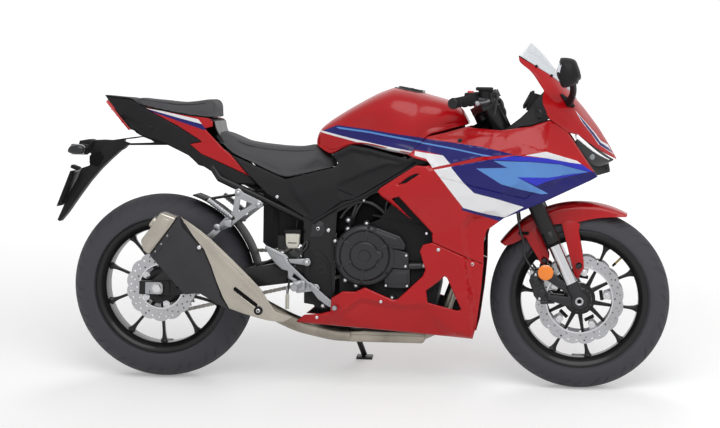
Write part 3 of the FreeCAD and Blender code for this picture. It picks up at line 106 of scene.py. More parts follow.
def grain_group() -> bpy.types.NodeTree:
    """Node group: fine relief and slow colour drift from two noises.

    Returns:
        The group, with Vector, Scale, Drift and Spread in, and Height, Shade and Gloss out.
    """
    name = "Surface grain"
    if name in bpy.data.node_groups:
        return bpy.data.node_groups[name]
    group = bpy.data.node_groups.new(name, "ShaderNodeTree")
    face = group.interface
    face.new_socket("Vector", in_out="INPUT", socket_type="NodeSocketVector")
    for label, value in (("Scale", 800.0), ("Drift", 0.1), ("Spread", 0.08)):
        socket = face.new_socket(label, in_out="INPUT", socket_type="NodeSocketFloat")
        socket.default_value = value
    for label in ("Height", "Shade", "Gloss"):
        face.new_socket(label, in_out="OUTPUT", socket_type="NodeSocketFloat")
    nodes, links = group.nodes, group.links
    start, end = nodes.new("NodeGroupInput"), nodes.new("NodeGroupOutput")
    fine, slow = nodes.new("ShaderNodeTexNoise"), nodes.new("ShaderNodeTexNoise")
    fine.inputs["Detail"].default_value = 3
    slow.inputs["Scale"].default_value = 9
    slow.inputs["Detail"].default_value = 4
    shade, gloss = nodes.new("ShaderNodeMapRange"), nodes.new("ShaderNodeMath")
    links.new(start.outputs["Vector"], fine.inputs["Vector"])
    links.new(start.outputs["Scale"], fine.inputs["Scale"])
    links.new(start.outputs["Vector"], slow.inputs["Vector"])
    links.new(slow.outputs["Fac"], shade.inputs["Value"])
    low = nodes.new("ShaderNodeMath")
    low.operation = "SUBTRACT"
    low.inputs[0].default_value = 1.0
    links.new(start.outputs["Drift"], low.inputs[1])
    high = nodes.new("ShaderNodeMath")
    high.inputs[0].default_value = 1.0
    links.new(start.outputs["Drift"], high.inputs[1])
    shade.inputs["From Min"].default_value = 0.3
    shade.inputs["From Max"].default_value = 0.7
    links.new(low.outputs[0], shade.inputs["To Min"])
    links.new(high.outputs[0], shade.inputs["To Max"])
    centred = nodes.new("ShaderNodeMath")
    centred.operation = "SUBTRACT"
    links.new(slow.outputs["Fac"], centred.inputs[0])
    centred.inputs[1].default_value = 0.5
    gloss.operation = "MULTIPLY"
    links.new(centred.outputs[0], gloss.inputs[0])
    links.new(start.outputs["Spread"], gloss.inputs[1])
    links.new(fine.outputs["Fac"], end.inputs["Height"])
    links.new(shade.outputs["Result"], end.inputs["Shade"])
    links.new(gloss.outputs[0], end.inputs["Gloss"])
    return group


@dataclass(frozen=True)
class Finish:
    """One surface finish, made into a procedural material when first used.

    Args:
        name: Plain name of the finish.
        colour: Base colour, linear.
        rough: Roughness in the middle of its spread.
        metal: Metallic value.
        coat: Clear coat weight.
        grain: Relief scale; larger is finer.
        relief: Relief depth in metres.
        drift: How far the colour drifts.
        spread: How far the roughness drifts.
        stretch: Scaling of the pattern along each row axis.
        glow: Emission strength.
        clear: Transmission weight.
        alpha: Opacity.
        sheen: Sheen weight.
        gloss: Specular level of what lies under the coat.
    """

    name: str
    colour: tuple[float, float, float, float]
    rough: float = 0.5
    metal: float = 0.0
    coat: float = 0.0
    grain: float = 900.0
    relief: float = 0.00005
    drift: float = 0.06
    spread: float = 0.1
    stretch: Triple = (1.0, 1.0, 1.0)
    glow: float = 0.0
    clear: float = 0.0
    alpha: float = 1.0
    sheen: float = 0.0
    gloss: float = 0.22

    def material(self) -> bpy.types.Material:
        """Material of this finish.

        Returns:
            The material, the same one each time.
        """
        if self.name in bpy.data.materials:
            return bpy.data.materials[self.name]
        made = bpy.data.materials.new(self.name)
        made.use_nodes = True
        nodes, links = made.node_tree.nodes, made.node_tree.links
        shader = nodes["Principled BSDF"]
        place, turn = nodes.new("ShaderNodeTexCoord"), nodes.new("ShaderNodeMapping")
        turn.inputs["Scale"].default_value = self.stretch
        links.new(place.outputs["Object"], turn.inputs["Vector"])
        grain = nodes.new("ShaderNodeGroup")
        grain.node_tree = grain_group()
        links.new(turn.outputs["Vector"], grain.inputs["Vector"])
        for label, value in (("Scale", self.grain), ("Drift", self.drift), ("Spread", self.spread)):
            grain.inputs[label].default_value = value
        tint = nodes.new("ShaderNodeMix")
        tint.data_type = "RGBA"
        tint.blend_type = "MULTIPLY"
        tint.inputs["Factor"].default_value = 1.0
        tint.inputs["A"].default_value = self.colour
        links.new(grain.outputs["Shade"], tint.inputs["B"])
        links.new(tint.outputs["Result"], shader.inputs["Base Color"])
        rough = nodes.new("ShaderNodeMath")
        rough.use_clamp = True
        rough.inputs[1].default_value = self.rough
        links.new(grain.outputs["Gloss"], rough.inputs[0])
        links.new(rough.outputs[0], shader.inputs["Roughness"])
        bump = nodes.new("ShaderNodeBump")
        bump.inputs["Distance"].default_value = self.relief
        links.new(grain.outputs["Height"], bump.inputs["Height"])
        links.new(bump.outputs["Normal"], shader.inputs["Normal"])
        shader.inputs["Metallic"].default_value = self.metal
        shader.inputs["Specular IOR Level"].default_value = self.gloss
        shader.inputs["Coat Weight"].default_value = self.coat
        shader.inputs["Coat Roughness"].default_value = 0.03
        shader.inputs["Sheen Weight"].default_value = self.sheen
        shader.inputs["Alpha"].default_value = self.alpha
        shader.inputs["Transmission Weight"].default_value = self.clear
        if self.glow:
            shader.inputs["Emission Color"].default_value = self.colour
            shader.inputs["Emission Strength"].default_value = self.glow
        return made


def paint(name: str, colour: tuple[float, float, float, float]) -> Finish:
    """Lacquered body colour.

    Args:
        name: Name of the finish.
        colour: Linear colour.

    Returns:
        The finish.
    """
    return Finish(name, colour, rough=0.3, coat=0.3, grain=2500, relief=0.000008, drift=0.03, spread=0.06)


RED = paint("red_lacquer", srgb(172, 5, 14))
NAVY = paint("navy_decal", srgb(9, 5, 98))
BLUE = paint("blue_decal", srgb(36, 44, 190))
SKY = paint("light_blue_decal", srgb(88, 138, 204))
WHITE = paint("white_decal", srgb(226, 226, 228))
MATT_BLACK = Finish(
    "moulded_black_plastic", srgb(22, 22, 24), rough=0.55, grain=1500, relief=0.0001, drift=0.15,
)
# Near-black for black parts, and painted shade on panel insides, the tail's underside and behind gaps and
# openings.
BLACK_AND_SHADE = Finish("shadow_black_plastic", srgb(9, 9, 10), rough=0.9, grain=900, drift=0.2)
SATIN_BLACK = Finish(
    "satin_black_enamel", srgb(22, 22, 24), rough=0.36, coat=0.15, grain=1100, relief=0.00006, drift=0.12,
)
WHEEL_BLACK = Finish(
    "wheel_black_enamel", srgb(20, 20, 22), rough=0.3, coat=0.2, grain=1500, relief=0.00004, drift=0.1,
)
CAST_BLACK = Finish(
    "cast_case_black", srgb(30, 30, 33), rough=0.34, metal=0.2, gloss=0.5, grain=700, relief=0.0002,
    drift=0.14, spread=0.2,
)
CAST_DARK = Finish(
    "cast_block_dark", srgb(20, 20, 22), rough=0.6, metal=0.1, grain=500, relief=0.0004, drift=0.2,
)
RUBBER = Finish(
    "tyre_rubber", srgb(22, 22, 23), rough=0.55, grain=1400, relief=0.00012, drift=0.16, spread=0.2,
)
SOFT_RUBBER = Finish("grip_rubber", srgb(24, 24, 26), rough=0.7, grain=1200, relief=0.0001, drift=0.1)
VINYL = Finish("seat_vinyl", srgb(48, 48, 50), rough=0.6, grain=1300, relief=0.00022, drift=0.07, sheen=0.15)
STEEL = Finish(
    "ground_steel", srgb(172, 172, 175), rough=0.3, metal=1.0, grain=260, relief=0.00003, drift=0.1,
    spread=0.3,
)
BOLT = Finish("zinc_bolts", srgb(205, 205, 208), rough=0.28, metal=1.0, grain=900, drift=0.08, spread=0.2)
ALLOY = Finish(
    "bead_blasted_alloy", srgb(156, 157, 160), rough=0.34, metal=0.95, grain=1600, relief=0.00006,
    drift=0.06,
)
CHROME = Finish(
    "hard_chrome", srgb(205, 205, 208), rough=0.14, metal=1.0, grain=900, relief=0.0, drift=0.02,
    spread=0.05,
)
GUNMETAL = Finish(
    "gunmetal_silencer", srgb(54, 54, 56), rough=0.5, metal=0.1, grain=1300, relief=0.00008, drift=0.08,
)
CHAMPAGNE = Finish(
    "champagne_satin", srgb(168, 162, 152), rough=0.28, metal=1.0, grain=500, relief=0.00003, drift=0.06,
    spread=0.15,
)
PIPE_STEEL = Finish(
    "header_steel", srgb(150, 143, 132), rough=0.35, metal=1.0, grain=120, relief=0.00005, drift=0.3,
    spread=0.3,
)
CHAIN_STEEL = Finish(
    "chain_steel", srgb(150, 148, 142), rough=0.38, metal=0.9, grain=1500, drift=0.2, spread=0.3,
)
GLASS_CLEAR = Finish(
    "clear_screen", srgb(214, 216, 218), rough=0.04, grain=900, relief=0.0, drift=0.0, spread=0.0,
    alpha=0.22, coat=0.3,
)
SMOKE_LENS = Finish("smoked_lens", srgb(26, 27, 30), rough=0.08, coat=0.5, grain=900, relief=0.0, drift=0.05)
LAMP_WHITE = Finish("lamp_white", srgb(245, 246, 248), rough=0.2, coat=0.6, glow=0.25, drift=0.02)
MIRROR = Finish("mirror_glass", srgb(210, 214, 220), rough=0.03, metal=1.0, relief=0.0, drift=0.0, spread=0.0)
AMBER = Finish("amber_lens", srgb(240, 128, 10), rough=0.15, coat=1.0, grain=400, relief=0.0002, drift=0.06)
RED_LENS = Finish("red_lens", srgb(214, 20, 26), rough=0.12, coat=1.0, grain=300, relief=0.0002, drift=0.1)
BRASS = Finish("brass_plug", srgb(150, 128, 62), rough=0.4, metal=0.9, grain=700, drift=0.15)
HOSE = Finish("hose_black", srgb(16, 16, 18), rough=0.42, grain=1600, relief=0.00006)
SILVER_PLASTIC = Finish("pale_reservoir", srgb(206, 204, 192), rough=0.35, coat=0.3, grain=600, drift=0.06)
FINS = Finish(
    "radiator_fins", srgb(44, 44, 46), rough=0.5, metal=0.5, grain=420, relief=0.0008,
    stretch=(1.0, 0.15, 2.2), drift=0.3,
)
SCREEN_DARK = Finish("dash_display", srgb(14, 18, 24), rough=0.12, coat=1.0, grain=300, relief=0.0, drift=0.1)


# ---------------------------------------------------------------- bench tools


def choose(obj: bpy.types.Object) -> None:
    """Make one object the only selected and active one.

    Args:
        obj: The object.
    """
    bpy.ops.object.select_all(action="DESELECT")
    obj.select_set(True)
    bpy.context.view_layer.objects.active = obj


def mesh_object(
    name: str, verts: Iterable[Sequence[float]], faces: Iterable[Sequence[int]],
) -> bpy.types.Object:
    """New object from points and faces.

    Args:
        name: Name of the object.
        verts: Places of its points.
        faces: Point numbers of each face.

    Returns:
        The object.
    """
    data = bpy.data.meshes.new(name)
    data.from_pydata([tuple(v) for v in verts], [], [tuple(f) for f in faces])
    data.update()
    obj = bpy.data.objects.new(name, data)
    bpy.context.collection.objects.link(obj)
    return obj


def modify(obj: bpy.types.Object, kind: str, **settings: object) -> bpy.types.Object:
    """Add a modifier and apply it.

    Args:
        obj: The object to change.
        kind: The modifier's type.
        settings: Its properties.

    Returns:
        The same object.
    """
    choose(obj)
    added = obj.modifiers.new(kind.title(), kind)
    for key, value in settings.items():
        setattr(added, key, value)
    bpy.ops.object.modifier_apply(modifier=added.name)
    return obj


def soften(
    obj: bpy.types.Object, width: float = 1.0, segments: int = 2, angle: float = 30,
) -> bpy.types.Object:
    """Round an object's hard edges.

    Args:
        obj: The object to change.
        width: Width of the rounding.
        segments: Faces across it.
        angle: Edges sharper than this are rounded, in degrees.

    Returns:
        The same object.
    """
    return modify(
        obj, "BEVEL", width=width, segments=segments, limit_method="ANGLE", angle_limit=math.radians(angle),
        harden_normals=False,
    )


def smooth(obj: bpy.types.Object, angle: float = 35) -> bpy.types.Object:
    """Shade smooth except across edges sharper than the angle.

    Args:
        obj: The object to change.
        angle: Sharpest edge shaded smooth, in degrees.

    Returns:
        The same object.
    """
    choose(obj)
    bpy.ops.object.shade_smooth_by_angle(angle=math.radians(angle))
    return obj


def recalculate(obj: bpy.types.Object) -> bpy.types.Object:
    """Merge doubles and turn all faces outwards.

    Args:
        obj: The object to change.

    Returns:
        The same object.
    """
    edit = bmesh.new()
    edit.from_mesh(obj.data)
    bmesh.ops.remove_doubles(edit, verts=edit.verts, dist=0.01)
    bmesh.ops.recalc_face_normals(edit, faces=edit.faces)
    edit.to_mesh(obj.data)
    edit.free()
    return obj


def turned(axis: Sequence[float], centre: Sequence[float] = (0, 0, 0)) -> Matrix:
    """Matrix that stands a piece made along z on an axis at a centre.

    Args:
        axis: Direction of the piece's z.
        centre: Place of the piece's origin.

    Returns:
        The matrix.
    """
    return Matrix.Translation(Vector(centre)) @ Vector(axis).to_track_quat("Z", "Y").to_matrix().to_4x4()


def slab(
    name: str, outline: Sequence[Pair], low: float, high: float, bevel: float = 1.0,
    holes: Sequence[Sequence[Pair]] = (), segments: int = 2,
) -> bpy.types.Object:
    """Plate with a side-view outline, extruded across the bike.

    Args:
        name: Name of the object.
        outline: Corners as (x, z).
        low: Lowest y.
        high: Highest y.
        bevel: Edge rounding.
        holes: Outlines of through holes.
        segments: Bevel segments.

    Returns:
        The plate.
    """
    if holes:
        points, edges = ring_edges([outline, *holes])
        made = delaunay_2d_cdt([Vector(p) for p in points], edges, [], 0, 1e-5)
        flat = [tuple(v) for v in made[0]]
        faces = [f for f in made[2] if inside(centre_of(flat, f), outline) and not any(
            inside(centre_of(flat, f), hole) for hole in holes)]
        obj = mesh_object(name, [(x, low, z) for x, z in flat], faces)
    else:
        bpy.ops.object.select_all(action="DESELECT")
        bpy.ops.mesh.primitive_circle_add(vertices=len(outline), fill_type="NGON")
        obj = bpy.context.object
        obj.name = obj.data.name = name
        for vertex, (x, z) in zip(obj.data.vertices, outline):
            vertex.co = (x, low, z)
    choose(obj)
    bpy.ops.object.mode_set(mode="EDIT")
    bpy.ops.mesh.select_all(action="SELECT")
    bpy.ops.mesh.extrude_region_move(TRANSFORM_OT_translate={"value": (0, high - low, 0)})
    bpy.ops.mesh.select_all(action="SELECT")
    bpy.ops.mesh.normals_make_consistent(inside=False)
    if holes:
        bpy.ops.mesh.dissolve_limited(angle_limit=math.radians(0.5))
    bpy.ops.object.mode_set(mode="OBJECT")
    if bevel:
        soften(obj, bevel, segments)
    return smooth(obj)


def centre_of(points: Sequence[Pair], face: Sequence[int]) -> Pair:
    """Middle of a flat face.

    Args:
        points: All points.
        face: Numbers of the face's points.

    Returns:
        Their mean.
    """
    return tuple(np.mean([points[i] for i in face], axis=0))


def ring_edges(rings: Sequence[Sequence[Pair]]) -> tuple[list[Pair], list[tuple[int, int]]]:
    """Points and closed edges of several outlines.

    Args:
        rings: Closed outlines.

    Returns:
        The points, and the edges as pairs of point numbers.
    """
    points: list[Pair] = []
    edges: list[tuple[int, int]] = []
    for ring in rings:
        base = len(points)
        points += [tuple(p) for p in ring]
        edges += [(base + i, base + (i + 1) % len(ring)) for i in range(len(ring))]
    return points, edges


def inside(point: Pair, outline: Sequence[Pair]) -> bool:
    """Whether a point lies in an outline.

    Args:
        point: The point.
        outline: Corners of the outline.

    Returns:
        True inside, False outside.
    """
    x, z = point
    odd = False
    for (x0, z0), (x1, z1) in zip(outline, [*outline[1:], outline[0]]):
        if (z0 > z) != (z1 > z) and x < x0 + (x1 - x0) * (z - z0) / (z1 - z0):
            odd = not odd
    return odd


def circle(radius: float, count: int = 24, centre: Pair = (0, 0), start: float = 0) -> list[Pair]:
    """Points of a round outline.

    Args:
        radius: Radius of the circle.
        count: Number of points.
        centre: Middle of the circle.
        start: Angle of the first point, in radians.

    Returns:
        The points.
    """
    angles = [start + 2 * math.pi * i / count for i in range(count)]
    return [(centre[0] + radius * math.cos(a), centre[1] + radius * math.sin(a)) for a in angles]


def lathe(
    name: str, profile: Sequence[Pair], centre: Sequence[float] = (0, 0, 0),
    axis: Sequence[float] = (0, 1, 0), steps: int = 48, closed: bool = False,
) -> bpy.types.Object:
    """Round piece spun from a profile.

    Args:
        name: Name of the object.
        profile: Points as (radius, distance along the axis).
        centre: Where the axis starts.
        axis: Direction of the axis.
        steps: Segments round the axis.
        closed: Whether the profile closes on itself, as a ring's does.

    Returns:
        The spun piece.
    """
    count = len(profile)
    edges = [(i, i + 1) for i in range(count - 1)] + ([(count - 1, 0)] if closed else [])
    data = bpy.data.meshes.new(name)
    data.from_pydata([(r, 0, h) for r, h in profile], edges, [])
    obj = bpy.data.objects.new(name, data)
    bpy.context.collection.objects.link(obj)
    choose(obj)
    bpy.ops.object.mode_set(mode="EDIT")
    bpy.ops.mesh.select_all(action="SELECT")
    bpy.ops.mesh.spin(steps=steps, angle=2 * math.pi, center=(0, 0, 0), axis=(0, 0, 1))
    bpy.ops.object.mode_set(mode="OBJECT")
    recalculate(obj)
    obj.data.transform(turned(axis, centre))
    return smooth(obj)


def rod(
    name: str, start: Triple, end: Triple, radius: float, end_radius: float | None = None,
    steps: int = 24, bevel: float = 1.0,
) -> bpy.types.Object:
    """Round bar between two points, tapered if the end radius differs.

    Args:
        name: Name of the object.
        start: Middle of one end.
        end: Middle of the other.
        radius: Radius at the start.
        end_radius: Radius at the end, if it differs.
        steps: Segments round the axis.
        bevel: Edge rounding at both ends.

    Returns:
        The bar.
    """
    a, b = Vector(start), Vector(end)
    length = (b - a).length
    last = radius if end_radius is None else end_radius
    edge = min(bevel, radius * 0.4, last * 0.4, length * 0.3)
    profile = [
        (0, 0), (radius - edge, 0), (radius, edge), (last, length - edge), (last - edge, length),
        (0, length),
    ]
    return lathe(name, profile, a, b - a, steps)


def tube(name: str, points: Sequence[Triple], radius: float, sides: int = 4, resolution: int = 8,
         radii: Sequence[float] | None = None) -> bpy.types.Object:
    """Smooth round tube that passes near its route's points.

    Args:
        name: Name of the object.
        points: The route.
        radius: Radius of the tube.
        sides: Bevel resolution.
        resolution: Steps between points.
        radii: Factor on the radius at each point.

    Returns:
        The tube as a mesh with closed ends.
    """
    curve = bpy.data.curves.new(name, "CURVE")
    curve.dimensions = "3D"
    curve.bevel_depth = radius
    curve.bevel_resolution = sides
    curve.use_fill_caps = True
    line = curve.splines.new("NURBS")
    line.points.add(len(points) - 1)
    for index, point in enumerate(points):
        line.points[index].co = (*point, 1)
        line.points[index].radius = radii[index] if radii else 1.0
    line.order_u = 3
    line.use_endpoint_u = True
    line.resolution_u = resolution
    obj = bpy.data.objects.new(name, curve)
    bpy.context.collection.objects.link(obj)
    choose(obj)
    bpy.ops.object.convert(target="MESH")
    recalculate(obj)
    return smooth(obj, 50)


def block(name: str, low: Triple, high: Triple, bevel: float = 1.5, segments: int = 2) -> bpy.types.Object:
    """Box between two corners with rounded edges.

    Args:
        name: Name of the object.
        low: Lowest corner.
        high: Highest corner.
        bevel: Edge rounding.
        segments: Bevel segments.

    Returns:
        The box.
    """
    bpy.ops.object.select_all(action="DESELECT")
    middle = [(a + b) / 2 for a, b in zip(low, high)]
    bpy.ops.mesh.primitive_cube_add(size=1, location=(0, 0, 0))
    obj = bpy.context.object
    obj.name = obj.data.name = name
    size = [b - a for a, b in zip(low, high)]
    obj.data.transform(Matrix.Translation(middle) @ Matrix.Diagonal((*size, 1)))
    soften(obj, bevel, segments)
    return smooth(obj)


def copy_of(obj: bpy.types.Object, matrix: Matrix, name: str = "") -> bpy.types.Object:
    """Copy of an object, its mesh moved by a matrix, faces still outwards.

    Args:
        obj: The object to copy.
        matrix: What moves the mesh.
        name: Name of the copy.

    Returns:
        The copy.
    """
    twin = obj.copy()
    twin.data = obj.data.copy()
    twin.name = name or obj.name + "_copy"
    bpy.context.collection.objects.link(twin)
    twin.data.transform(matrix)
    if matrix.determinant() < 0:
        twin.data.flip_normals()
    return twin


MIRROR_Y = Matrix.Diagonal((1, -1, 1, 1))


def with_mirror(obj: bpy.types.Object) -> bpy.types.Object:
    """The object together with its twin on the other side.

    Args:
        obj: The object on one side.

    Returns:
        Both as one object.
    """
    return joined(obj.name, [obj, copy_of(obj, MIRROR_Y)])


def joined(name: str, parts: Sequence[bpy.types.Object]) -> bpy.types.Object:
    """Several objects as one.

    Args:
        name: Name of the whole.
        parts: The objects, the first of which stays.

    Returns:
        The whole.
    """
    bpy.ops.object.select_all(action="DESELECT")
    for part in parts:
        part.select_set(True)
    bpy.context.view_layer.objects.active = parts[0]
    if len(parts) > 1:
        bpy.ops.object.join()
    parts[0].name = parts[0].data.name = name
    return parts[0]


def dress(obj: bpy.types.Object, finish: Finish) -> bpy.types.Object:
    """Give every face one finish.

    Args:
        obj: The object.
        finish: Its finish.

    Returns:
        The same object.
    """
    obj.data.materials.clear()
    obj.data.materials.append(finish.material())
    return obj


def deliver(
    obj: bpy.types.Object, body: str, finish: Finish | None = None, replaces: Sequence[str] = (),
    place: Place = Place.BIKE,
) -> bpy.types.Object:
    """Lean a finished piece into the row frame and fasten it to its body.

    Args:
        obj: The finished piece, in millimetres.
        body: The body it rides on.
        finish: Its finish, if it isn't dressed yet.
        replaces: Frame nodes that it stands for.
        place: The frame it was modelled in.

    Returns:
        The same object.
    """
    if finish:
        dress(obj, finish)
    obj.data.transform(place.value)
    obj.data.update()
    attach(obj, body)
    if replaces:
        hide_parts(*replaces)
    log.info("%s: %d faces", obj.name, len(obj.data.polygons))
    return obj


def refined(node: str, name: str, bevel: float = 1.5, angle: float = 30) -> bpy.types.Object:
    """Copy of a frame node, merged, with its edges rounded, in the upright bike's frame.

    Args:
        node: The frame node's name.
        name: Name of the copy.
        bevel: Edge rounding.
        angle: Edges sharper than this are rounded.

    Returns:
        The copy.
    """
    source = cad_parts[node]
    obj = bpy.data.objects.new(name, source.data.copy())
    bpy.context.collection.objects.link(obj)
    obj.data.transform(LEAN.inverted())
    edit = bmesh.new()
    edit.from_mesh(obj.data)
    bmesh.ops.remove_doubles(edit, verts=edit.verts, dist=0.02)
    bmesh.ops.dissolve_limit(
        edit, angle_limit=math.radians(1.5), use_dissolve_boundaries=False, verts=edit.verts,
        edges=edit.edges, delimit={"NORMAL"},
    )
    edit.to_mesh(obj.data)
    edit.free()
    if bevel:
        modify(obj, "BEVEL", width=bevel, segments=2, limit_method="ANGLE", angle_limit=math.radians(angle),
               use_clamp_overlap=True)
    return smooth(obj)


# ---------------------------------------------------------------- skins


def spline(points: Sequence[Sequence[float]], steps: int, closed: bool = False) -> np.ndarray:
    """Smooth line through points.

    Args:
        points: The points; one given twice in a row makes a corner.
        steps: Divisions between neighbours.
        closed: Whether the line closes on itself.

    Returns:
        The line's points, the given ones among them.
    """
    given = np.asarray(points, float)
    count = len(given)
    spans = count if closed else count - 1
    found = []
    for i in range(spans):
        a, b = given[i], given[(i + 1) % count]
        if np.allclose(a, b):
            continue
        before = given[(i - 1) % count] if closed or i else 2 * a - b
        after = given[(i + 2) % count] if closed or i + 2 < count else 2 * b - a
        if np.allclose(before, a):
            before = 2 * a - b
        if np.allclose(after, b):
            after = 2 * b - a
        for k in range(steps):
            t = k / steps
            found.append(
                0.5 * (2 * a + (b - before) * t + (2 * before - 5 * a + 4 * b - after) * t**2
                       + (3 * a - before - 3 * b + after) * t**3)
            )
    if not closed:
        found.append(given[-1])
    return np.array(found)


def loft(name: str, rows: Sequence[Sequence[Triple]], along: int = 4, across: int = 4, ring: bool = False,
         caps: bool = False) -> bpy.types.Object:
    """Smooth skin through cross-sections.

    Args:
        name: Name of the object.
        rows: Cross-sections with the same number of points.
        along: Divisions from section to section.
        across: Divisions from point to point in a section.
        ring: Whether each section closes on itself.
        caps: Whether the two ends are closed.

    Returns:
        The skin.
    """
    fine = np.array([spline(row, across, ring) for row in rows])
    grid = np.array([spline(fine[:, i], along) for i in range(fine.shape[1])]).transpose(1, 0, 2)
    high, wide = grid.shape[:2]
    verts = grid.reshape(-1, 3)
    faces = []
    for r in range(high - 1):
        for c in range(wide if ring else wide - 1):
            d = (c + 1) % wide
            faces.append((r * wide + c, r * wide + d, (r + 1) * wide + d, (r + 1) * wide + c))
    if caps:
        faces += [tuple(range(wide))[::-1], tuple((high - 1) * wide + c for c in range(wide))]
    return smooth(recalculate(mesh_object(name, verts, faces)), 40)


@dataclass
class Sheet:
    """Bodywork panel seen from the side, with its depth given by ridges.

    Args:
        outline: Corners as (x, z, y), y outwards.
        ridges: Lines of points that shape the depth between them.
        holes: Outlines of openings.
        grooves: Lines pressed into the face.
        lip: Radius of the rounded border.
        pitch: Spacing of the mesh.
        blend: Smoothing passes over the ridges.
    """

    outline: Sequence[Triple]
    ridges: Sequence[Sequence[Triple]] = ()
    holes: Sequence[Sequence[Pair]] = ()
    grooves: Sequence[Sequence[Pair]] = ()
    lip: float = 5.0
    pitch: float = 8.0
    blend: int = 2

    def depth_at(self, where: np.ndarray) -> np.ndarray:
        """Depth of the facets at places in the side view.

        Args:
            where: Places as rows of (x, z).

        Returns:
            The depth at each place.
        """
        points = [Vector(p[:2]) for p in self.outline]
        depths = [p[2] for p in self.outline]
        edges = [(i, (i + 1) % len(points)) for i in range(len(points))]
        for ridge in self.ridges:
            base = len(points)
            points += [Vector(p[:2]) for p in ridge]
            depths += [p[2] for p in ridge]
            edges += [(base + i, base + i + 1) for i in range(len(ridge) - 1)]
        made = delaunay_2d_cdt(points, edges, [], 0, 1e-4)
        spots = np.array([tuple(v) for v in made[0]])
        level = np.array([np.mean([depths[i] for i in came]) if came else np.nan for came in made[3]])
        for i in np.flatnonzero(np.isnan(level)):
            near = np.hypot(*(spots - spots[i]).T)
            near[np.isnan(level)] = 1e9
            best = np.argsort(near)[:2]
            level[i] = np.average(level[best], weights=1 / (near[best] + 1e-6))
        found = np.full(len(where), np.nan)
        closest = np.full(len(where), -1e9)
        for face in made[2]:
            a, b, c = (spots[i] for i in face)
            base = (b[0] - a[0]) * (c[1] - a[1]) - (c[0] - a[0]) * (b[1] - a[1])
            if abs(base) < 1e-6:
                continue
            d = where - a
            v = (d[:, 0] * (c[1] - a[1]) - (c[0] - a[0]) * d[:, 1]) / base
            w = ((b[0] - a[0]) * d[:, 1] - d[:, 0] * (b[1] - a[1])) / base
            least = np.minimum(np.minimum(v, w), 1 - v - w)
            better = least > closest
            values = level[face[0]] * (1 - v - w) + level[face[1]] * v + level[face[2]] * w
            found[better] = values[better]
            closest[better] = least[better]
        return found

    @staticmethod
    def border_distance(where: np.ndarray, rings: Sequence[Sequence[Pair]]) -> np.ndarray:
        """Distance from places to the nearest border.

        Args:
            where: Places as rows of (x, z).
            rings: Closed borders.

        Returns:
            The distance of each place.
        """
        nearest = np.full(len(where), 1e9)
        for ring in rings:
            corners = np.array([p[:2] for p in ring], float)
            for a, b in zip(corners, np.roll(corners, -1, axis=0)):
                d = b - a
                t = np.clip(((where - a) @ d) / max(d @ d, 1e-9), 0, 1)
                nearest = np.minimum(nearest, np.hypot(*(where - (a + t[:, None] * d)).T))
        return nearest

    def build(self, name: str) -> bpy.types.Object:
        """Panel on the left side, facing outwards.

        Args:
            name: Name of the object.

        Returns:
            The panel, a closed thin wall.
        """
        border = [tuple(p[:2]) for p in self.outline]
        rings = [border, *self.holes]
        lines: list[list[Pair]] = [[*ring, ring[0]] for ring in rings]
        lines += [[tuple(p[:2]) for p in ridge] for ridge in self.ridges]
        for groove in self.grooves:
            path = np.asarray(groove, float)
            ahead = np.gradient(path, axis=0)
            side = np.stack([-ahead[:, 1], ahead[:, 0]], 1) / np.hypot(*ahead.T)[:, None]
            lines += [[tuple(p) for p in path + side * s] for s in (-1.6, 0, 1.6)]
        points: list[Pair] = []
        edges: list[tuple[int, int]] = []
        for line in lines:
            start = len(points)
            for a, b in zip(line, line[1:]):
                count = max(1, round(math.dist(a, b) / self.pitch))
                points += [(a[0] + (b[0] - a[0]) * k / count, a[1] + (b[1] - a[1]) * k / count)
                           for k in range(count)]
            points.append(line[-1])
            edges += [(i, i + 1) for i in range(start, len(points) - 1)]
        for ring in rings:
            turn = sum(a[0] * b[1] - b[0] * a[1] for a, b in zip(ring, [*ring[1:], ring[0]]))
            way = (1 if turn > 0 else -1) * (1 if ring is border else -1)
            dense = spline([*ring], 1, True)
            dense = np.concatenate([
                np.linspace(a, b, max(2, round(math.dist(a, b) / self.pitch)), endpoint=False)
                for a, b in zip(dense, np.roll(dense, -1, axis=0))
            ])
            ahead = np.roll(dense, -1, axis=0) - np.roll(dense, 1, axis=0)
            inward = way * np.stack([-ahead[:, 1], ahead[:, 0]], 1) / np.hypot(*ahead.T)[:, None]
            for share in (0.12, 0.35, 0.7, 1.1):
                moved = dense + inward * self.lip * share
                keep = self.border_distance(moved, rings) > self.lip * share * 0.8
                points += [tuple(p) for p in moved[keep]]
        corners = np.array(border)
        low, high = corners.min(0), corners.max(0)
        xs = np.arange(low[0], high[0], self.pitch)
        for row, z in enumerate(np.arange(low[1], high[1], self.pitch * 0.87)):
            line = np.stack([xs + (row % 2) * self.pitch / 2, np.full(len(xs), z)], 1)
            keep = self.border_distance(line, rings) > self.lip * 1.1 + self.pitch * 0.4
            points += [tuple(p) for p in line[keep] if inside(tuple(p), border)]
        made = delaunay_2d_cdt([Vector(p) for p in points], edges, [], 0, 0.05)
        spots = np.array([tuple(v) for v in made[0]])
        faces = []
        for face in made[2]:
            middle = tuple(spots[list(face)].mean(0))
            if inside(middle, border) and not any(inside(middle, hole) for hole in self.holes):
                faces.append(tuple(face))
        used = sorted({i for face in faces for i in face})
        order = {old: new for new, old in enumerate(used)}
        spots = spots[used]
        faces = [tuple(order[i] for i in face) for face in faces]
        depth = self.depth_at(spots)
        links = np.array([(f[i], f[(i + 1) % 3]) for f in faces for i in range(3)])
        for _ in range(self.blend):
            total = np.zeros(len(spots))
            count = np.zeros(len(spots))
            np.add.at(total, links[:, 0], depth[links[:, 1]])
            np.add.at(count, links[:, 0], 1)
            depth = 0.5 * depth + 0.5 * total / np.maximum(count, 1)
        away = np.minimum(self.border_distance(spots, rings), self.lip)
        depth -= self.lip - np.sqrt(np.maximum(self.lip**2 - (self.lip - away) ** 2, 0))
        for groove in self.grooves:
            path = [tuple(p) for p in groove]
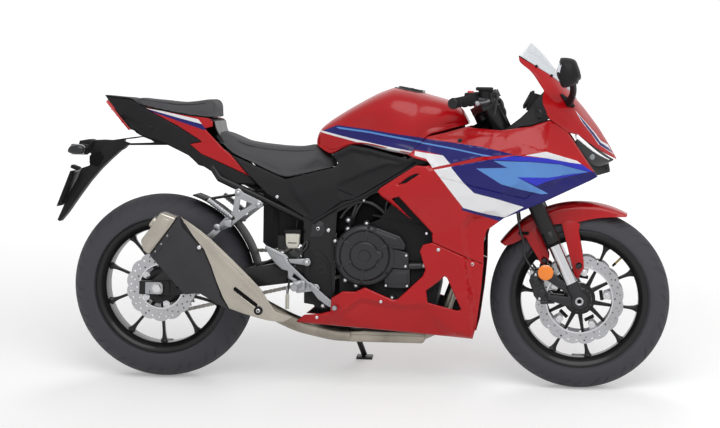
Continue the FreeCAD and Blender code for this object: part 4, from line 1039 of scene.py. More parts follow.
            gap = self.border_distance(spots, [path + path[::-1]])
            depth -= 2.2 * np.clip(1 - gap / 1.5, 0, 1)
        obj = mesh_object(name, [(x, y, z) for (x, z), y in zip(spots, depth)], faces)
        edit = bmesh.new()
        edit.from_mesh(obj.data)
        bmesh.ops.recalc_face_normals(edit, faces=edit.faces)
        if sum(f.normal.y * f.calc_area() for f in edit.faces) < 0:
            bmesh.ops.reverse_faces(edit, faces=edit.faces)
        edit.to_mesh(obj.data)
        edit.free()
        return obj


def decorate(obj: bpy.types.Object, base: Finish, areas: Sequence[tuple[Finish, Sequence[Pair]]],
             lining: Finish | None = None, flank: float = 0.0) -> bpy.types.Object:
    """Paint side-view areas on a skin with crisp borders.

    Args:
        obj: The skin, before it gets its thickness.
        base: Finish of everything else.
        areas: Finishes with their outlines as (x, z), later ones on top.
        lining: Finish of the skin's inside.
        flank: Areas show only where the face is this far from the middle plane.

    Returns:
        The same object.
    """
    finishes = [base]
    obj.data.materials.clear()
    obj.data.materials.append(base.material())
    edit = bmesh.new()
    edit.from_mesh(obj.data)
    for finish, outline in areas:
        if finish not in finishes:
            finishes.append(finish)
            obj.data.materials.append(finish.material())
        index = finishes.index(finish)
        for (x0, z0), (x1, z1) in zip(outline, [*outline[1:], outline[0]]):
            span = Vector((x1 - x0, 0, z1 - z0))
            if span.length < 1e-6:
                continue
            across = Vector((-span.z, 0, span.x)).normalized()
            low = (min(x0, x1) - 14, min(z0, z1) - 14)
            high = (max(x0, x1) + 14, max(z0, z1) + 14)
            near = [f for f in edit.faces if any(
                low[0] < v.co.x < high[0] and low[1] < v.co.z < high[1] for v in f.verts)]
            cut = list({g for f in near for g in (*f.verts, *f.edges, f)})
            if cut:
                bmesh.ops.bisect_plane(edit, geom=cut, dist=0.001, plane_co=(x0, 0, z0), plane_no=across)
        for face in edit.faces:
            middle = face.calc_center_median()
            if abs(middle.y) >= flank and inside((middle.x, middle.z), outline):
                face.material_index = index
    edit.to_mesh(obj.data)
    edit.free()
    if lining:
        obj.data.materials.append(lining.material())
    return obj


def walled(obj: bpy.types.Object, wall: float = 3.0) -> bpy.types.Object:
    """Give a painted skin its wall, the inner face in its last finish.

    Args:
        obj: The skin.
        wall: Thickness, laid on the inside.

    Returns:
        The same object.
    """
    outer = len(obj.data.polygons)
    last = len(obj.data.materials) - 1
    modify(obj, "SOLIDIFY", thickness=wall, offset=-1)
    for polygon in list(obj.data.polygons)[outer:2 * outer]:
        polygon.material_index = last
    return smooth(obj, 42)


# ---------------------------------------------------------------- stage


@dataclass
class Stage:
    """Floor, surrounding white, lamps and camera.

    Args:
        eye: The camera's place in the upright bike's frame.
        look: The point it looks at.
        lens: Focal length in millimetres.
        lamps: Places in the row frame, sizes and powers of the soft lamps.
    """

    eye: Triple = (1400, -7400, 1000)
    look: Triple = (665, 0, 568)
    lens: float = 110.0
    lamps: Sequence[tuple[Triple, float, float]] = (
        ((0.6, -2.6, 3.9), 3.6, 88.0),
        ((-3.6, -3.2, 2.2), 1.6, 28.0),
        ((3.4, -1.6, 1.7), 1.4, 24.0),
        ((0.2, 3.6, 3.2), 2.4, 56.0),
    )

    def build(self) -> None:
        """Set up everything that isn't the bike."""
        self.camera()
        self.lights()
        self.floor()
        self.surroundings()
        bpy.context.scene.view_settings.view_transform = "Standard"

    def camera(self) -> None:
        """Camera to the bike's right, a little above and ahead of it."""
        eye, look = (Place.BIKE.value @ Vector(p) for p in (self.eye, self.look))
        data = bpy.data.cameras.new("camera")
        data.lens = self.lens
        camera = bpy.data.objects.new("camera", data)
        bpy.context.collection.objects.link(camera)
        camera.location = eye
        camera.rotation_euler = (look - eye).to_track_quat("-Z", "Y").to_euler()
        bpy.context.scene.camera = camera

    def lights(self) -> None:
        """Soft lamps, each facing the bike."""
        for number, (place, size, power) in enumerate(self.lamps):
            data = bpy.data.lights.new(f"lamp_{number}", "AREA")
            data.shape = "DISK"
            data.size = size
            data.energy = power
            lamp = bpy.data.objects.new(f"lamp_{number}", data)
            bpy.context.collection.objects.link(lamp)
            lamp.visible_glossy = number == 0
            lamp.location = place
            lamp.rotation_euler = (Vector((0, 0, 0.5)) - Vector(place)).to_track_quat("-Z", "Y").to_euler()

    def floor(self) -> None:
        """Wide pale floor that keeps the bike's shadow."""
        bpy.ops.mesh.primitive_grid_add(x_subdivisions=8, y_subdivisions=8, size=60, location=(0, 0, 0))
        ground = bpy.context.object
        ground.name = "floor"
        made = bpy.data.materials.new("studio_floor")
        made.use_nodes = True
        nodes, links = made.node_tree.nodes, made.node_tree.links
        shader = nodes["Principled BSDF"]
        shader.inputs["Base Color"].default_value = (0.8, 0.8, 0.8, 1)
        shader.inputs["Roughness"].default_value = 0.7
        shader.inputs["Specular IOR Level"].default_value = 0.1
        shader.inputs["Emission Color"].default_value = (1, 1, 1, 1)
        place, far = nodes.new("ShaderNodeTexCoord"), nodes.new("ShaderNodeVectorMath")
        far.operation = "LENGTH"
        links.new(place.outputs["Object"], far.inputs[0])
        level, share = nodes.new("ShaderNodeMapRange"), nodes.new("ShaderNodeMath")
        for label, value in (("From Min", 1.4), ("From Max", 5.5), ("To Min", 0.25), ("To Max", 0.66)):
            level.inputs[label].default_value = value
        links.new(far.outputs["Value"], level.inputs["Value"])
        share.operation = "MULTIPLY"
        links.new(self.seen(made.node_tree), share.inputs[0])
        links.new(level.outputs["Result"], share.inputs[1])
        links.new(share.outputs[0], shader.inputs["Emission Strength"])
        dress_with(ground, made)

    def surroundings(self) -> None:
        """White all round for the eye and for reflections, softer as light."""
        world = bpy.data.worlds.new("studio")
        bpy.context.scene.world = world
        world.use_nodes = True
        nodes, links = world.node_tree.nodes, world.node_tree.links
        strength = nodes.new("ShaderNodeMapRange")
        links.new(self.seen(world.node_tree), strength.inputs["Value"])
        strength.inputs["To Min"].default_value = 0.42
        strength.inputs["To Max"].default_value = 1.0
        background = nodes["Background"]
        background.inputs["Color"].default_value = (1, 1, 1, 1)
        links.new(strength.outputs["Result"], background.inputs["Strength"])

    def seen(self, tree: bpy.types.NodeTree) -> bpy.types.NodeSocket:
        """Switch that is 1 for what the eye, a mirror or a glass shows.

        Args:
            tree: The node tree that gets the switch.

        Returns:
            The switch's output.
        """
        path = tree.nodes.new("ShaderNodeLightPath")
        socket = path.outputs["Is Camera Ray"]
        for kind in ("Is Glossy Ray", "Is Transmission Ray"):
            either = tree.nodes.new("ShaderNodeMath")
            either.operation = "MAXIMUM"
            tree.links.new(socket, either.inputs[0])
            tree.links.new(path.outputs[kind], either.inputs[1])
            socket = either.outputs[0]
        return socket


def dress_with(obj: bpy.types.Object, material: bpy.types.Material) -> None:
    """Give an object a single material.

    Args:
        obj: The object.
        material: The material.
    """
    obj.data.materials.clear()
    obj.data.materials.append(material)


# ---------------------------------------------------------------- side bodywork


@dataclass
class SideFairings:
    """Side panels from the beams to the radiator, with their stripes.

    Args:
        outline: The panel's corners as (x, z, y).
        ridges: Crease lines that shape it.
        holes: Outlines of openings.
        groove: Seam pressed into the face.
        bolts: Fasteners as (x, z, radius).
    """

    outline: Sequence[Triple] = (
        (742, 655, 205), (752, 668, 208), (868, 744, 216), (893, 742, 222), (918, 745, 216),
        (905, 757, 212), (862, 766, 206), (840, 777, 200), (854, 790, 196), (870, 803, 192),
        (901, 838, 186), (960, 852, 180), (1029, 872, 172), (1062, 868, 174), (1144, 863, 186),
        (1242, 878, 184), (1301, 898, 166), (1361, 860, 158), (1461, 716, 150), (1439, 703, 146),
        (1275, 624, 168), (1157, 574, 178), (1102, 533, 176), (1093, 497, 172), (1093, 420, 166),
        (1044, 439, 170), (1030, 446, 192), (925, 491, 194), (923, 514, 195), (912, 522, 196),
        (751, 642, 205),
    )
    ridges: Sequence[Sequence[Triple]] = (
        ((757, 640, 212), (925, 730, 226), (1081, 763, 232), (1211, 786, 232), (1295, 797, 218)),
        ((930, 742, 208), (1081, 776, 214), (1205, 799, 218)),
        ((905, 838, 190), (1045, 840, 190), (1160, 846, 200)),
        ((905, 832, 196), (1000, 826, 200), (1045, 812, 208), (1150, 797, 220)),
        ((1163, 843, 204), (1205, 822, 214), (1290, 796, 222), (1340, 780, 212), (1440, 745, 170)),
        ((1245, 660, 192), (1281, 692, 190), (1312, 698, 186), (1352, 722, 176), (1445, 731, 158)),
        ((1240, 650, 180), (1283, 679, 178), (1312, 684, 174), (1352, 710, 164), (1440, 716, 152)),
        ((1130, 600, 200), (1042, 585, 200), (1016, 548, 198), (1022, 500, 196), (1030, 452, 193)),
        ((1140, 580, 180), (1062, 572, 176), (1040, 545, 172), (1044, 500, 170), (1050, 446, 168)),
        ((800, 620, 214), (960, 640, 216), (1130, 650, 216), (1215, 700, 218)),
    )
    holes: Sequence[Sequence[Pair]] = (
        ((790, 632), (812, 640), (925, 520), (918, 506), (905, 512)),
        ((812, 680), (836, 686), (880, 716), (866, 716), (840, 703)),
    )
    groove: Sequence[Pair] = ((945, 707), (1058, 679), (1227, 640), (1245, 655))
    bolts: Sequence[Triple] = ((945, 467, 7), (1056, 420, 7), (905, 520, 5))

    def stripes(self) -> list[tuple[Finish, Sequence[Pair]]]:
        """Painted areas, from the lowest layer up.

        Returns:
            Finishes with their outlines, later ones on top.
        """
        ridge = [p[:2] for p in self.ridges[0][1:]]
        return [
            (NAVY, [(1020, 600), (1025, 690), (985, 738), (985, 745), (955, 778), (900, 790), (818, 800),
                    (818, 842), (900, 831), (1080, 809), (1200, 783), (1240, 778), (1400, 752),
                    (1480, 718), (1439, 690), (1275, 610), (1157, 560)]),
            (SKY, [(818, 829), (900, 818), (1000, 801), (1080, 785), (1120, 779), (1120, 774), (1080, 780),
                   (1000, 796), (900, 813), (818, 824)]),
            (WHITE, [(862, 790), (955, 778), (985, 745), (985, 738), (1025, 690), (1060, 657), (1130, 640),
                     (1222, 612), (1160, 577), (1100, 588), (1025, 607), (930, 728), (922, 738), (900, 766),
                     (862, 776)]),
            (BLUE, [(1120, 768), (1167, 779), (1228, 780), (1297, 775), (1370, 762), (1408, 757), (1443, 733),
                    (1433, 731), (1337, 757), (1240, 764)]),
            (SKY, [(1066, 738), (1168, 742), (1122, 764), (1240, 762), (1337, 755), (1430, 731), (1367, 722),
                   (1298, 711), (1199, 712), (1301, 658), (1279, 656), (1210, 671), (1148, 688)]),
            (BLUE, [(1199, 712), (1298, 711), (1367, 722), (1430, 731), (1300, 700), (1262, 684)]),
            (WHITE, [(1224, 784), (1292, 797), (1392, 768), (1408, 757), (1370, 762), (1297, 775)]),
            (RED, [(757, 648), (921, 735), *ridge, (1235, 790), (1200, 786), (1080, 776), (985, 752),
                   (925, 738), (757, 652)]),
        ]

    def build(self) -> None:
        """Both sides, each with its fasteners."""
        sheet = Sheet(self.outline, self.ridges, self.holes, (self.groove,))
        panel = sheet.build("side_fairing")
        decorate(panel, RED, self.stripes(), lining=MATT_BLACK, flank=60)
        walled(panel)
        parts = [panel]
        for x, z, radius in self.bolts:
            depth = float(sheet.depth_at(np.array([[x, z]]))[0])
            parts.append(dress(button(f"fastener_{x}", (x, depth, z), (0, 1, 0), radius), BOLT))
        # Black sheet behind the upper opening: painted shade standing in for the dark inside of the fairing.
        lining = [(784, 660), (796, 700), (870, 736), (900, 724), (890, 690), (830, 660)]
        parts.append(dress(slab("hole_lining", lining, -150, -146, 1), MATT_BLACK))
        whole = joined("side_fairings_dressed", parts)
        deliver(with_mirror(whole), "bike", replaces=["side_fairings"])


@dataclass
class Belly:
    """Lower cowl on each side, red, over the black belly.

    Args:
        outline: The panel's corners as (x, z, y).
        ridges: Crease lines that shape it.
        holes: Outlines of openings.
        bolts: Fasteners as (x, z, radius).
    """

    outline: Sequence[Triple] = (
        (829, 188, 152), (604, 203, 156), (468, 211, 150), (499, 237, 160), (552, 242, 166),
        (588, 253, 170), (591, 297, 182), (630, 321, 184), (672, 321, 184), (703, 336, 185),
        (797, 297, 184), (813, 300, 184), (894, 378, 186), (902, 399, 187), (883, 461, 190),
        (894, 482, 192), (925, 490, 194), (1030, 445, 192), (1044, 438, 170), (1093, 419, 166),
        (1086, 330, 160), (1072, 215, 146), (1060, 168, 132), (960, 176, 136),
    )
    ridges: Sequence[Sequence[Triple]] = (
        (
            (600, 232, 178), (625, 250, 182), (690, 300, 186), (745, 292, 186), (835, 281, 186),
            (905, 290, 188),
        ),
        (
            (605, 214, 168), (625, 236, 172), (690, 286, 174), (745, 278, 174), (835, 265, 174),
            (905, 270, 176),
        ),
        ((1030, 444, 193), (1042, 330, 190), (1060, 185, 150)),
        ((1052, 440, 168), (1060, 330, 162), (1068, 200, 142)),
        ((905, 390, 188), (985, 300, 188), (1000, 190, 160)),
    )
    holes: Sequence[Sequence[Pair]] = (
        ((906, 330), (940, 356), (966, 379), (975, 374), (1022, 270), (1010, 265), (912, 291)),
    )
    bolts: Sequence[Triple] = ((542, 230, 6), (757, 290, 6), (945, 467, 6))

    def build(self) -> None:
        """Both sides with their bolts."""
        sheet = Sheet(self.outline, self.ridges, self.holes)
        panel = sheet.build("belly_side")
        decorate(panel, RED, [], lining=MATT_BLACK)
        walled(panel)
        parts = [panel]
        for x, z, radius in self.bolts:
            depth = float(sheet.depth_at(np.array([[x, z]]))[0])
            parts.append(dress(button(f"belly_bolt_{x}", (x, depth, z), (0, 1, 0), radius), BOLT))
        whole = with_mirror(joined("belly_dressed", parts))
        deliver(whole, "bike", replaces=["belly_cowls"])


def button(name: str, place: Triple, axis: Triple, radius: float) -> bpy.types.Object:
    """Button-head screw with a six-sided socket.

    Args:
        name: Name of the object.
        place: Where it sits.
        axis: Where it points.
        radius: Radius of its head.

    Returns:
        The fastener.
    """
    height = radius * 0.7
    profile = [
        (0, -0.5 * height), (radius, -0.5 * height), (radius, height * 0.3), (radius * 0.75, height * 0.8),
        (radius * 0.5, height), (radius * 0.45, height), (radius * 0.4, height * 0.3), (0, height * 0.3),
    ]
    return lathe(name, profile, place, axis, steps=12)


# ---------------------------------------------------------------- tank, seats and tail


def onto(obj: bpy.types.Object, points: Sequence[Pair], side: int = 1, lift: float = 0.0) -> list[Triple]:
    """Points of a side-view line laid on an object's flank.

    Args:
        obj: The object, its mesh in millimetres.
        points: The line as (x, z).
        side: 1 for the left flank and -1 for the right.
        lift: Distance outside the skin.

    Returns:
        The points that hit the object.
    """
    bpy.context.view_layer.update()
    found = []
    for x, z in points:
        hit, spot, _, _ = obj.ray_cast(Vector((x, side * 600, z)), Vector((0, -side, 0)))
        if hit:
            found.append((spot.x, spot.y + side * lift, spot.z))
    return found


@dataclass
class Tank:
    """Fuel tank with its knee hollows and stripe, and the lock cap's seat.

    Args:
        stations: Sections as (x, lowest z, highest z, half width, width share at the knee).
        shape: Points up a section as (share of half width, share of height).
        band: Outline of the navy band.
        white: Outline of the white band.
        line: Outline of the light blue line.
    """

    stations: Sequence[tuple[float, float, float, float, float]] = (
        (520, 806, 824, 46, 1.0), (525, 798, 842, 58, 1.0), (538, 789, 862, 70, 1.0),
        (572, 772, 889, 84, 0.97), (612, 790, 915, 98, 0.92), (650, 803, 938, 110, 0.86),
        (700, 801, 966, 124, 0.85), (740, 793, 985, 131, 0.91), (782, 785, 998, 136, 0.98),
        (830, 776, 993, 137.5, 1.0), (856, 770, 987, 137.5, 1.0), (876, 806, 982, 137, 1.0),
        (902, 838, 975, 136, 1.0), (940, 851, 965, 131, 1.0), (975, 862, 953, 114, 1.0),
        (1004, 871, 931, 92, 1.0), (1020, 876, 908, 76, 1.0), (1030, 880, 889, 62, 1.0),
    )
    shape: Sequence[tuple[float, float]] = (
        (0.95, 0.0), (0.985, 0.18), (1.0, 0.36), (0.99, 0.54), (0.94, 0.7), (0.8, 0.85), (0.55, 0.945),
        (0.27, 0.985), (0.0, 1.0),
    )
    band: Sequence[Pair] = (
        (538, 848), (592, 869), (700, 857), (800, 843), (906, 830), (906, 780), (700, 800),
    )
    white: Sequence[Pair] = (
        (533, 851), (650, 824), (760, 803), (906, 778), (906, 766), (855, 774), (760, 789), (650, 816),
        (532, 845),
    )
    line: Sequence[Pair] = (
        (588, 862), (600, 863), (700, 851), (906, 817), (906, 811), (700, 845), (600, 857),
    )

    def build(self) -> None:
        """Skin, ring and pull edge."""
        rows = []
        for x, low, high, half, knee in self.stations:
            left = []
            for index, (wide, tall) in enumerate(self.shape):
                pinch = 1 - (1 - knee) * (0.85, 1.0, 0.95, 0.6, 0.15, 0, 0, 0, 0)[index]
                left.append((x, half * wide * pinch, low + (high - low) * tall))
            rows.append([(x, 0, low), *left, *[(x, -y, z) for _, y, z in reversed(left[:-1])]])
        body = loft("tank_skin", rows, along=4, across=4, ring=True, caps=True)
        decorate(body, RED, [(NAVY, self.band), (WHITE, self.white), (SKY, self.line)], flank=40)
        smooth(body, 60)
        seam = [(545, 800), (572, 784), (612, 800), (650, 812), (700, 810), (782, 793), (846, 781)]
        hems = [dress(tube("tank_hem", onto(body, seam, side, 0.4), 2.0, 2, 4), RED) for side in (1, -1)]
        crown = cap_place()
        ring = lathe(
            "cap_ring", [(43.5, -6), (43.5, 0.4), (50, 1.2), (55, -0.4), (56, -8)], steps=64, closed=True,
            axis=(0, 0, 1),
        )
        ring.data.transform(crown)
        deliver(joined("fuel_tank_dressed", [body, *hems, dress(smooth(ring), CAST_BLACK)]), "bike",
                replaces=["fuel_tank"])


def cap_place() -> Matrix:
    """Middle of the cap's seat on the tank's crown, tilted with it.

    Returns:
        The matrix of the cap's middle and tilt.
    """
    rear, lead = Vector((782, 0, 998)), Vector((895.9, 0, 977))
    spot = rear.lerp(lead, 0.42) + Vector((0, 0, 0.4))
    return Matrix.Translation(spot) @ Matrix.Rotation(math.atan2(rear.z - lead.z, lead.x - rear.x), 4, "Y")


@dataclass
class Cap:
    """Lockable filler cap with its flap, screws and hinge.

    Args:
        radius: Radius of the lid.
    """

    radius: float = 42.0

    def build(self) -> None:
        """Lid, screws, flap and hinge on the cap's body."""
        top = 7.0
        lid = lathe(
            "lid",
            [
                (0, 0), (self.radius - 1, 0), (self.radius, 1), (self.radius, top - 2),
                (self.radius - 2, top), (self.radius - 9, top), (self.radius - 10, top - 1.2),
                (0, top - 1.2),
            ],
            axis=(0, 0, 1), steps=64,
        )
        parts = [dress(lid, CAST_BLACK)]
        for x, y in circle(self.radius - 5, 6, start=0.4):
            parts.append(dress(button("cap_screw", (x, y, top), (0, 0, 1), 2.8), BOLT))
        parts.append(dress(block("key_flap", (-14, -9, top - 2), (12, 9, top + 1), 1.2), SATIN_BLACK))
        parts.append(dress(rod("cap_hinge", (45, -13, 5), (45, 13, 5), 4.4), STEEL))
        parts.append(dress(block("hinge_lug", (34, -11, 1.5), (46, 11, 8), 1.2), CAST_BLACK))
        whole = joined("fuel_cap_dressed", parts)
        whole.data.transform(cap_place())
        deliver(whole, "fuel_cap", replaces=["fuel_cap"])


def plump(obj: bpy.types.Object, cap: float, voxel: float = 5.0) -> bpy.types.Object:
    """Swell a pad's upper skin with a short cloth simulation.

    Args:
        obj: The pad, in millimetres.
        cap: Furthest that a point may move.
        voxel: Size of the remeshed faces.

    Returns:
        The swollen pad, once subdivided.
    """
    choose(obj)
    obj.data.transform(Matrix.Scale(METRES, 4))
    obj.data.remesh_voxel_size = voxel / 1000
    bpy.ops.object.voxel_remesh()
    rest = np.empty(len(obj.data.vertices) * 3)
    obj.data.vertices.foreach_get("co", rest)
    rest = rest.reshape(-1, 3)
    lift = np.array([max(0.0, min(1.0, 0.6 + v.normal.z)) for v in obj.data.vertices])
    cloth = obj.modifiers.new("Swell", "CLOTH")
    cloth.settings.use_pressure = True
    cloth.settings.uniform_pressure_force = 4
    cloth.settings.effector_weights.gravity = 0
    for step in range(1, 21):
        bpy.context.scene.frame_set(step)
    seen = obj.evaluated_get(bpy.context.evaluated_depsgraph_get())
    moved = np.empty(len(rest) * 3)
    seen.data.vertices.foreach_get("co", moved)
    obj.modifiers.remove(cloth)
    bpy.context.scene.frame_set(1)
    step = moved.reshape(-1, 3) - rest
    far = np.maximum(np.linalg.norm(step, axis=1), 1e-9)
    step *= (np.minimum(far, cap / 1000) / far * lift)[:, None]
    obj.data.vertices.foreach_set("co", (rest + step).ravel())
    obj.data.update()
    obj.data.transform(Matrix.Scale(1000, 4))
    modify(obj, "SMOOTH", factor=0.5, iterations=4)
    modify(obj, "SUBSURF", levels=1, render_levels=1)
    return smooth(obj, 80)


@dataclass
class Seats:
    """Rider's seat and passenger pad, each a swollen vinyl cover with piping.

    Args:
        rider: Sections as (x, lowest z, highest z, half width at the foot, half width at the top).
        passenger: The same for the passenger's pad.
    """

    rider: Sequence[tuple[float, float, float, float, float]] = (
        (184, 826, 842, 92, 80), (192, 815, 843, 98, 84), (217, 792, 835, 104, 88),
        (250, 766, 822, 112, 92), (282, 752, 809, 116, 94), (330, 730, 801, 118, 96),
        (380, 707, 796, 118, 95), (422, 692, 793, 117, 92), (468, 700, 793, 110, 84),
        (503, 708, 800, 98, 74), (519, 712, 799, 92, 68), (548, 720, 781, 82, 60), (572, 726, 763, 72, 54),
        (582, 731, 748, 64, 48),
    )
    passenger: Sequence[tuple[float, float, float, float, float]] = (
        (-98, 940, 951, 58, 48), (-88, 930, 950, 68, 56), (-60, 922, 946, 78, 66), (0, 911, 941, 90, 76),
        (60, 900, 936, 98, 84), (110, 893, 940, 101, 88), (148, 889, 946, 101, 88), (170, 888, 946, 100, 86),
        (181, 890, 935, 96, 80),
    )

    @staticmethod
    def pad(
        name: str, stations: Sequence[tuple[float, float, float, float, float]], inset: float,
    ) -> bpy.types.Object:
        """Closed pad through its sections, slightly smaller than when swollen.

        Args:
            name: Name of the object.
            stations: Sections as (x, lowest z, highest z, half width below, half width on top).
            inset: How far the top stays below the finished height.

        Returns:
            The closed form.
        """
        rows = []
        for x, low, high, foot, top in stations:
            tall = high - low
            rise = high - inset
            left = [
                (x, foot * 0.97, low), (x, foot, low + tall * 0.12),
                (x, foot * 0.7 + top * 0.3, low + tall * 0.5), (x, top, rise - tall * 0.14),
                (x, top * 0.86, rise - tall * 0.03), (x, top * 0.5, rise + 0.5),
            ]
            rows.append([(x, 0, low), *left, (x, 0, rise), *[(x, -y, z) for _, y, z in reversed(left)]])
        return loft(name, rows, along=3, across=3, ring=True, caps=True)

    def build(self) -> None:
        """Both pads with their seams."""
        covers = (
            (
                "rider_seat", self.rider, 4.0, "rider_seat",
                [
                    (196, 836), (230, 821), (282, 799), (330, 789), (380, 783), (430, 780), (480, 780),
                    (515, 783),
                ],
            ),
            (
                "passenger_seat", self.passenger, 3.0, "passenger_seat",
                [(-84, 945), (-50, 940), (0, 934), (60, 928), (110, 930), (150, 935), (172, 936)],
            ),
        )
        for name, stations, cap, node, seam in covers:
            pad = plump(self.pad(name, stations, cap * 0.6), cap)
            parts = [dress(pad, VINYL)]
            for side in (1, -1):
                line = onto(pad, seam, side, 0.2)
                if len(line) > 3:
                    parts.append(dress(tube("piping", line, 1.1, 2, 6), MATT_BLACK))
            cover = deliver(joined(f"{name}_cover", parts), "bike", replaces=[node])


@dataclass
class SideCovers:
    """Black covers under the tank, with a raised rim and ribs.

    Args:
        outline: The cover's corners as (x, z, y).
        ridges: Crease lines that shape it.
        beam: Lower edge as (x, z, y).
    """

    outline: Sequence[Triple] = (
        (579, 771, 128), (644, 805, 128), (709, 794, 134), (838, 761, 148), (866, 752, 150), (658, 623, 150),
        (621, 618, 150), (524, 546, 150), (367, 637, 150), (311, 692, 148), (242, 766, 138), (427, 687, 140),
        (589, 729, 136), (602, 743, 132),
    )
    ridges: Sequence[Sequence[Triple]] = (
        ((584, 762, 134), (644, 793, 134), (709, 783, 140), (832, 752, 150)),
        ((592, 752, 127), (644, 781, 127), (709, 772, 132), (800, 750, 142)),
        ((604, 675, 150), (700, 720, 151), (770, 749, 150), (812, 744, 150)),
        ((606, 668, 144), (702, 712, 144), (772, 742, 145), (806, 736, 146)),
        ((596, 672, 150), (618, 616, 151)),
        ((466, 634, 151), (514, 577, 151)),
        ((460, 628, 146), (508, 571, 146)),
    )
    beam: Sequence[Triple] = (
        (520, 543, 151), (621, 612, 153), (660, 618, 153), (760, 680, 152), (868, 745, 150),
    )

    def build(self) -> None:
        """Covers on both sides with the bright lower edge."""
        sheet = Sheet(self.outline, self.ridges, grooves=([(610, 655), (650, 640)],), lip=4, pitch=9)
        panel = decorate(sheet.build("side_cover"), MATT_BLACK, [], lining=BLACK_AND_SHADE)
        walled(panel)
        edge = dress(tube("cover_edge", [(x, y - 3, z) for x, z, y in self.beam], 4.5, 3, 8), SATIN_BLACK)
        screw = dress(button("cover_screw", (402, 151, 628), (0, 1, 0), 7), BOLT)
        deliver(with_mirror(joined("side_covers_dressed", [panel, edge, screw])), "bike",
                replaces=["side_covers"])


@dataclass
class Tail:
    """Tail cowl: painted flanks over a black undertray, with the tip and its lid.

    Args:
        flank: Corners of the painted flank as (x, z, y).
        crease: Crease lines of the flank.
        under: Corners of the undertray as (x, z, y).
        folds: Crease lines of the undertray.
    """

    flank: Sequence[Triple] = (
        (-68, 921, 88), (56, 898, 108), (162, 885, 126), (178, 880, 129), (178, 858, 131), (152, 850, 129),
        (214, 786, 134), (246, 762, 134), (306, 694, 137), (235, 725, 134), (165, 755, 128), (140, 765, 125),
        (100, 797, 118), (112, 800, 120), (140, 805, 124), (130, 814, 122), (60, 855, 110), (-40, 905, 92),
    )
    crease: Sequence[Sequence[Triple]] = (
        ((-55, 916, 90), (128, 876, 124), (152, 850, 132), (190, 812, 136), (250, 752, 137)),
        ((-20, 900, 94), (60, 868, 110), (130, 845, 122)),
    )
    under: Sequence[Triple] = (
        (-207, 955, 40), (-104, 945, 78), (-88, 930, 84), (-68, 921, 88), (-40, 905, 90), (60, 855, 108),
        (130, 814, 120), (140, 805, 122), (112, 800, 118), (100, 797, 116), (140, 765, 123), (165, 755, 126),
        (235, 725, 132), (306, 694, 135), (330, 668, 136), (250, 668, 134), (150, 722, 122), (130, 727, 118),
        (95, 758, 110), (15, 795, 100), (-75, 822, 84), (-98, 840, 76), (-115, 842, 66), (-118, 850, 62),
        (-190, 930, 42),
    )
    folds: Sequence[Sequence[Triple]] = (
        ((-200, 948, 46), (-110, 930, 82), (-60, 908, 92), (60, 850, 110)),
        ((-150, 895, 66), (-60, 858, 90), (40, 810, 106), (100, 780, 116)),
        ((-140, 880, 54), (-100, 846, 72), (-60, 832, 84)),
    )

    def build(self) -> None:
        """Both flanks, undertray, top deck and fasteners."""
        flank = Sheet(self.flank, self.crease, lip=4, pitch=7).build("tail_flank")
        areas = [
            (NAVY, [(-50, 911), (140, 866), (156, 849), (150, 845), (-45, 906)]),
            (WHITE, [(-66, 920), (-30, 912), (128, 881), (142, 865), (60, 884), (-50, 912)]),
        ]
        decorate(flank, RED, areas, lining=MATT_BLACK)
        walled(flank, 2.5)
        under = Sheet(self.under, self.folds, lip=4, pitch=9).build("tail_under")
        tray = walled(decorate(under, MATT_BLACK, [], lining=BLACK_AND_SHADE), 2.5)
        tray.data.transform(Matrix.Translation((0, -1.5, 0)))
        bolt = dress(button("tail_bolt", (-36, 91, 852), (0.1, 1, 0), 9), SATIN_BLACK)
        deck_rows = [
            [(-207, y, 955.5 - abs(y) * 0.01) for y in (-40, -20, 0, 20, 40)],
            [(-160, y, 951.5 - abs(y) * 0.01) for y in (-60, -30, 0, 30, 60)],
            [(-104, y, 946 - abs(y) * 0.02) for y in (-80, -40, 0, 40, 80)],
            [(-70, y, 921 - abs(y) * 0.01) for y in (-88, -44, 0, 44, 88)],
            [(60, y, 898) for y in (-108, -54, 0, 54, 108)],
            [(178, y, 878) for y in (-129, -64, 0, 64, 129)],
        ]
        deck = loft("tail_deck", deck_rows, along=4, across=3)
        modify(deck, "SOLIDIFY", thickness=3, offset=0)
        nose = [
            [(182, y, 876) for y in (-120, -60, 0, 60, 120)],
            [(190, y, 845) for y in (-112, -56, 0, 56, 112)],
            [(214, y, 800) for y in (-100, -50, 0, 50, 100)],
        ]
        front = modify(loft("tail_front", nose, along=4, across=3), "SOLIDIFY", thickness=3, offset=0)
        floor_rows = [
            [(x, y, z) for y in (-w, -w / 2, 0, w / 2, w)]
            for x, z, w in (
                (-190, 930, 40), (-118, 850, 62), (-98, 840, 76), (-75, 824, 84), (15, 797, 99),
                (95, 760, 109), (130, 729, 117), (150, 724, 121), (250, 670, 133), (330, 668, 134),
            )
        ]
        floor = modify(loft("tail_floor", floor_rows, along=2, across=2), "SOLIDIFY", thickness=3, offset=0)
        sides = with_mirror(joined("tail_sides", [flank, tray, bolt]))
        parts = [sides, dress(smooth(deck), MATT_BLACK), dress(smooth(front), SATIN_BLACK),
                 dress(smooth(floor), BLACK_AND_SHADE)]
        deliver(joined("tail_cowl_dressed", parts), "bike", replaces=["tail_cowl"])


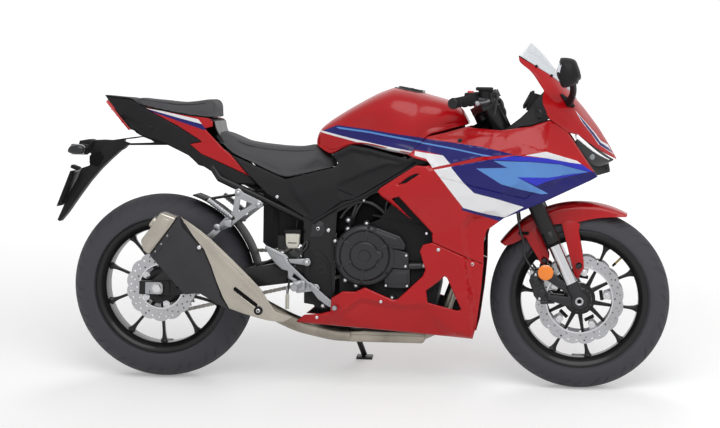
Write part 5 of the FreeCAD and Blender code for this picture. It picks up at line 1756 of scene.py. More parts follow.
@dataclass
class RearLamps:
    """Tail lamp in its bezel and the two indicators on their stalks.

    Args:
        top: Upper end of the tail lamp.
        foot: Its lower end.
    """

    top: Triple = (-203, 0, 938)
    foot: Triple = (-122, 0, 842)

    def build(self) -> None:
        """Lamp, bezel and indicators."""
        run = Vector(self.foot) - Vector(self.top)
        rows = []
        for share, half in ((0, 30), (0.12, 38), (0.5, 43), (0.88, 41), (1.0, 34)):
            spot = Vector(self.top) + run * share
            rows.append([(spot.x + 8, -half, spot.z + 6), (spot.x - 2, -half, spot.z - 2),
                         (spot.x - 7, -half * 0.5, spot.z - 6), (spot.x - 8, 0, spot.z - 7),
                         (spot.x - 7, half * 0.5, spot.z - 6), (spot.x - 2, half, spot.z - 2),
                         (spot.x + 8, half, spot.z + 6), (spot.x + 10, 0, spot.z + 8)])
        lens = loft("tail_lens", rows, along=4, across=3, ring=True, caps=True)
        parts = [dress(lens, RED_LENS)]
        for share in (0.28, 0.5, 0.72):
            spot = Vector(self.top) + run * share
            bow = [
                (spot.x - 5, -38, spot.z - 4), (spot.x - 9.4, 0, spot.z - 7.6),
                (spot.x - 5, 38, spot.z - 4),
            ]
            parts.append(dress(tube("lens_rib", bow, 1.4, 2, 8), RED_LENS))
        for side in (1, -1):
            shapes = []
            for y, grow in ((76, 0.7), (84, 0.95), (112, 1.0), (134, 0.92), (141, 0.6)):
                shapes.append([(-284 + dx * grow, y, 773 + dz * grow) for dx, dz in (
                    (-32, -8), (-20, 13), (14, 16), (30, 2), (20, -15), (-12, -16))])
            lamp = loft("indicator", shapes, along=3, across=3, ring=True, caps=True)
            lamp_parts = [dress(lamp, SMOKE_LENS)]
            case = block("indicator_case", (-314, 74, 754), (-252, 92, 790), 6)
            lamp_parts.append(dress(case, MATT_BLACK))
            run_out = [(-275, 30, 772), (-275, 56, 771), (-277, 82, 772)]
            stalk = tube("stalk", run_out, 8, 3, 6, radii=(1.3, 0.9, 1.0))
            lamp_parts.append(dress(stalk, MATT_BLACK))
            for ring in (38, 46, 54, 62):
                rib = lathe("stalk_rib", [(7, -2), (10, 0), (7, 2)], (-275, ring, 771.5))
                lamp_parts.append(dress(rib, MATT_BLACK))
            piece = joined("indicator_set", lamp_parts)
            if side < 0:
                piece.data.transform(MIRROR_Y)
                piece.data.flip_normals()
            parts.append(piece)
        deliver(joined("rear_lamps_dressed", parts), "bike", replaces=["rear_lamps"])


@dataclass
class PlateHolder:
    """Open arm under the tail with the blank plate, its lamp and reflector.

    Args:
        arm: Outline of the carrier.
        slot: Outline of its opening.
    """

    arm: Sequence[Pair] = (
        (10, 790), (-40, 789), (-135, 787), (-146, 775), (-160, 767), (-195, 735), (-227, 703), (-262, 662),
        (-300, 610), (-340, 552), (-365, 522), (-373, 528), (-352, 575), (-330, 625), (-304, 672),
        (-291, 706), (-262, 716), (-258, 752), (-262, 790), (-254, 802), (-217, 804), (-190, 803),
        (-119, 814), (-60, 822), (-20, 812), (10, 800),
    )
    slot: Sequence[Pair] = (
        (-148, 799), (-146, 806), (-119, 809), (-78, 816), (-50, 806), (-40, 799), (-60, 796), (-130, 793),
    )

    def build(self) -> None:
        """Arm, lamp housing, reflector and plate."""
        arm = slab("plate_arm", self.arm, -26, 26, 3, holes=[self.slot])
        parts = [dress(arm, MATT_BLACK)]
        parts.append(dress(slab("lamp_box", [(-296, 800), (-300, 780), (-258, 776), (-246, 800), (-262, 806)],
                                -36, 36, 3), MATT_BLACK))
        back = slab(
            "reflector_back", [(-262, 750), (-262, 722), (-230, 712), (-212, 745), (-226, 766)],
            -33, 33, 4,
        )
        parts.append(dress(back, BLACK_AND_SHADE))
        turn = Matrix.Translation((-334, 0, 637)) @ Matrix.Rotation(math.radians(21), 4, "Y")
        plate = block("blank_plate", (-4, -91, -65), (-1, 91, 65), 1.4)
        bezel = block("plate_back", (-1, -84, -58), (2, 84, 58), 1.2)
        reflector = lathe(
            "reflector", [(0, 0), (15, 0), (16, 2), (13, 3.4), (0, 4)], (-4, 0, 46), (-1, 0, 0), 32,
        )
        light = block("plate_lamp", (-22, -24, 66), (6, 24, 78), 3)
        pieces = [
            dress(plate, SATIN_BLACK), dress(bezel, MATT_BLACK), dress(reflector, RED_LENS),
            dress(light, MATT_BLACK),
        ]
        pieces += [dress(button("plate_bolt", (-4, y, 30), (-1, 0, 0), 5), BOLT) for y in (-70, 70)]
        group = joined("plate_set", pieces)
        group.data.transform(turn)
        deliver(joined("plate_holder_dressed", [*parts, group]), "bike", replaces=["plate_holder"])


# ---------------------------------------------------------------- nose


@dataclass
class Nose:
    """Red upper cowl, from the screen's foot down to the headlights.

    Args:
        rows: Half rows from the middle plane to the rear edge, the upper ones first.
        stripe: Outline of the white stripe.
        core: Outline of the navy line in it.
    """

    rows: Sequence[Sequence[Triple]] = (
        (
            (1389, 0, 966), (1366, 45, 992), (1340, 75, 1015), (1300, 101, 1045), (1250, 118, 1075),
            (1195, 129, 1107),
        ),
        (
            (1396, 0, 958), (1374, 48, 981), (1348, 80, 1002), (1310, 107, 1028), (1262, 126, 1052),
            (1201, 134, 1088),
        ),
        (
            (1412, 0, 940), (1390, 53, 957), (1364, 90, 974), (1332, 118, 992), (1288, 136, 1012),
            (1238, 141, 1058),
        ),
        (
            (1434, 0, 912), (1412, 54, 922), (1386, 96, 935), (1356, 124, 948), (1318, 143, 963),
            (1281, 150, 996),
        ),
        (
            (1434, 0, 912), (1412, 54, 922), (1386, 96, 935), (1356, 124, 948), (1318, 143, 963),
            (1281, 150, 996),
        ),
        (
            (1464, 0, 872), (1442, 50, 880), (1414, 94, 890), (1380, 126, 902), (1334, 150, 917),
            (1274, 158, 948),
        ),
        (
            (1496, 0, 822), (1474, 42, 836), (1442, 84, 849), (1406, 116, 862), (1362, 140, 876),
            (1302, 160, 901),
        ),
        (
            (1496, 0, 822), (1474, 42, 836), (1442, 84, 849), (1406, 116, 862), (1362, 140, 876),
            (1302, 160, 901),
        ),
        (
            (1524, 0, 772), (1508, 26, 780), (1472, 68, 799), (1434, 102, 824), (1396, 128, 851),
            (1361, 151, 861),
        ),
    )
    stripe: Sequence[Pair] = (
        (1383, 932), (1410, 902), (1450, 858), (1470, 832), (1495, 818), (1512, 800), (1524, 776),
        (1505, 792), (1462, 820), (1440, 852), (1404, 896),
    )
    core: Sequence[Pair] = (
        (1392, 920), (1412, 897), (1448, 855), (1468, 827), (1496, 808), (1512, 790), (1500, 797),
        (1466, 818), (1444, 848), (1408, 893),
    )

    def build(self) -> None:
        """Skin with its stripes."""
        rows = [[*[(x, -y, z) for x, y, z in reversed(half[1:])], *half] for half in self.rows]
        skin = loft("nose_skin", rows, along=5, across=4)
        decorate(skin, RED, [(WHITE, self.stripe), (NAVY, self.core)], lining=MATT_BLACK, flank=14)
        walled(skin, 3.0)
        deliver(joined("nose_cowl_dressed", [skin]), "bike", replaces=["nose_cowl"])


@dataclass
class Headlights:
    """Slim lenses under the nose, their light strips, and the black chin between them.

    Args:
        brow: Upper row of the left lens.
        sill: Lower row.
        lip: Front row of the chin.
    """

    brow: Sequence[Triple] = (
        (1514, 12, 770), (1500, 30, 777), (1468, 70, 797), (1430, 104, 821), (1390, 131, 847),
    )
    sill: Sequence[Triple] = (
        (1496, 12, 756), (1474, 40, 745), (1444, 80, 753), (1424, 108, 776), (1386, 135, 824),
    )
    lip: Sequence[Triple] = (
        (1503, 0, 728), (1488, 36, 724), (1464, 88, 720), (1450, 128, 722), (1432, 142, 742),
    )

    def build(self) -> None:
        """Lenses on both sides, then the chin."""
        middle = [
            tuple((Vector(a) + Vector(b)) / 2 + Vector((5, 5, 2)))
            for a, b in zip(self.brow, self.sill)
        ]
        lens = loft("lens", [self.brow, middle, self.sill], along=5, across=5)
        modify(lens, "SOLIDIFY", thickness=3, offset=-1)
        strip = [
            tuple(Vector(a).lerp(Vector(b), 0.3) + Vector((6, 5, 2)))
            for a, b in zip(self.brow, self.sill)
        ]
        strip[-1] = (1388, 136, 848)
        light = tube("light_strip", strip[1:], 3.4, 3, 8, radii=(0.4, 0.9, 1.7, 2.3))
        bulb = lathe("low_beam", [(0, 0), (13, 0), (14, 2), (12, 5), (7, 8), (0, 9)], (1440, 92, 782),
                     (0.75, 0.6, 0.05), 28)
        side = joined(
            "headlight",
            [dress(smooth(lens), SMOKE_LENS), dress(light, LAMP_WHITE), dress(bulb, GLASS_CLEAR)],
        )
        deliver(with_mirror(side), "bike", replaces=["headlights"])
        sill = [(1498, 0, 757), *self.sill[1:]]
        inner = [(x - 14, y * 0.9, z + 2) for x, y, z in self.lip]
        rows = [[*[(x, -y, z) for x, y, z in reversed(row[1:])], *row] for row in (sill, self.lip, inner)]
        chin = loft("chin", rows, along=3, across=4)
        modify(chin, "SOLIDIFY", thickness=3, offset=-1)
        duct = loft(
            "intake",
            [
                [(1492, y, 740 + dz) for y, dz in circle_flat(26, 7)],
                [(1450, y, 742 + dz) for y, dz in circle_flat(20, 5)],
            ],
            along=2, across=2, ring=True,
        )
        deliver(joined("chin_panel", [dress(smooth(chin), MATT_BLACK), dress(duct, BLACK_AND_SHADE)]), "bike")


def circle_flat(wide: float, tall: float, count: int = 10) -> list[Pair]:
    """Points of an oval.

    Args:
        wide: Half the width.
        tall: Half the height.
        count: Number of points.

    Returns:
        The points.
    """
    return [(wide * math.cos(a), tall * math.sin(a)) for a in (2 * math.pi * i / count for i in range(count))]


@dataclass
class Screen:
    """Clear screen with its edge beading and screws.

    Args:
        rim: Left edge from the back to the front.
        spine: Middle line from the back to the front.
    """

    rim: Sequence[Triple] = (
        (1196, 127, 1108), (1250, 116, 1075), (1300, 99, 1045), (1340, 73, 1015), (1366, 43, 992),
        (1384, 14, 971),
    )
    spine: Sequence[Triple] = (
        (1231, 0, 1155), (1262, 0, 1127), (1300, 0, 1084), (1335, 0, 1038), (1364, 0, 1000), (1387, 0, 968),
    )

    def build(self) -> None:
        """Bowed sheet from rim to rim over the spine."""
        rows = []
        for edge, top in zip(self.rim, self.spine):
            a, b = Vector(edge), Vector(top)
            near, far = a.lerp(b, 0.34), a.lerp(b, 0.68)
            out = Vector((0.5, 0, 0.6)) * edge[1] * 0.12
            left = [tuple(a), tuple(near + Vector((0, edge[1] * 0.16, 0)) + out),
                    tuple(far + Vector((0, edge[1] * 0.12, 0)) + out * 0.8)]
            rows.append([*[(x, -y, z) for x, y, z in left], tuple(b), *reversed(left)])
        sheet = loft("screen_sheet", rows, along=5, across=5)
        modify(sheet, "SOLIDIFY", thickness=2.5, offset=0)
        parts = [dress(smooth(sheet, 60), GLASS_CLEAR)]
        deliver(joined("screen_dressed", parts), "bike", replaces=["windscreen"])
        trim = [
            dress(
                tube("screen_bead", [(x - 1, y + 1, z - 1) for x, y, z in self.rim], 2.6, 2, 8), MATT_BLACK,
            ),
        ]
        for x, y, z in (self.rim[1], self.rim[2], self.rim[3]):
            trim.append(dress(button("screen_screw", (x + 3, y + 3, z), (0.45, 0.75, 0.5), 5), SATIN_BLACK))
        deliver(with_mirror(joined("screen_trim", trim)), "bike")


@dataclass
class Cockpit:
    """Display on its bracket and the black panels behind the screen and at the nose's sides.

    Args:
        wing: Corners of the left side panel as (x, z, y).
    """

    wing: Sequence[Triple] = (
        (1150, 862, 168), (1205, 905, 160), (1235, 935, 156), (1262, 972, 152), (1282, 996, 149),
        (1274, 949, 157), (1300, 903, 158), (1240, 880, 170), (1180, 872, 172),
    )

    def build(self) -> None:
        """Display, wings and the inner tray."""
        panel = refined("cockpit_panel", "cockpit_core", 1.5)
        parts = [dress(panel, MATT_BLACK)]
        wing = Sheet(
            self.wing, lip=3, pitch=9, ridges=(((1205, 880, 170), (1245, 925, 160), (1270, 960, 154)),),
        )
        side = walled(decorate(wing.build("cockpit_wing"), MATT_BLACK, [], lining=BLACK_AND_SHADE), 2.5)
        vent = lathe(
            "wing_boss", [(0, 0), (16, 0), (18, 3), (14, 7), (0, 8)], (1262, 158, 918), (-0.5, 0.8, 0), 28,
        )
        parts.append(with_mirror(joined("wings", [side, dress(vent, SATIN_BLACK)])))
        tilt = Matrix.Translation((1226, 0, 965)) @ Matrix.Rotation(math.radians(-62), 4, "Y")
        glass = block("display_glass", (-28, -62, 2), (28, 62, 6), 2)
        hood = block("display_case", (-34, -69, -6), (34, 69, 3), 4)
        marks = [
            block("display_bar", (-16 + 8 * k, -50, 6.2), (-13 + 8 * k, 12 + 6 * k, 6.8), 0.2)
            for k in range(4)
        ]
        dial_edge = [(15, 6.1), (17, 6.1), (17, 6.9), (15, 6.9)]
        marks.append(lathe("display_ring", dial_edge, (0, 36, 0), (0, 0, 1), 32, closed=True))
        pieces = [dress(hood, SATIN_BLACK), dress(glass, SCREEN_DARK), *[dress(m, LAMP_WHITE) for m in marks]]
        display = joined("display", pieces)
        display.data.transform(tilt)
        deliver(joined("cockpit_dressed", [*parts, display]), "bike", replaces=["cockpit_panel"])


@dataclass
class Mirrors:
    """Mirror heads on their stems, glass facing back.

    Args:
        face: Side view of a head at its widest, about its middle.
        middle: Middle of the heads as (x, z).
        stations: Sections across the bike as (y, scale).
        stem: Route of the stem.
        foot: Line of the foot on the cowl.
    """

    face: Sequence[Pair] = (
        (-38, -4), (-37, 8), (-28, 46), (-20, 50), (-6, 50), (14, 46), (26, 34), (40, -8), (32, -20),
        (26, -32), (-16, -46), (-31, -20),
    )
    middle: Pair = (1360, 1051)
    stations: Sequence[Pair] = (
        (240, 0.25), (246, 0.62), (264, 0.86), (300, 1.0), (336, 0.96), (358, 0.74), (368, 0.3),
    )
    stem: Sequence[Triple] = (
        (1360, 116, 954), (1369, 140, 968), (1376, 200, 992), (1374, 246, 1018), (1366, 272, 1040),
    )
    foot: Sequence[Triple] = ((1334, 123, 984), (1346, 122, 974), (1362, 119, 957), (1378, 108, 944))

    def build(self) -> None:
        """Both mirrors."""
        x0, z0 = self.middle
        rows = [[(x0 + x * scale, y, z0 + z * scale) for x, z in self.face] for y, scale in self.stations]
        case = loft("mirror_case", rows, along=4, across=3, ring=True, caps=True)
        glass_rows = [
            [(x0 + x * scale - 0.6, y, z0 + z * scale) for x, z in ((-30, -14), (-37, 6), (-30, 36))]
            for y, scale in self.stations[1:-1]
        ]
        glass = modify(
            loft("mirror_glass", glass_rows, along=4, across=4), "SOLIDIFY", thickness=1.6, offset=0,
        )
        stem = tube("mirror_stem", self.stem, 9.5, 3, 8, radii=(1.5, 1.25, 1.15, 1.1, 1.2))
        foot = tube("mirror_foot", self.foot, 8, 3, 8, radii=(0.5, 1.0, 1.3, 0.7))
        side = joined("mirror", [dress(smooth(case, 40), MATT_BLACK), dress(smooth(glass), MIRROR),
                                 dress(stem, MATT_BLACK), dress(foot, MATT_BLACK)])
        deliver(with_mirror(side), "bike", replaces=["mirrors"])


# ---------------------------------------------------------------- wheels and chain


@dataclass
class Wheel:
    """Wheel with its tyre, spoked rim, hub and disc rings, modelled about its own axle.

    Args:
        end: front or rear.
        place: Where the wheel stands.
        body: Body that it rides on.
        radius: Tyre radius.
        half: Tyre half width.
        rim_half: Rim half width.
        hub: Hub radius.
        hub_half: Hub half width.
        turn: Angle of the first pair of spokes, in degrees.
        discs: Sides that carry a disc.
        disc: Largest disc radius.
        disc_inner: Smallest disc radius.
        waves: Scallops round the disc.
        bobbins: Radius of the disc's buttons.
        rim_edge: Radius of the rim flange.
        barrel: Radius of the barrel under it.
    """

    end: str
    place: Place
    body: str
    radius: float
    half: float
    rim_half: float
    hub: float
    hub_half: float
    turn: float
    discs: Sequence[int]
    disc: float
    disc_inner: float
    waves: int
    bobbins: float
    rim_edge: float = 229.0
    barrel: float = 196.0

    def sipe_depth(self, angle: np.ndarray, across: np.ndarray) -> np.ndarray:
        """Depth of the tread's grooves.

        Args:
            angle: Angles round the tyre.
            across: Distance from the middle plane along the tread.

        Returns:
            Depth in millimetres at each place.
        """
        count = 18
        pitch = 2 * math.pi * self.radius / count
        depth = np.zeros_like(angle)
        edge = self.half * 1.12
        for side in (1, -1):
            along = ((angle / (2 * math.pi) * count + (0.5 if side < 0 else 0)) % 1) * pitch
            reach = side * across
            for start, end, width in (
                ((0.05, 0.10), (0.52, 0.55), 2.6), ((0.40, 0.44), (0.74, 0.92), 2.6),
                ((0.86, 0.52), (1.08, 0.86), 2.2), ((0.62, 0.08), (0.82, 0.30), 2.0),
            ):
                a = np.array([start[0] * pitch, start[1] * edge])
                b = np.array([end[0] * pitch, end[1] * edge])
                for shift in (-pitch, 0, pitch):
                    px, py = along + shift - a[0], reach - a[1]
                    run = b - a
                    t = np.clip((px * run[0] + py * run[1]) / (run @ run), 0, 1)
                    gap = np.hypot(px - t * run[0], py - t * run[1])
                    taper = width * (0.45 + 0.55 * np.sin(math.pi * np.clip(t, 0.05, 0.95)))
                    depth = np.maximum(depth, 3.4 * np.clip(1.5 - gap / taper, 0, 1))
        return depth

    def tyre(self) -> bpy.types.Object:
        """Tyre skin with its tread, sidewall rings and beads.

        Returns:
            The tyre.
        """
        middle = self.radius - self.half
        crown = np.linspace(-1, 1, 41)
        theta = crown * math.radians(88)
        tread = [(middle + self.half * math.cos(t), self.half * math.sin(t), self.half * t) for t in theta]
        low = self.rim_edge - 1.5
        wall = []
        for share, bulge in (
            (0.16, 0.4), (0.3, 1.3), (0.34, 0.2), (0.5, 0.6), (0.7, -0.4), (0.74, 0.6), (0.8, 0.6),
            (0.84, -0.8), (1.0, -1.0),
        ):
            r = middle - (middle - low) * share
            lean = self.half - (self.half - self.rim_half - 4.5) * share**1.6
            wall.append((r, lean + bulge - 0.6, None))
        inner = [(self.rim_edge - 7, self.rim_half - 1, None), (self.rim_edge + 6, self.rim_half - 8, None)]
        left = wall + inner
        profile = [(r, -w, None) for r, w, _ in reversed(left)] + tread + left
        steps = 600
        turn = np.linspace(0, 2 * math.pi, steps, endpoint=False)
        verts = []
        for r, w, arc in profile:
            if arc is None:
                level = np.full(steps, r)
                flare = np.full(steps, w)
            else:
                cut = self.sipe_depth(turn, np.full(steps, arc))
                level = r - cut * math.cos(arc / self.half)
                flare = w - cut * math.sin(arc / self.half)
            verts.append(np.stack([level * np.cos(turn), flare, level * np.sin(turn)], 1))
        grid = np.concatenate(verts)
        faces = []
        for row in range(len(profile) - 1):
            for c in range(steps):
                d = (c + 1) % steps
                faces.append((row * steps + c, row * steps + d, (row + 1) * steps + d, (row + 1) * steps + c))
        base = (len(profile) - 1) * steps
        for c in range(steps):
            faces.append((base + c, base + (c + 1) % steps, (c + 1) % steps, c))
        obj = mesh_object(f"{self.end}_tyre_tread", grid, faces)
        return dress(smooth(recalculate(obj), 50), RUBBER)

    def spoke(self, side: int) -> bpy.types.Object:
        """One slender arm of a pair, flared into the rim.

        Args:
            side: 1 or -1, for either arm of the pair.

        Returns:
            The spoke.
        """
        root, tip = self.hub - 6, self.barrel + 3
        rows = []
        for share, wide, deep in (
            (0, 9, 19), (0.12, 7, 17), (0.4, 5.2, 13), (0.72, 5.0, 12), (0.88, 7.5, 13), (0.96, 13, 15),
            (1.0, 19, 17),
        ):
            r = root + (tip - root) * share
            angle = math.radians(side * (18 + 6 * (1 - share) ** 1.5))
            ahead = Vector((math.cos(angle), 0, math.sin(angle)))
            over = Vector((-math.sin(angle), 0, math.cos(angle)))
            spot = ahead * r
            ring = [
                (1, 0.55), (0.6, 1), (-0.6, 1), (-1, 0.55), (-1, -0.55), (-0.6, -1), (0.6, -1), (1, -0.55),
            ]
            rows.append([tuple(spot + over * wide * u + Vector((0, deep * v, 0))) for u, v in ring])
        return loft("spoke", rows, along=3, across=2, ring=True, caps=True)

    def rim(self) -> bpy.types.Object:
        """Barrel, hub and spokes.

        Returns:
            The rim.
        """
        half, edge, barrel = self.rim_half, self.rim_edge, self.barrel
        left = [(edge, half + 5), (edge + 1, half + 2.5), (edge - 2, half - 1), (edge - 12, half - 3),
                (barrel + 14, half - 14), (barrel + 9, half - 22)]
        right = [(r, -w) for r, w in reversed(left)]
        under = [
            (barrel - 1, -(half - 24)), (barrel, -(half - 15)), (barrel + 12, -(half - 3)),
            (edge - 9, -(half + 5.5)), (edge - 3, -(half + 6)),
        ]
        profile = left + right + list(reversed(under)) + [(r, -w) for r, w in under]
        parts = [lathe("barrel", profile, steps=160, closed=True)]
        reach = self.hub_half
        hub = [
            (15.4, -reach), (self.hub * 0.72, -reach), (self.hub * 0.8, -reach + 2),
            (self.hub * 0.82, -reach + 7), (self.hub * 0.7, -reach + 16), (self.hub * 0.7, reach - 16),
            (self.hub * 0.82, reach - 7), (self.hub * 0.8, reach - 2), (self.hub * 0.72, reach),
            (15.4, reach),
        ]
        parts.append(lathe("hub", hub, steps=64, closed=True))
        parts.append(lathe("hub_waist", [(self.hub * 0.6, -24), (self.hub, -20), (self.hub + 3, -16),
                                         (self.hub + 3, 16), (self.hub, 20), (self.hub * 0.6, 24)], steps=64))
        for pair in range(5):
            face = Matrix.Rotation(math.radians(-(self.turn + 72 * pair)), 4, "Y")
            for side in (1, -1):
                parts.append(copy_of(self.spokes[side], face, "arm"))
            web = rod("web", (self.hub + 24, 0, -17), (self.hub + 24, 0, 17), 6)
            web.data.transform(face)
            parts.append(web)
        whole = dress(joined(f"{self.end}_rim_cast", parts), WHEEL_BLACK)
        line = Matrix.Rotation(math.radians(-(self.turn + 36)), 4, "Y")
        valve = rod("valve", (barrel - 2, 6, 0), (barrel - 36, 6, 0), 3.6)
        cap = rod("valve_cap", (barrel - 28, 6, 0), (barrel - 42, 6, 0), 4.6, 3.8)
        stem = joined("valve_set", [dress(valve, BRASS), dress(cap, SOFT_RUBBER)])
        stem.data.transform(line)
        weight = dress(
            block("balance_weight", (-22, half - 8, -(barrel - 1)), (22, half - 18, -(barrel - 5)), 1),
            ALLOY,
        )
        return joined(f"{self.end}_rim_dressed", [whole, stem, weight])

    def disc_ring(self, side: int) -> bpy.types.Object:
        """Scalloped, drilled brake ring with its carrier and buttons.

        Args:
            side: 1 for left, -1 for right.

        Returns:
            The disc.
        """
        outer = []
        steps = self.waves * 10
        for i in range(steps):
            a = 2 * math.pi * i / steps
            swell = abs(math.sin(a * self.waves / 2)) ** 0.7
            reach = self.disc - 7 + 7 * swell
            outer.append((reach * math.cos(a), reach * math.sin(a)))
        holes = [circle(self.disc_inner, 72)]
        deep = self.disc - self.disc_inner
        for wave in range(self.waves):
            for share, offset, hole in (
                (0.2, 0.12, 3.2), (0.45, 0.5, 2.8), (0.72, 0.86, 3.4), (0.78, 0.36, 3.0),
            ):
                a = 2 * math.pi * (wave + offset) / self.waves
                r = self.disc_inner + 3 + (deep - 8) * share
                holes.append(circle(hole, 8, (r * math.cos(a), r * math.sin(a))))
        low = self.hub_half + 0.4
        ring = slab("disc_ring", outer, low, low + 4.4, 0, holes=holes)
        parts = [dress(ring, STEEL)]
        land = [
            (self.disc_inner - 0.4, low - 0.3), (self.disc_inner + 3.5, low - 0.3),
            (self.disc_inner + 3.5, low + 4.9), (self.disc_inner - 0.4, low + 4.9),
        ]
        parts.append(dress(lathe("disc_land", land, steps=96, closed=True), CHROME))
        count = 5
        for index in range(count):
            face = Matrix.Rotation(math.radians(-(self.turn + 72 * index)), 4, "Y")
            lug = slab("disc_lug", [(self.bobbins - 12, -9), (self.bobbins - 9, 9), (self.disc_inner + 2, 15),
                                    (self.disc_inner + 2, -15)], low + 0.4, low + 4, 1.4)
            button_piece = lathe(
                "bobbin",
                [
                    (0, low - 1), (10.5, low - 1), (11.5, low + 2), (11, low + 5.2), (7, low + 6),
                    (6.4, low + 4.6), (4.6, low + 4.6), (4.2, low + 7), (0, low + 7),
                ],
                (self.bobbins, 0, 0), steps=28,
            )
            pair = joined("lug_set", [dress(lug, ALLOY), dress(button_piece, BOLT)])
            pair.data.transform(face)
            parts.append(pair)
        if self.end == "rear":
            profile = [
                (self.hub * 0.5, low - 0.2), (self.bobbins - 6, low - 0.2), (self.bobbins - 3, low + 1),
                (self.bobbins - 5, low + 3), (self.hub * 0.55, low + 4), (self.hub * 0.5, low + 3),
            ]
            parts.append(dress(lathe("carrier", profile, steps=64, closed=True), SATIN_BLACK))
        whole = joined(f"{self.end}_disc", parts)
        if side < 0:
            whole.data.transform(MIRROR_Y)
            whole.data.flip_normals()
        return whole

    def build(self) -> None:
        """Tyre, rim and discs, each on the wheel's body."""
        self.spokes = {side: self.spoke(side) for side in (1, -1)}
        place = self.place
        deliver(self.tyre(), self.body, replaces=[f"{self.end}_tyre"], place=place)
        deliver(self.rim(), self.body, replaces=[f"{self.end}_rim"], place=place)
        for piece in self.spokes.values():
            bpy.data.objects.remove(piece)
        node = "front_discs" if self.end == "front" else "rear_disc"
        rings = joined(f"{self.end}_disc_set", [self.disc_ring(side) for side in self.discs])
        deliver(rings, self.body, replaces=[node], place=place)


class Wheels:
    """Front and rear wheels."""

    def build(self) -> None:
        """Both wheels from their sizes."""
        Wheel(
            "front", Place.FRONT_WHEEL, "front_wheel", radius=300, half=59.5, rim_half=44.5, hub=50,
            hub_half=57.5, turn=9.5, discs=(1, -1), disc=148, disc_inner=109, waves=16, bobbins=92,
        ).build()
        Wheel(
            "rear", Place.REAR_WHEEL, "rear_wheel", radius=311.5, half=79.5, rim_half=57, hub=62,
            hub_half=75, turn=0, discs=(-1,), disc=119, disc_inner=73, waves=14, bobbins=62,
        ).build()


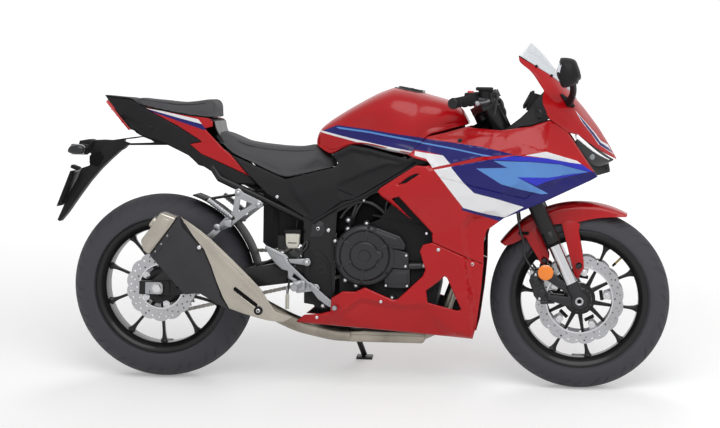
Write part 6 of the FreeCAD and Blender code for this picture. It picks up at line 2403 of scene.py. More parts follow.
@dataclass
class Chain:
    """Roller chain with its links, the rear sprocket and the drive sprocket's end.

    Args:
        rear: Rear sprocket's centre.
        lead: Drive sprocket's centre.
        big: Pitch radius of the rear sprocket.
        small: Pitch radius of the drive sprocket.
        line: Distance of the chain from the middle plane.
        pitch: Length of a link.
    """

    rear: Pair = (0.0, REAR_AXLE_Z)
    lead: Pair = (640.0, 400.0)
    big: float = 106.0
    small: float = 40.0
    line: float = 103.5
    pitch: float = 15.9

    def path(self, distance: float) -> tuple[Pair, float]:
        """Place and heading on the loop at a distance from its start.

        Args:
            distance: How far along the loop, from its start.

        Returns:
            The point as (x, z), and the heading in radians.
        """
        dx, dz = self.lead[0] - self.rear[0], self.lead[1] - self.rear[1]
        span, tilt = math.hypot(dx, dz), math.atan2(dz, dx)
        lean = math.acos((self.big - self.small) / span)
        straight = math.sqrt(span**2 - (self.big - self.small) ** 2)
        wrap_small, wrap_big = 2 * lean, 2 * (math.pi - lean)
        total = 2 * straight + wrap_small * self.small + wrap_big * self.big
        s = distance % total
        top = tilt + lean
        if s < straight:
            heading = top - math.pi / 2
            start = (self.rear[0] + self.big * math.cos(top), self.rear[1] + self.big * math.sin(top))
            return (start[0] + s * math.cos(heading), start[1] + s * math.sin(heading)), heading
        s -= straight
        if s < wrap_small * self.small:
            a = top - s / self.small
            spot = (self.lead[0] + self.small * math.cos(a), self.lead[1] + self.small * math.sin(a))
            return spot, a - math.pi / 2
        s -= wrap_small * self.small
        low = tilt - lean
        if s < straight:
            heading = low - math.pi / 2
            start = (self.lead[0] + self.small * math.cos(low), self.lead[1] + self.small * math.sin(low))
            return (start[0] + s * math.cos(heading), start[1] + s * math.sin(heading)), heading
        s -= straight
        a = low - s / self.big
        return (self.rear[0] + self.big * math.cos(a), self.rear[1] + self.big * math.sin(a)), a - math.pi / 2

    def length(self) -> float:
        """Length of the whole loop.

        Returns:
            The length of the closed loop.
        """
        dx, dz = self.lead[0] - self.rear[0], self.lead[1] - self.rear[1]
        span = math.hypot(dx, dz)
        lean = math.acos((self.big - self.small) / span)
        return 2 * span * math.sin(lean) + 2 * lean * self.small + 2 * (math.pi - lean) * self.big

    def build(self) -> None:
        """Links, then both sprockets."""
        count = 2 * round(self.length() / self.pitch / 2)
        step = self.length() / count
        half = step / 2
        waist, round_end = 4.2, 6.4
        plate = [
            (half - 4, round_end), (half + 3, round_end * 0.8), (half + round_end, 0),
            (half + 3, -round_end * 0.8), (half - 4, -round_end), (0, -waist), (4 - half, -round_end),
            (-half - 3, -round_end * 0.8), (-half - round_end, 0), (-half - 3, round_end * 0.8),
            (4 - half, round_end), (0, waist),
        ]
        links = []
        for kind, reach in ((0, 7.4), (1, 5.6)):
            parts = []
            for side in (1, -1):
                low, high = sorted((side * (reach - 1.8), side * reach))
                parts.append(slab("link_plate", plate, low, high, 0))
            for x in (-half, half):
                parts.append(lathe("pin", [(0, -8.2), (2.6, -8.2), (2.6, 8.2), (0, 8.2)] if kind == 0 else
                                   [(0, -5), (5, -5), (5, 5), (0, 5)], (x, 0, 0), steps=8))
            links.append(joined(f"link_{kind}", parts))
        loop = []
        for index in range(count):
            (x, z), _ = self.path(index * step)
            (x1, z1), _ = self.path((index + 1) * step)
            turn = Matrix.Translation(((x + x1) / 2, self.line, (z + z1) / 2)) @ Matrix.Rotation(
                -math.atan2(z1 - z, x1 - x), 4, "Y")
            loop.append(copy_of(links[index % 2], turn, "link"))
        for link in links:
            bpy.data.objects.remove(link)
        chain = dress(joined("chain_links", loop), CHAIN_STEEL)
        drive = self.sprocket("drive_sprocket", self.small, 15, 6)
        drive.data.transform(Matrix.Translation((self.lead[0], self.line - 3, self.lead[1])))
        deliver(joined("drive_chain_dressed", [chain, dress(drive, STEEL)]), "bike", replaces=["drive_chain"])
        wheel = self.sprocket("rear_teeth", self.big, 41, 6, windows=5)
        wheel.data.transform(Matrix.Translation((0, self.line - 3, 0)))
        carrier = lathe(
            "cush_carrier", [(30, 75.5), (66, 75.5), (70, 79), (70, 92), (62, 99), (30, 99)], steps=64,
            closed=True,
        )
        nuts = [lathe("sprocket_nut", [(0, 107), (7, 107), (8, 105), (8, 100), (0, 100)], (x, 0, z), steps=6)
                for x, z in circle(52, 6)]
        parts = [dress(wheel, STEEL), dress(carrier, WHEEL_BLACK), *[dress(n, BOLT) for n in nuts]]
        deliver(joined("rear_sprocket_dressed", parts), "rear_wheel", replaces=["rear_sprocket"],
                place=Place.REAR_WHEEL)

    def sprocket(
        self, name: str, radius: float, teeth: int, thick: float, windows: int = 0,
    ) -> bpy.types.Object:
        """Toothed plate about the y axis.

        Args:
            name: Name of the object.
            radius: Pitch radius.
            teeth: Number of teeth.
            thick: Thickness.
            windows: Number of openings.

        Returns:
            The sprocket.
        """
        outline = []
        for tooth in range(teeth):
            for share, height in (
                (0.0, -5.5), (0.18, -4.5), (0.36, 1.5), (0.5, 4.2), (0.64, 1.5), (0.82, -4.5),
            ):
                a = 2 * math.pi * (tooth + share) / teeth
                outline.append(((radius + height) * math.cos(a), (radius + height) * math.sin(a)))
        holes = [circle(16, 24)]
        for index in range(windows):
            a = 2 * math.pi * (index + 0.5) / windows
            holes.append(circle(11, 14, (radius * 0.76 * math.cos(a), radius * 0.76 * math.sin(a))))
        return slab(name, outline, -thick / 2 + 3, thick / 2 + 3, 0, holes=holes)
# ---------------------------------------------------------------- chassis and engine


@dataclass
class Frame:
    """Main frame with its pivot cover and rib, boss pads, caps and bolts.

    Args:
        face: Outer face of the pivot plates.
    """

    face: float = 142.0

    def build(self) -> None:
        """Frame casting first, then both sides' fittings."""
        body = dress(refined("main_frame", "main_frame_cast", 2.5), SATIN_BLACK)
        cover = slab(
            "pivot_cover",
            [
                (509, 447), (540, 452), (570, 430), (584, 405), (590, 300), (588, 263), (566, 254),
                (533, 262), (512, 300),
            ],
            -self.face - 2.8, -self.face + 3, 1.2,
        )
        depth = -self.face - 1.2
        rib = tube(
            "cover_rib",
            [(x, depth, z) for x, z in ((507, 447), (545, 428), (581, 404), (586, 350), (590, 300))], 2.0,
            2, 8,
        )
        pad = slab("boss_pad", [(514, 494), (556, 500), (566, 520), (558, 545), (536, 556), (520, 540)],
                   -self.face - 3, -self.face + 4, 1.6)
        bolts = studs("frame_bolts", [(540, 525), (560, 268), (575, 520)], -self.face - 3, -1, 8)
        cap = lathe(
            "boss_cap", [(0, 0), (16, 0), (16, 2.4), (13, 3.6), (0, 3.6)], (540, -self.face - 2.6, 525),
            (0, -1, 0), 28,
        )
        side = joined("frame_fittings", [dress(cover, MATT_BLACK), dress(rib, MATT_BLACK),
                                         dress(pad, CAST_BLACK), dress(cap, CAST_BLACK), dress(bolts, BOLT)])
        deliver(joined("main_frame_set", [body, with_mirror(side)]), "bike", replaces=["main_frame"])


@dataclass
class Engine:
    """Crankcase and head, bolted covers, starter, oil glass and the intake cluster above.

    Args:
        face: Half width of the crankcase.
    """

    face: float = 145.0

    def build(self) -> None:
        """Block, right covers, left covers and intake."""
        block_body = dress(refined("engine_block", "engine_block_cast", 4.0, 25), CAST_DARK)
        seams = [
            slab(
                "case_seam", [(618, 470), (640, 473), (930, 416), (930, 411), (640, 467), (618, 464)],
                -self.face - 2.5, self.face + 2.5, 1.0,
            ),
            slab(
                "head_seam", [(722, 577), (962, 530), (961, 525), (720, 571)], -self.face - 2,
                self.face + 2, 1.0,
            ),
            slab(
                "cover_seam", [(806, 664), (992, 628), (991, 623), (800, 658)], -self.face - 2,
                self.face + 2, 1.0,
            ),
        ]
        fins = [
            slab(
                f"case_rib_{i}",
                [(860 + 14 * i, 300), (864 + 14 * i, 300), (870 + 14 * i, 395), (866 + 14 * i, 395)],
                -self.face - 5, -self.face + 2, 1.0,
            )
            for i in range(4)
        ]
        parts = [block_body] + [dress(s, CAST_DARK) for s in (*seams, *fins)]
        deliver(joined("engine_case", parts), "bike", replaces=["engine_block"])
        self.right_covers()
        self.intake()

    def right_covers(self) -> None:
        """Clutch cover with its neighbours, the generator cover and the sprocket cover."""
        y = -self.face
        clutch = lathe(
            "clutch_cover",
            [
                (0, 0), (104, 0), (104, 20), (102, 28), (96, 35), (90, 38), (85, 38.5), (83, 42),
                (81.5, 48), (78, 51.5), (72, 52), (60, 50), (50, 50), (47, 53), (45.5, 57.5), (42, 60),
                (22, 60), (19, 57), (0, 56.5),
            ],
            (701, y, 441), (0, -1, 0), 72,
        )
        tab = slab(
            "clutch_tab", [(735, 462), (757, 456), (763, 446), (757, 434), (735, 424), (720, 442)], y - 58,
            y - 40, 2.5,
        )
        ribs = [
            slab(
                f"clutch_rib_{i}", self.spoke((701, 441), 45, 82, math.radians(a), 5),
                y - 53.5, y - 46, 1.2,
            )
            for i, a in enumerate((25, 85, 145, 205, 265, 325))
        ]
        lugs = [
            (600, 486), (605, 420), (636, 357), (642, 527), (643, 556), (704, 546), (792, 301), (757, 290),
            (672, 340),
        ]
        bosses = [
            rod(f"case_lug_{i}", (x, y + 4, z), (x, y - 20, z), 12, 10.5, 20, 1.5)
            for i, (x, z) in enumerate(lugs)
        ]
        cap_bolts = studs("cover_bolts", lugs, y - 20, -1, 6.5)
        ring_bolts = studs("ring_bolts", circle(93, 6, (701, 441), 0.4), y - 36.5, -1, 5)
        trapeze = slab(
            "breather_box", [(704, 476), (720, 527), (740, 535), (818, 508), (836, 482), (832, 462)],
            y - 40, y + 4, 5, segments=3,
        )
        ledge = slab(
            "breather_ledge", [(716, 489), (728, 519), (741, 525), (808, 501), (822, 484), (819, 474)],
            y - 43.5, y - 36, 2,
        )
        cover = slab(
            "pump_cover", [(728, 490), (847, 452), (846, 398), (764, 402), (752, 440)], y - 32, y + 4, 4,
            segments=3,
        )
        block_low = slab(
            "pump_block", [(765, 398), (850, 398), (852, 342), (838, 334), (768, 336)], y - 25, y + 4, 3,
        )
        inner = slab("pump_panel", [(776, 388), (842, 388), (843, 350), (780, 346)], y - 28, y - 22, 2)
        starter = rod("starter_motor", (842, y - 12, 407), (892, y - 12, 409), 13.5, steps=28, bevel=3)
        starter_end = rod("starter_end", (888, y - 12, 409), (902, y - 12, 409.5), 9, steps=22, bevel=2)
        ring = lathe(
            "glass_ring", [(0, 0), (17, 0), (17, 4), (14, 7), (10, 7), (9.5, 5), (0, 5)], (703, y - 2, 310),
            (0, -1, 0), 30,
        )
        glass = lathe("oil_glass", [(0, 5), (9.4, 5), (7, 6.2), (0, 6.6)], (703, y - 2, 310), (0, -1, 0), 24)
        pan_line = slab(
            "pan_flange",
            [
                (628, 262), (700, 205), (890, 205), (905, 219), (905, 224), (886, 212), (704, 212),
                (632, 270),
            ],
            y - 6, y + 3, 1.2,
        )
        metal = [clutch, tab, *ribs, *bosses, trapeze, ledge, cover, block_low, inner, ring, pan_line]
        right = [dress(m, CAST_BLACK) for m in metal]
        pump_bolts = studs(
            "pump_bolts", [(774, 412), (836, 408), (838, 444), (772, 343), (842, 343)], y - 31, -1, 5,
        )
        right += [
            dress(cap_bolts, BOLT), dress(ring_bolts, SATIN_BLACK), dress(starter, CAST_BLACK),
            dress(starter_end, CHAIN_STEEL), dress(glass, SMOKE_LENS), dress(pump_bolts, BOLT),
        ]
        generator = lathe(
            "generator_cover",
            [
                (0, 0), (72, 0), (72, 16), (70, 22), (64, 26), (56, 26.5), (54, 28.5), (50, 30), (24, 30),
                (22, 28), (0, 28),
            ],
            (803, self.face, 345), (0, 1, 0), 60,
        )
        hub = lathe(
            "generator_plug", [(0, 27), (14, 27), (14, 29.6), (6, 30), (5, 28), (0, 28)],
            (803, self.face, 345), (0, 1, 0), 20,
        )
        sprocket = slab(
            "sprocket_cover",
            [(605, 345), (628, 330), (693, 335), (709, 400), (693, 468), (628, 472), (605, 440)], self.face,
            self.face + 12.6, 3, segments=3,
        )
        panel = slab(
            "sprocket_panel",
            [(620, 362), (636, 348), (680, 352), (692, 400), (680, 452), (636, 456), (620, 432)],
            self.face + 11, self.face + 14.5, 1.5,
        )
        left_bolts = studs(
            "left_bolts", [*circle(66, 6, (803, 345), 0.3), (616, 352), (688, 344), (688, 460), (618, 446)],
            self.face + 13, 1, 5,
        )
        left = [dress(m, CAST_BLACK) for m in (generator, hub, sprocket, panel)] + [dress(left_bolts, BOLT)]
        deliver(
            joined("engine_cover_set", right + left), "bike", replaces=["engine_covers"],
        )

    def intake(self) -> None:
        """Airbox, throttle bodies, injectors, rail and hoses between the frame beams, and a slab of painted
        shade in the gap below the tank's front.
        """
        box = slab(
            "airbox", [(598, 510), (690, 540), (745, 560), (806, 650), (812, 706), (596, 706)], -104, 104,
            9, segments=3,
        )
        # Dark slab of painted shade that fills the gap between the tank and the side fairings.
        gap_shade = slab(
            "tank_apron", [(905, 790), (905, 850), (975, 878), (1004, 888), (1014, 866), (980, 800)], -88,
            88, 6,
        )
        parts = [dress(box, BLACK_AND_SHADE), dress(gap_shade, BLACK_AND_SHADE)]
        for i, y in enumerate((-45, 45)):
            parts.append(dress(rod(f"throttle_{i}", (706, y, 600), (790, y, 628), 27, 30, 28, 2), CAST_DARK))
            parts.append(dress(rod(f"injector_{i}", (726, y - 8, 650), (742, y - 8, 620), 7, steps=16), BOLT))
        parts.append(dress(rod("fuel_rail", (724, -100, 652), (724, 100, 652), 6, steps=18), ALLOY))
        spots = [
            [(612, -118, 560), (640, -124, 604), (690, -122, 622), (744, -116, 598), (770, -118, 566)],
            [(640, -112, 520), (652, -122, 570), (676, -120, 640), (720, -114, 676)],
            [(780, -112, 640), (742, -120, 655), (700, -122, 640), (660, -120, 580), (650, -112, 540)],
            [(850, -140, 690), (812, -128, 660), (770, -122, 630), (760, -118, 586), (766, -120, 546)],
        ]
        for i, run in enumerate(spots):
            parts.append(dress(tube(f"intake_hose_{i}", run, 6.5 - i, 3, 8), HOSE))
        for i, (x, z) in enumerate([(690, 622), (742, 655)]):
            clip = lathe(
                f"hose_clip_{i}", [(7.6, -3), (8.6, -3), (8.6, 3), (7.6, 3)], (x, -121.5, z), (1, 0, 0), 18,
                closed=True,
            )
            parts.append(dress(clip, BOLT))
        deliver(joined("intake_cluster", parts), "bike")

    def spoke(self, centre: Pair, near: float, far: float, angle: float, half: float) -> list[Pair]:
        """Outline of a rib that points away from a centre.

        Args:
            centre: The centre.
            near: Where the rib starts.
            far: Where it ends.
            angle: Its direction, in radians.
            half: Half its width.

        Returns:
            The four corners.
        """
        out = Vector((math.cos(angle), math.sin(angle)))
        side = Vector((-out.y, out.x)) * half
        start, end = Vector(centre) + out * near, Vector(centre) + out * far
        return [tuple(p) for p in (start - side, end - side, end + side, start + side)]


@dataclass
class Radiator:
    """Finned core between two end tanks, with its mounting ears, hoses, fan and shroud."""

    def build(self) -> None:
        """Core, tanks and fittings."""
        core = dress(block("radiator_core", (1062, -150, 492), (1083, 150, 728), 0.5, 1), FINS)
        tanks = [
            block(
                f"radiator_tank_{s}", (1060, min(s * 148, s * 165), 482),
                (1085, max(s * 148, s * 165), 738), 4,
            )
            for s in (1, -1)
        ]
        bars = [
            block("radiator_top", (1060, -152, 726), (1085, 152, 740), 3),
            block("radiator_foot", (1060, -152, 480), (1085, 152, 494), 3),
        ]
        ears = [
            slab(
                f"radiator_ear_{s}", [(1040, 590), (1066, 584), (1066, 616), (1040, 610)], s * 128 - 6,
                s * 128 + 6, 1.5,
            )
            for s in (1, -1)
        ]
        shroud = lathe(
            "fan_shroud", [(96, 0), (100, 0), (100, 20), (96, 22), (93, 20), (93, 2)], (1060, 0, 610),
            (-1, 0, 0), 48, closed=True,
        )
        hub = lathe("fan_hub", [(0, 4), (26, 4), (26, 20), (22, 24), (0, 24)], (1060, 0, 610), (-1, 0, 0), 28)
        blades = [self.blade(i) for i in range(7)]
        hoses = [
            tube(
                "lower_hose", [(1070, -140, 484), (1060, -144, 462), (1022, -140, 446), (976, -120, 440)],
                15, 4, 8,
            ),
            tube(
                "upper_hose", [(1072, 138, 736), (1066, 140, 752), (1030, 130, 748), (984, 100, 716)], 14,
                4, 8,
            ),
        ]
        parts = [core] + [dress(p, SATIN_BLACK) for p in (*tanks, *bars, *ears)]
        parts += [dress(p, BLACK_AND_SHADE) for p in (shroud, hub, *blades)] + [dress(h, HOSE) for h in hoses]
        deliver(joined("radiator_set", parts), "bike", replaces=["radiator"])

    def blade(self, index: int) -> bpy.types.Object:
        """One curved fan blade behind the core.

        Args:
            index: Number of the blade.

        Returns:
            The blade.
        """
        vane = slab(
            f"fan_blade_{index}", [(24, -10), (60, -22), (88, -14), (90, 6), (62, 4), (26, 12)],
            -1.2, 1.2, 0.5,
        )
        vane.data.transform(Matrix.Rotation(math.radians(24), 4, "X"))
        spin = Matrix.Rotation(2 * math.pi * index / 7, 4, "X") @ Matrix.Rotation(math.radians(90), 4, "Z")
        vane.data.transform(Matrix.Translation((1046, 0, 610)) @ spin)
        return vane


@dataclass
class Swingarm:
    """Swingarm with adjuster slots, weld beads, chain rubber and brake hose guides."""

    def build(self) -> None:
        """Arm and what is fixed to it."""
        arm = dress(refined("swingarm", "swingarm_cast", 3.0, 28), SATIN_BLACK)
        beads = [tube(f"weld_{i}", run, 2.2, 2, 6) for i, run in enumerate([
            [(40, -146.2, 292), (44, -147, 313), (40, -146.2, 336)],
            [(372, -121, 332), (377, -121, 365), (372, -121, 399)],
        ])]
        rubber = slab(
            "chain_rubber",
            [
                (430, 404), (500, 420), (560, 428), (588, 410), (584, 404), (556, 421), (500, 414),
                (430, 398),
            ],
            86, 110, 1.2,
        )
        guides = [
            block("hose_guide_1", (200, -128, 352), (216, -119, 366), 2),
            block("hose_guide_2", (330, -118, 388), (346, -109, 402), 2),
        ]
        line = tube(
            "rear_hose",
            [
                (96, -84, 424), (130, -96, 440), (180, -118, 380), (208, -124, 360), (270, -120, 374),
                (338, -113, 396), (400, -112, 424), (452, -118, 452),
            ],
            3.2, 3, 8,
        )
        parts = [arm] + [dress(b, SATIN_BLACK) for b in beads] + [dress(rubber, SOFT_RUBBER)]
        parts += [dress(g, MATT_BLACK) for g in guides] + [dress(line, HOSE)]
        deliver(joined("swingarm_set", parts), "bike", replaces=["swingarm"])


@dataclass
class RearAxle:
    """Rear axle, its adjuster blocks and bolts, and the swingarm pivot."""

    def build(self) -> None:
        """Axle along y, then the parts on each side."""
        axle = lathe(
            "rear_axle", [(0, -161), (12.2, -161), (12.2, 161), (0, 161)],
            (0, 0, REAR_AXLE_Z), (0, 1, 0), 32,
        )
        parts = [dress(axle, STEEL)]
        for s in (1, -1):
            low, high = sorted((s * 146.4, s * 153.8))
            plate = slab(
                f"adjuster_{s}",
                [
                    (-40, REAR_AXLE_Z - 20), (14, REAR_AXLE_Z - 20), (20, REAR_AXLE_Z - 12),
                    (20, REAR_AXLE_Z + 12), (14, REAR_AXLE_Z + 20), (-40, REAR_AXLE_Z + 20),
                ],
                low, high, 1.4,
            )
            mark = block(
                f"adjuster_mark_{s}", (-26, s * 153.4 - 0.8, REAR_AXLE_Z - 17),
                (-24, s * 153.4 + 0.8, REAR_AXLE_Z - 9), 0.3, 1,
            )
            washer = lathe(
                f"axle_washer_{s}", [(12.4, 0), (19.5, 0), (19.5, 2.4), (12.4, 2.4)],
                (0, s * 153.8, REAR_AXLE_Z), (0, s, 0), 32, closed=True,
            )
            nut = lathe(
                f"axle_nut_{s}", [(0, 0), (16, 0), (16, 6), (14, 7.8), (0, 7.8)],
                (0, s * 154.1, REAR_AXLE_Z), (0, s, 0), 6,
            )
            screw = rod(
                f"adjuster_screw_{s}", (-60, s * 133, REAR_AXLE_Z), (-30, s * 133, REAR_AXLE_Z), 4.5,
                steps=16,
            )
            lock = lathe(
                f"lock_nut_{s}", [(0, 0), (8, 0), (8, 5), (0, 5)],
                (-61, s * 133, REAR_AXLE_Z), (1, 0, 0), 6,
            )
            head = lathe(
                f"pivot_bolt_{s}", [(0, 0), (17, 0), (17, 2), (14, 3), (9, 3), (8, 1.2), (0, 1.2)],
                (553, s * 142.3, 388), (0, s, 0), 32,
            )
            parts += [
                dress(plate, ALLOY), dress(mark, BLACK_AND_SHADE), dress(washer, STEEL), dress(nut, BOLT),
                dress(screw, BOLT), dress(lock, BOLT), dress(head, SATIN_BLACK),
            ]
        pivot = rod("pivot_shaft", (553, -141, 388), (553, 141, 388), 10, steps=24)
        deliver(
            joined("axle_and_pivot_set", [*parts, dress(pivot, STEEL)]), "bike",
            replaces=["axle_and_pivot"],
        )


@dataclass
class Shock:
    """Rear shock with a coil spring round its body.

    Args:
        foot: Lower eye.
        head: Upper eye.
        turns: Coils of the spring.
    """

    foot: Triple = (483, 0, 420.4)
    head: Triple = (528, 0, 627.6)
    turns: float = 7.0

    def build(self) -> None:
        """Body, spring seats, spring and eyes."""
        span = (Vector(self.head) - Vector(self.foot)).length
        axis = Vector(self.head) - Vector(self.foot)
        body = lathe(
            "shock_body",
            [
                (0, 0), (14, 0), (16, 4), (16, 20), (27, 22), (27, 27), (17, 29), (17, 84), (9, 86),
                (9, span - 40), (27, span - 38), (27, span - 31), (20, span - 29), (20, span - 12),
                (14, span), (0, span),
            ],
            self.foot, axis, 36,
        )
        count = int(self.turns * 12)
        path = [
            (
                21.5 * math.cos(i * math.pi / 6), 21.5 * math.sin(i * math.pi / 6),
                32 + (span - 76) * i / count,
            )
            for i in range(count + 1)
        ]
        spring = tube("shock_spring", path, 5.2, 3, 2)
        spring.data.transform(turned(axis, self.foot))
        parts = [dress(body, SATIN_BLACK), dress(spring, SILVER_PLASTIC)]
        for name, spot in (("foot", self.foot), ("head", self.head)):
            eye = rod(
                f"shock_eye_{name}", (spot[0], -17, spot[2]), (spot[0], 17, spot[2]), 13, steps=24, bevel=2,
            )
            parts.append(dress(eye, CAST_BLACK))
        deliver(joined("rear_shock_set", parts), "bike", replaces=["rear_shock"])


@dataclass
class Exhaust:
    """Headers, chamber and tail pipe, then the silencer with its bright cap and heat shield.

    Args:
        header: Radius of the headers.
        tail: Radius of the tail pipe.
    """

    header: float = 19.0
    tail: float = 26.0

    def build(self) -> None:
        """Pipes, silencer and trim."""
        parts = []
        for i, y in enumerate((-45, 45)):
            route = [
                (1004, y, 602), (1022, y, 604), (1036, y, 588), (1035, y, 500), (1028, y, 432),
                (972, y, 292), (950, y, 206), (920, y * 0.85, 182), (880, y * 0.7, 166),
            ]
            flange = lathe(
                f"header_flange_{i}", [(19.5, 0), (31, 0), (31, 6), (19.5, 6)], (1001, y, 601),
                (1, 0, 0.05), 28, closed=True,
            )
            parts += [dress(tube(f"header_{i}", route, self.header, 6, 8), PIPE_STEEL), dress(flange, STEEL)]
        chamber = slab(
            "collector_box",
            [
                (593, 176), (598, 146), (640, 142), (890, 142), (898, 152), (898, 178), (860, 183),
                (693, 184),
            ],
            -80, 62, 7, segments=3,
        )
        seam = slab("collector_seam", [(600, 163), (894, 163), (894, 167), (600, 167)], -82, 64, 1)
        tail = tube(
            "tail_pipe",
            [
                (640, -62, 168), (600, -74, 168), (530, -100, 186), (463, -126, 205), (362, -163, 262),
                (262, -200, 322), (215, -212, 350),
            ],
            self.tail, 7, 8,
        )
        clamp = lathe(
            "tail_clamp", [(26.4, -9), (29, -9), (29, 9), (26.4, 9)], (300, -186, 299), (100, 37, -59), 36,
            closed=True,
        )
        parts += [
            dress(chamber, PIPE_STEEL), dress(seam, PIPE_STEEL), dress(tail, PIPE_STEEL),
            dress(clamp, STEEL),
        ]
        deliver(joined("exhaust_set", parts), "bike", replaces=["exhaust_pipes"])
        self.silencer()

    def silencer(self) -> None:
        """Matt body, bright cap with its outlet, and the pierced heat shield."""
        body = slab(
            "silencer_body",
            [
                (84, 556), (93, 559), (102, 524), (174, 454), (197, 402), (235, 296), (262, 258),
                (244, 262), (160, 309), (112, 303), (60, 358), (-8, 431), (54, 514),
            ],
            -252, -168, 9, segments=4,
        )
        band = slab("silencer_band", [(58, 506), (66, 500), (8, 424), (0, 430)], -253.6, -166.4, 1.4)
        rivets = studs("silencer_rivets", [(52, 497), (31, 469), (12, 444)], -251.5, -1, 4)
        deliver(
            joined("silencer_set", [dress(body, GUNMETAL), dress(band, GUNMETAL), dress(rivets, STEEL)]),
            "bike", replaces=["silencer"],
        )
        cap = slab(
            "silencer_cap",
            [
                (-8.6, 430.6), (53.4, 514.4), (83, 556), (28, 575), (10, 548), (-9, 518), (-38, 480),
                (-34, 462), (-29, 446),
            ],
            -254, -166, 8, segments=4,
        )
        step = slab(
            "cap_step", [(-18, 452), (-4, 446), (50, 520), (62, 548), (34, 558), (6, 520), (-20, 482)],
            -255.6, -250, 1.8,
        )
        outlet = lathe(
            "silencer_outlet", [(17, 0), (21, 0), (21, 14), (20, 15.5), (17, 15.5)], (6, -210, 534),
            (-0.82, 0, 0.57), 32, closed=True,
        )
        # Dark disc set inside the outlet: painted shade for the depth of the pipe.
        mouth = lathe(
            "silencer_mouth", [(0, 8), (17.4, 8), (17.4, 9), (0, 9)], (6, -210, 534), (-0.82, 0, 0.57), 32,
        )
        slot_hole = [(276, 330), (282, 334), (356, 279), (356, 272), (350, 268), (276, 322)]
        outline = [
            (96, 562), (130, 540), (169, 513), (200, 488), (229, 462), (272, 422), (312, 384), (365, 331),
            (392, 290), (415, 256), (440, 247), (472, 241), (458, 230), (440, 221), (400, 224), (365, 231),
            (310, 246), (262, 262), (240, 300), (218, 352), (200, 402), (176, 455), (140, 498),
        ]
        shield = slab("heat_shield", outline, -258, -255, 1.2, holes=[slot_hole])
        # Dark strip behind the shield's slot: painted shade in place of the dim space behind it.
        slot_shade = slab(
            "shield_backing", [(270, 320), (282, 340), (362, 284), (360, 262)], -254.6, -253.4, 0.4,
        )
        crease = slab(
            "shield_crease",
            [
                (104, 551), (172, 502), (232, 452), (315, 374), (366, 322), (404, 262), (398, 262),
                (360, 318), (309, 368), (227, 446), (170, 494), (110, 540),
            ],
            -259.4, -257, 0.8,
        )
        standoffs = [
            rod(f"shield_post_{i}", (x, -255, z), (x, y, z), 7, steps=16)
            for i, (x, y, z) in enumerate([(161, -251.6, 460), (359, -170, 259)])
        ]
        grommet = lathe(
            "shield_grommet", [(0, 0), (14.5, 0), (14.5, 3), (12, 5), (0, 5)], (359, -257.6, 257),
            (0, -1, 0), 28,
        )
        bolt = studs("shield_bolt", [(359, 257), (160, 461)], -260, -1, 8)
        parts = [dress(p, CHAMPAGNE) for p in (cap, step, shield, crease, outlet)]
        parts += [dress(p, BLACK_AND_SHADE) for p in (mouth, slot_shade)]
        parts += [dress(grommet, SOFT_RUBBER), dress(bolt, BOLT)]
        parts += [dress(s, SATIN_BLACK) for s in standoffs]
        deliver(joined("silencer_trim_set", parts), "bike", replaces=["silencer_trim"])


@dataclass
class InnerGuard:
    """Moulded guard and battery tray between the rear wheel and the shock."""

    def build(self) -> None:
        """Guard with a lid line, strap and leads."""
        body = dress(refined("inner_guard", "inner_guard_moulding", 2.0), MATT_BLACK)
        lid = block("tray_lip", (343, -72, 596), (442, 72, 606), 2)
        strap = block("tray_strap", (380, -74, 452), (398, -69.6, 600), 1)
        leads = [tube(f"lead_{i}", run, 3, 2, 6) for i, run in enumerate([
            [(440, -62, 700), (470, -80, 660), (500, -92, 600), (540, -98, 560), (600, -104, 560)],
            [(436, -66, 690), (462, -84, 640), (470, -88, 560), (452, -80, 480)],
        ])]
        parts = [body, dress(lid, MATT_BLACK), dress(strap, SOFT_RUBBER)] + [dress(l, HOSE) for l in leads]
        deliver(joined("inner_guard_set", parts), "bike", replaces=["inner_guard"])


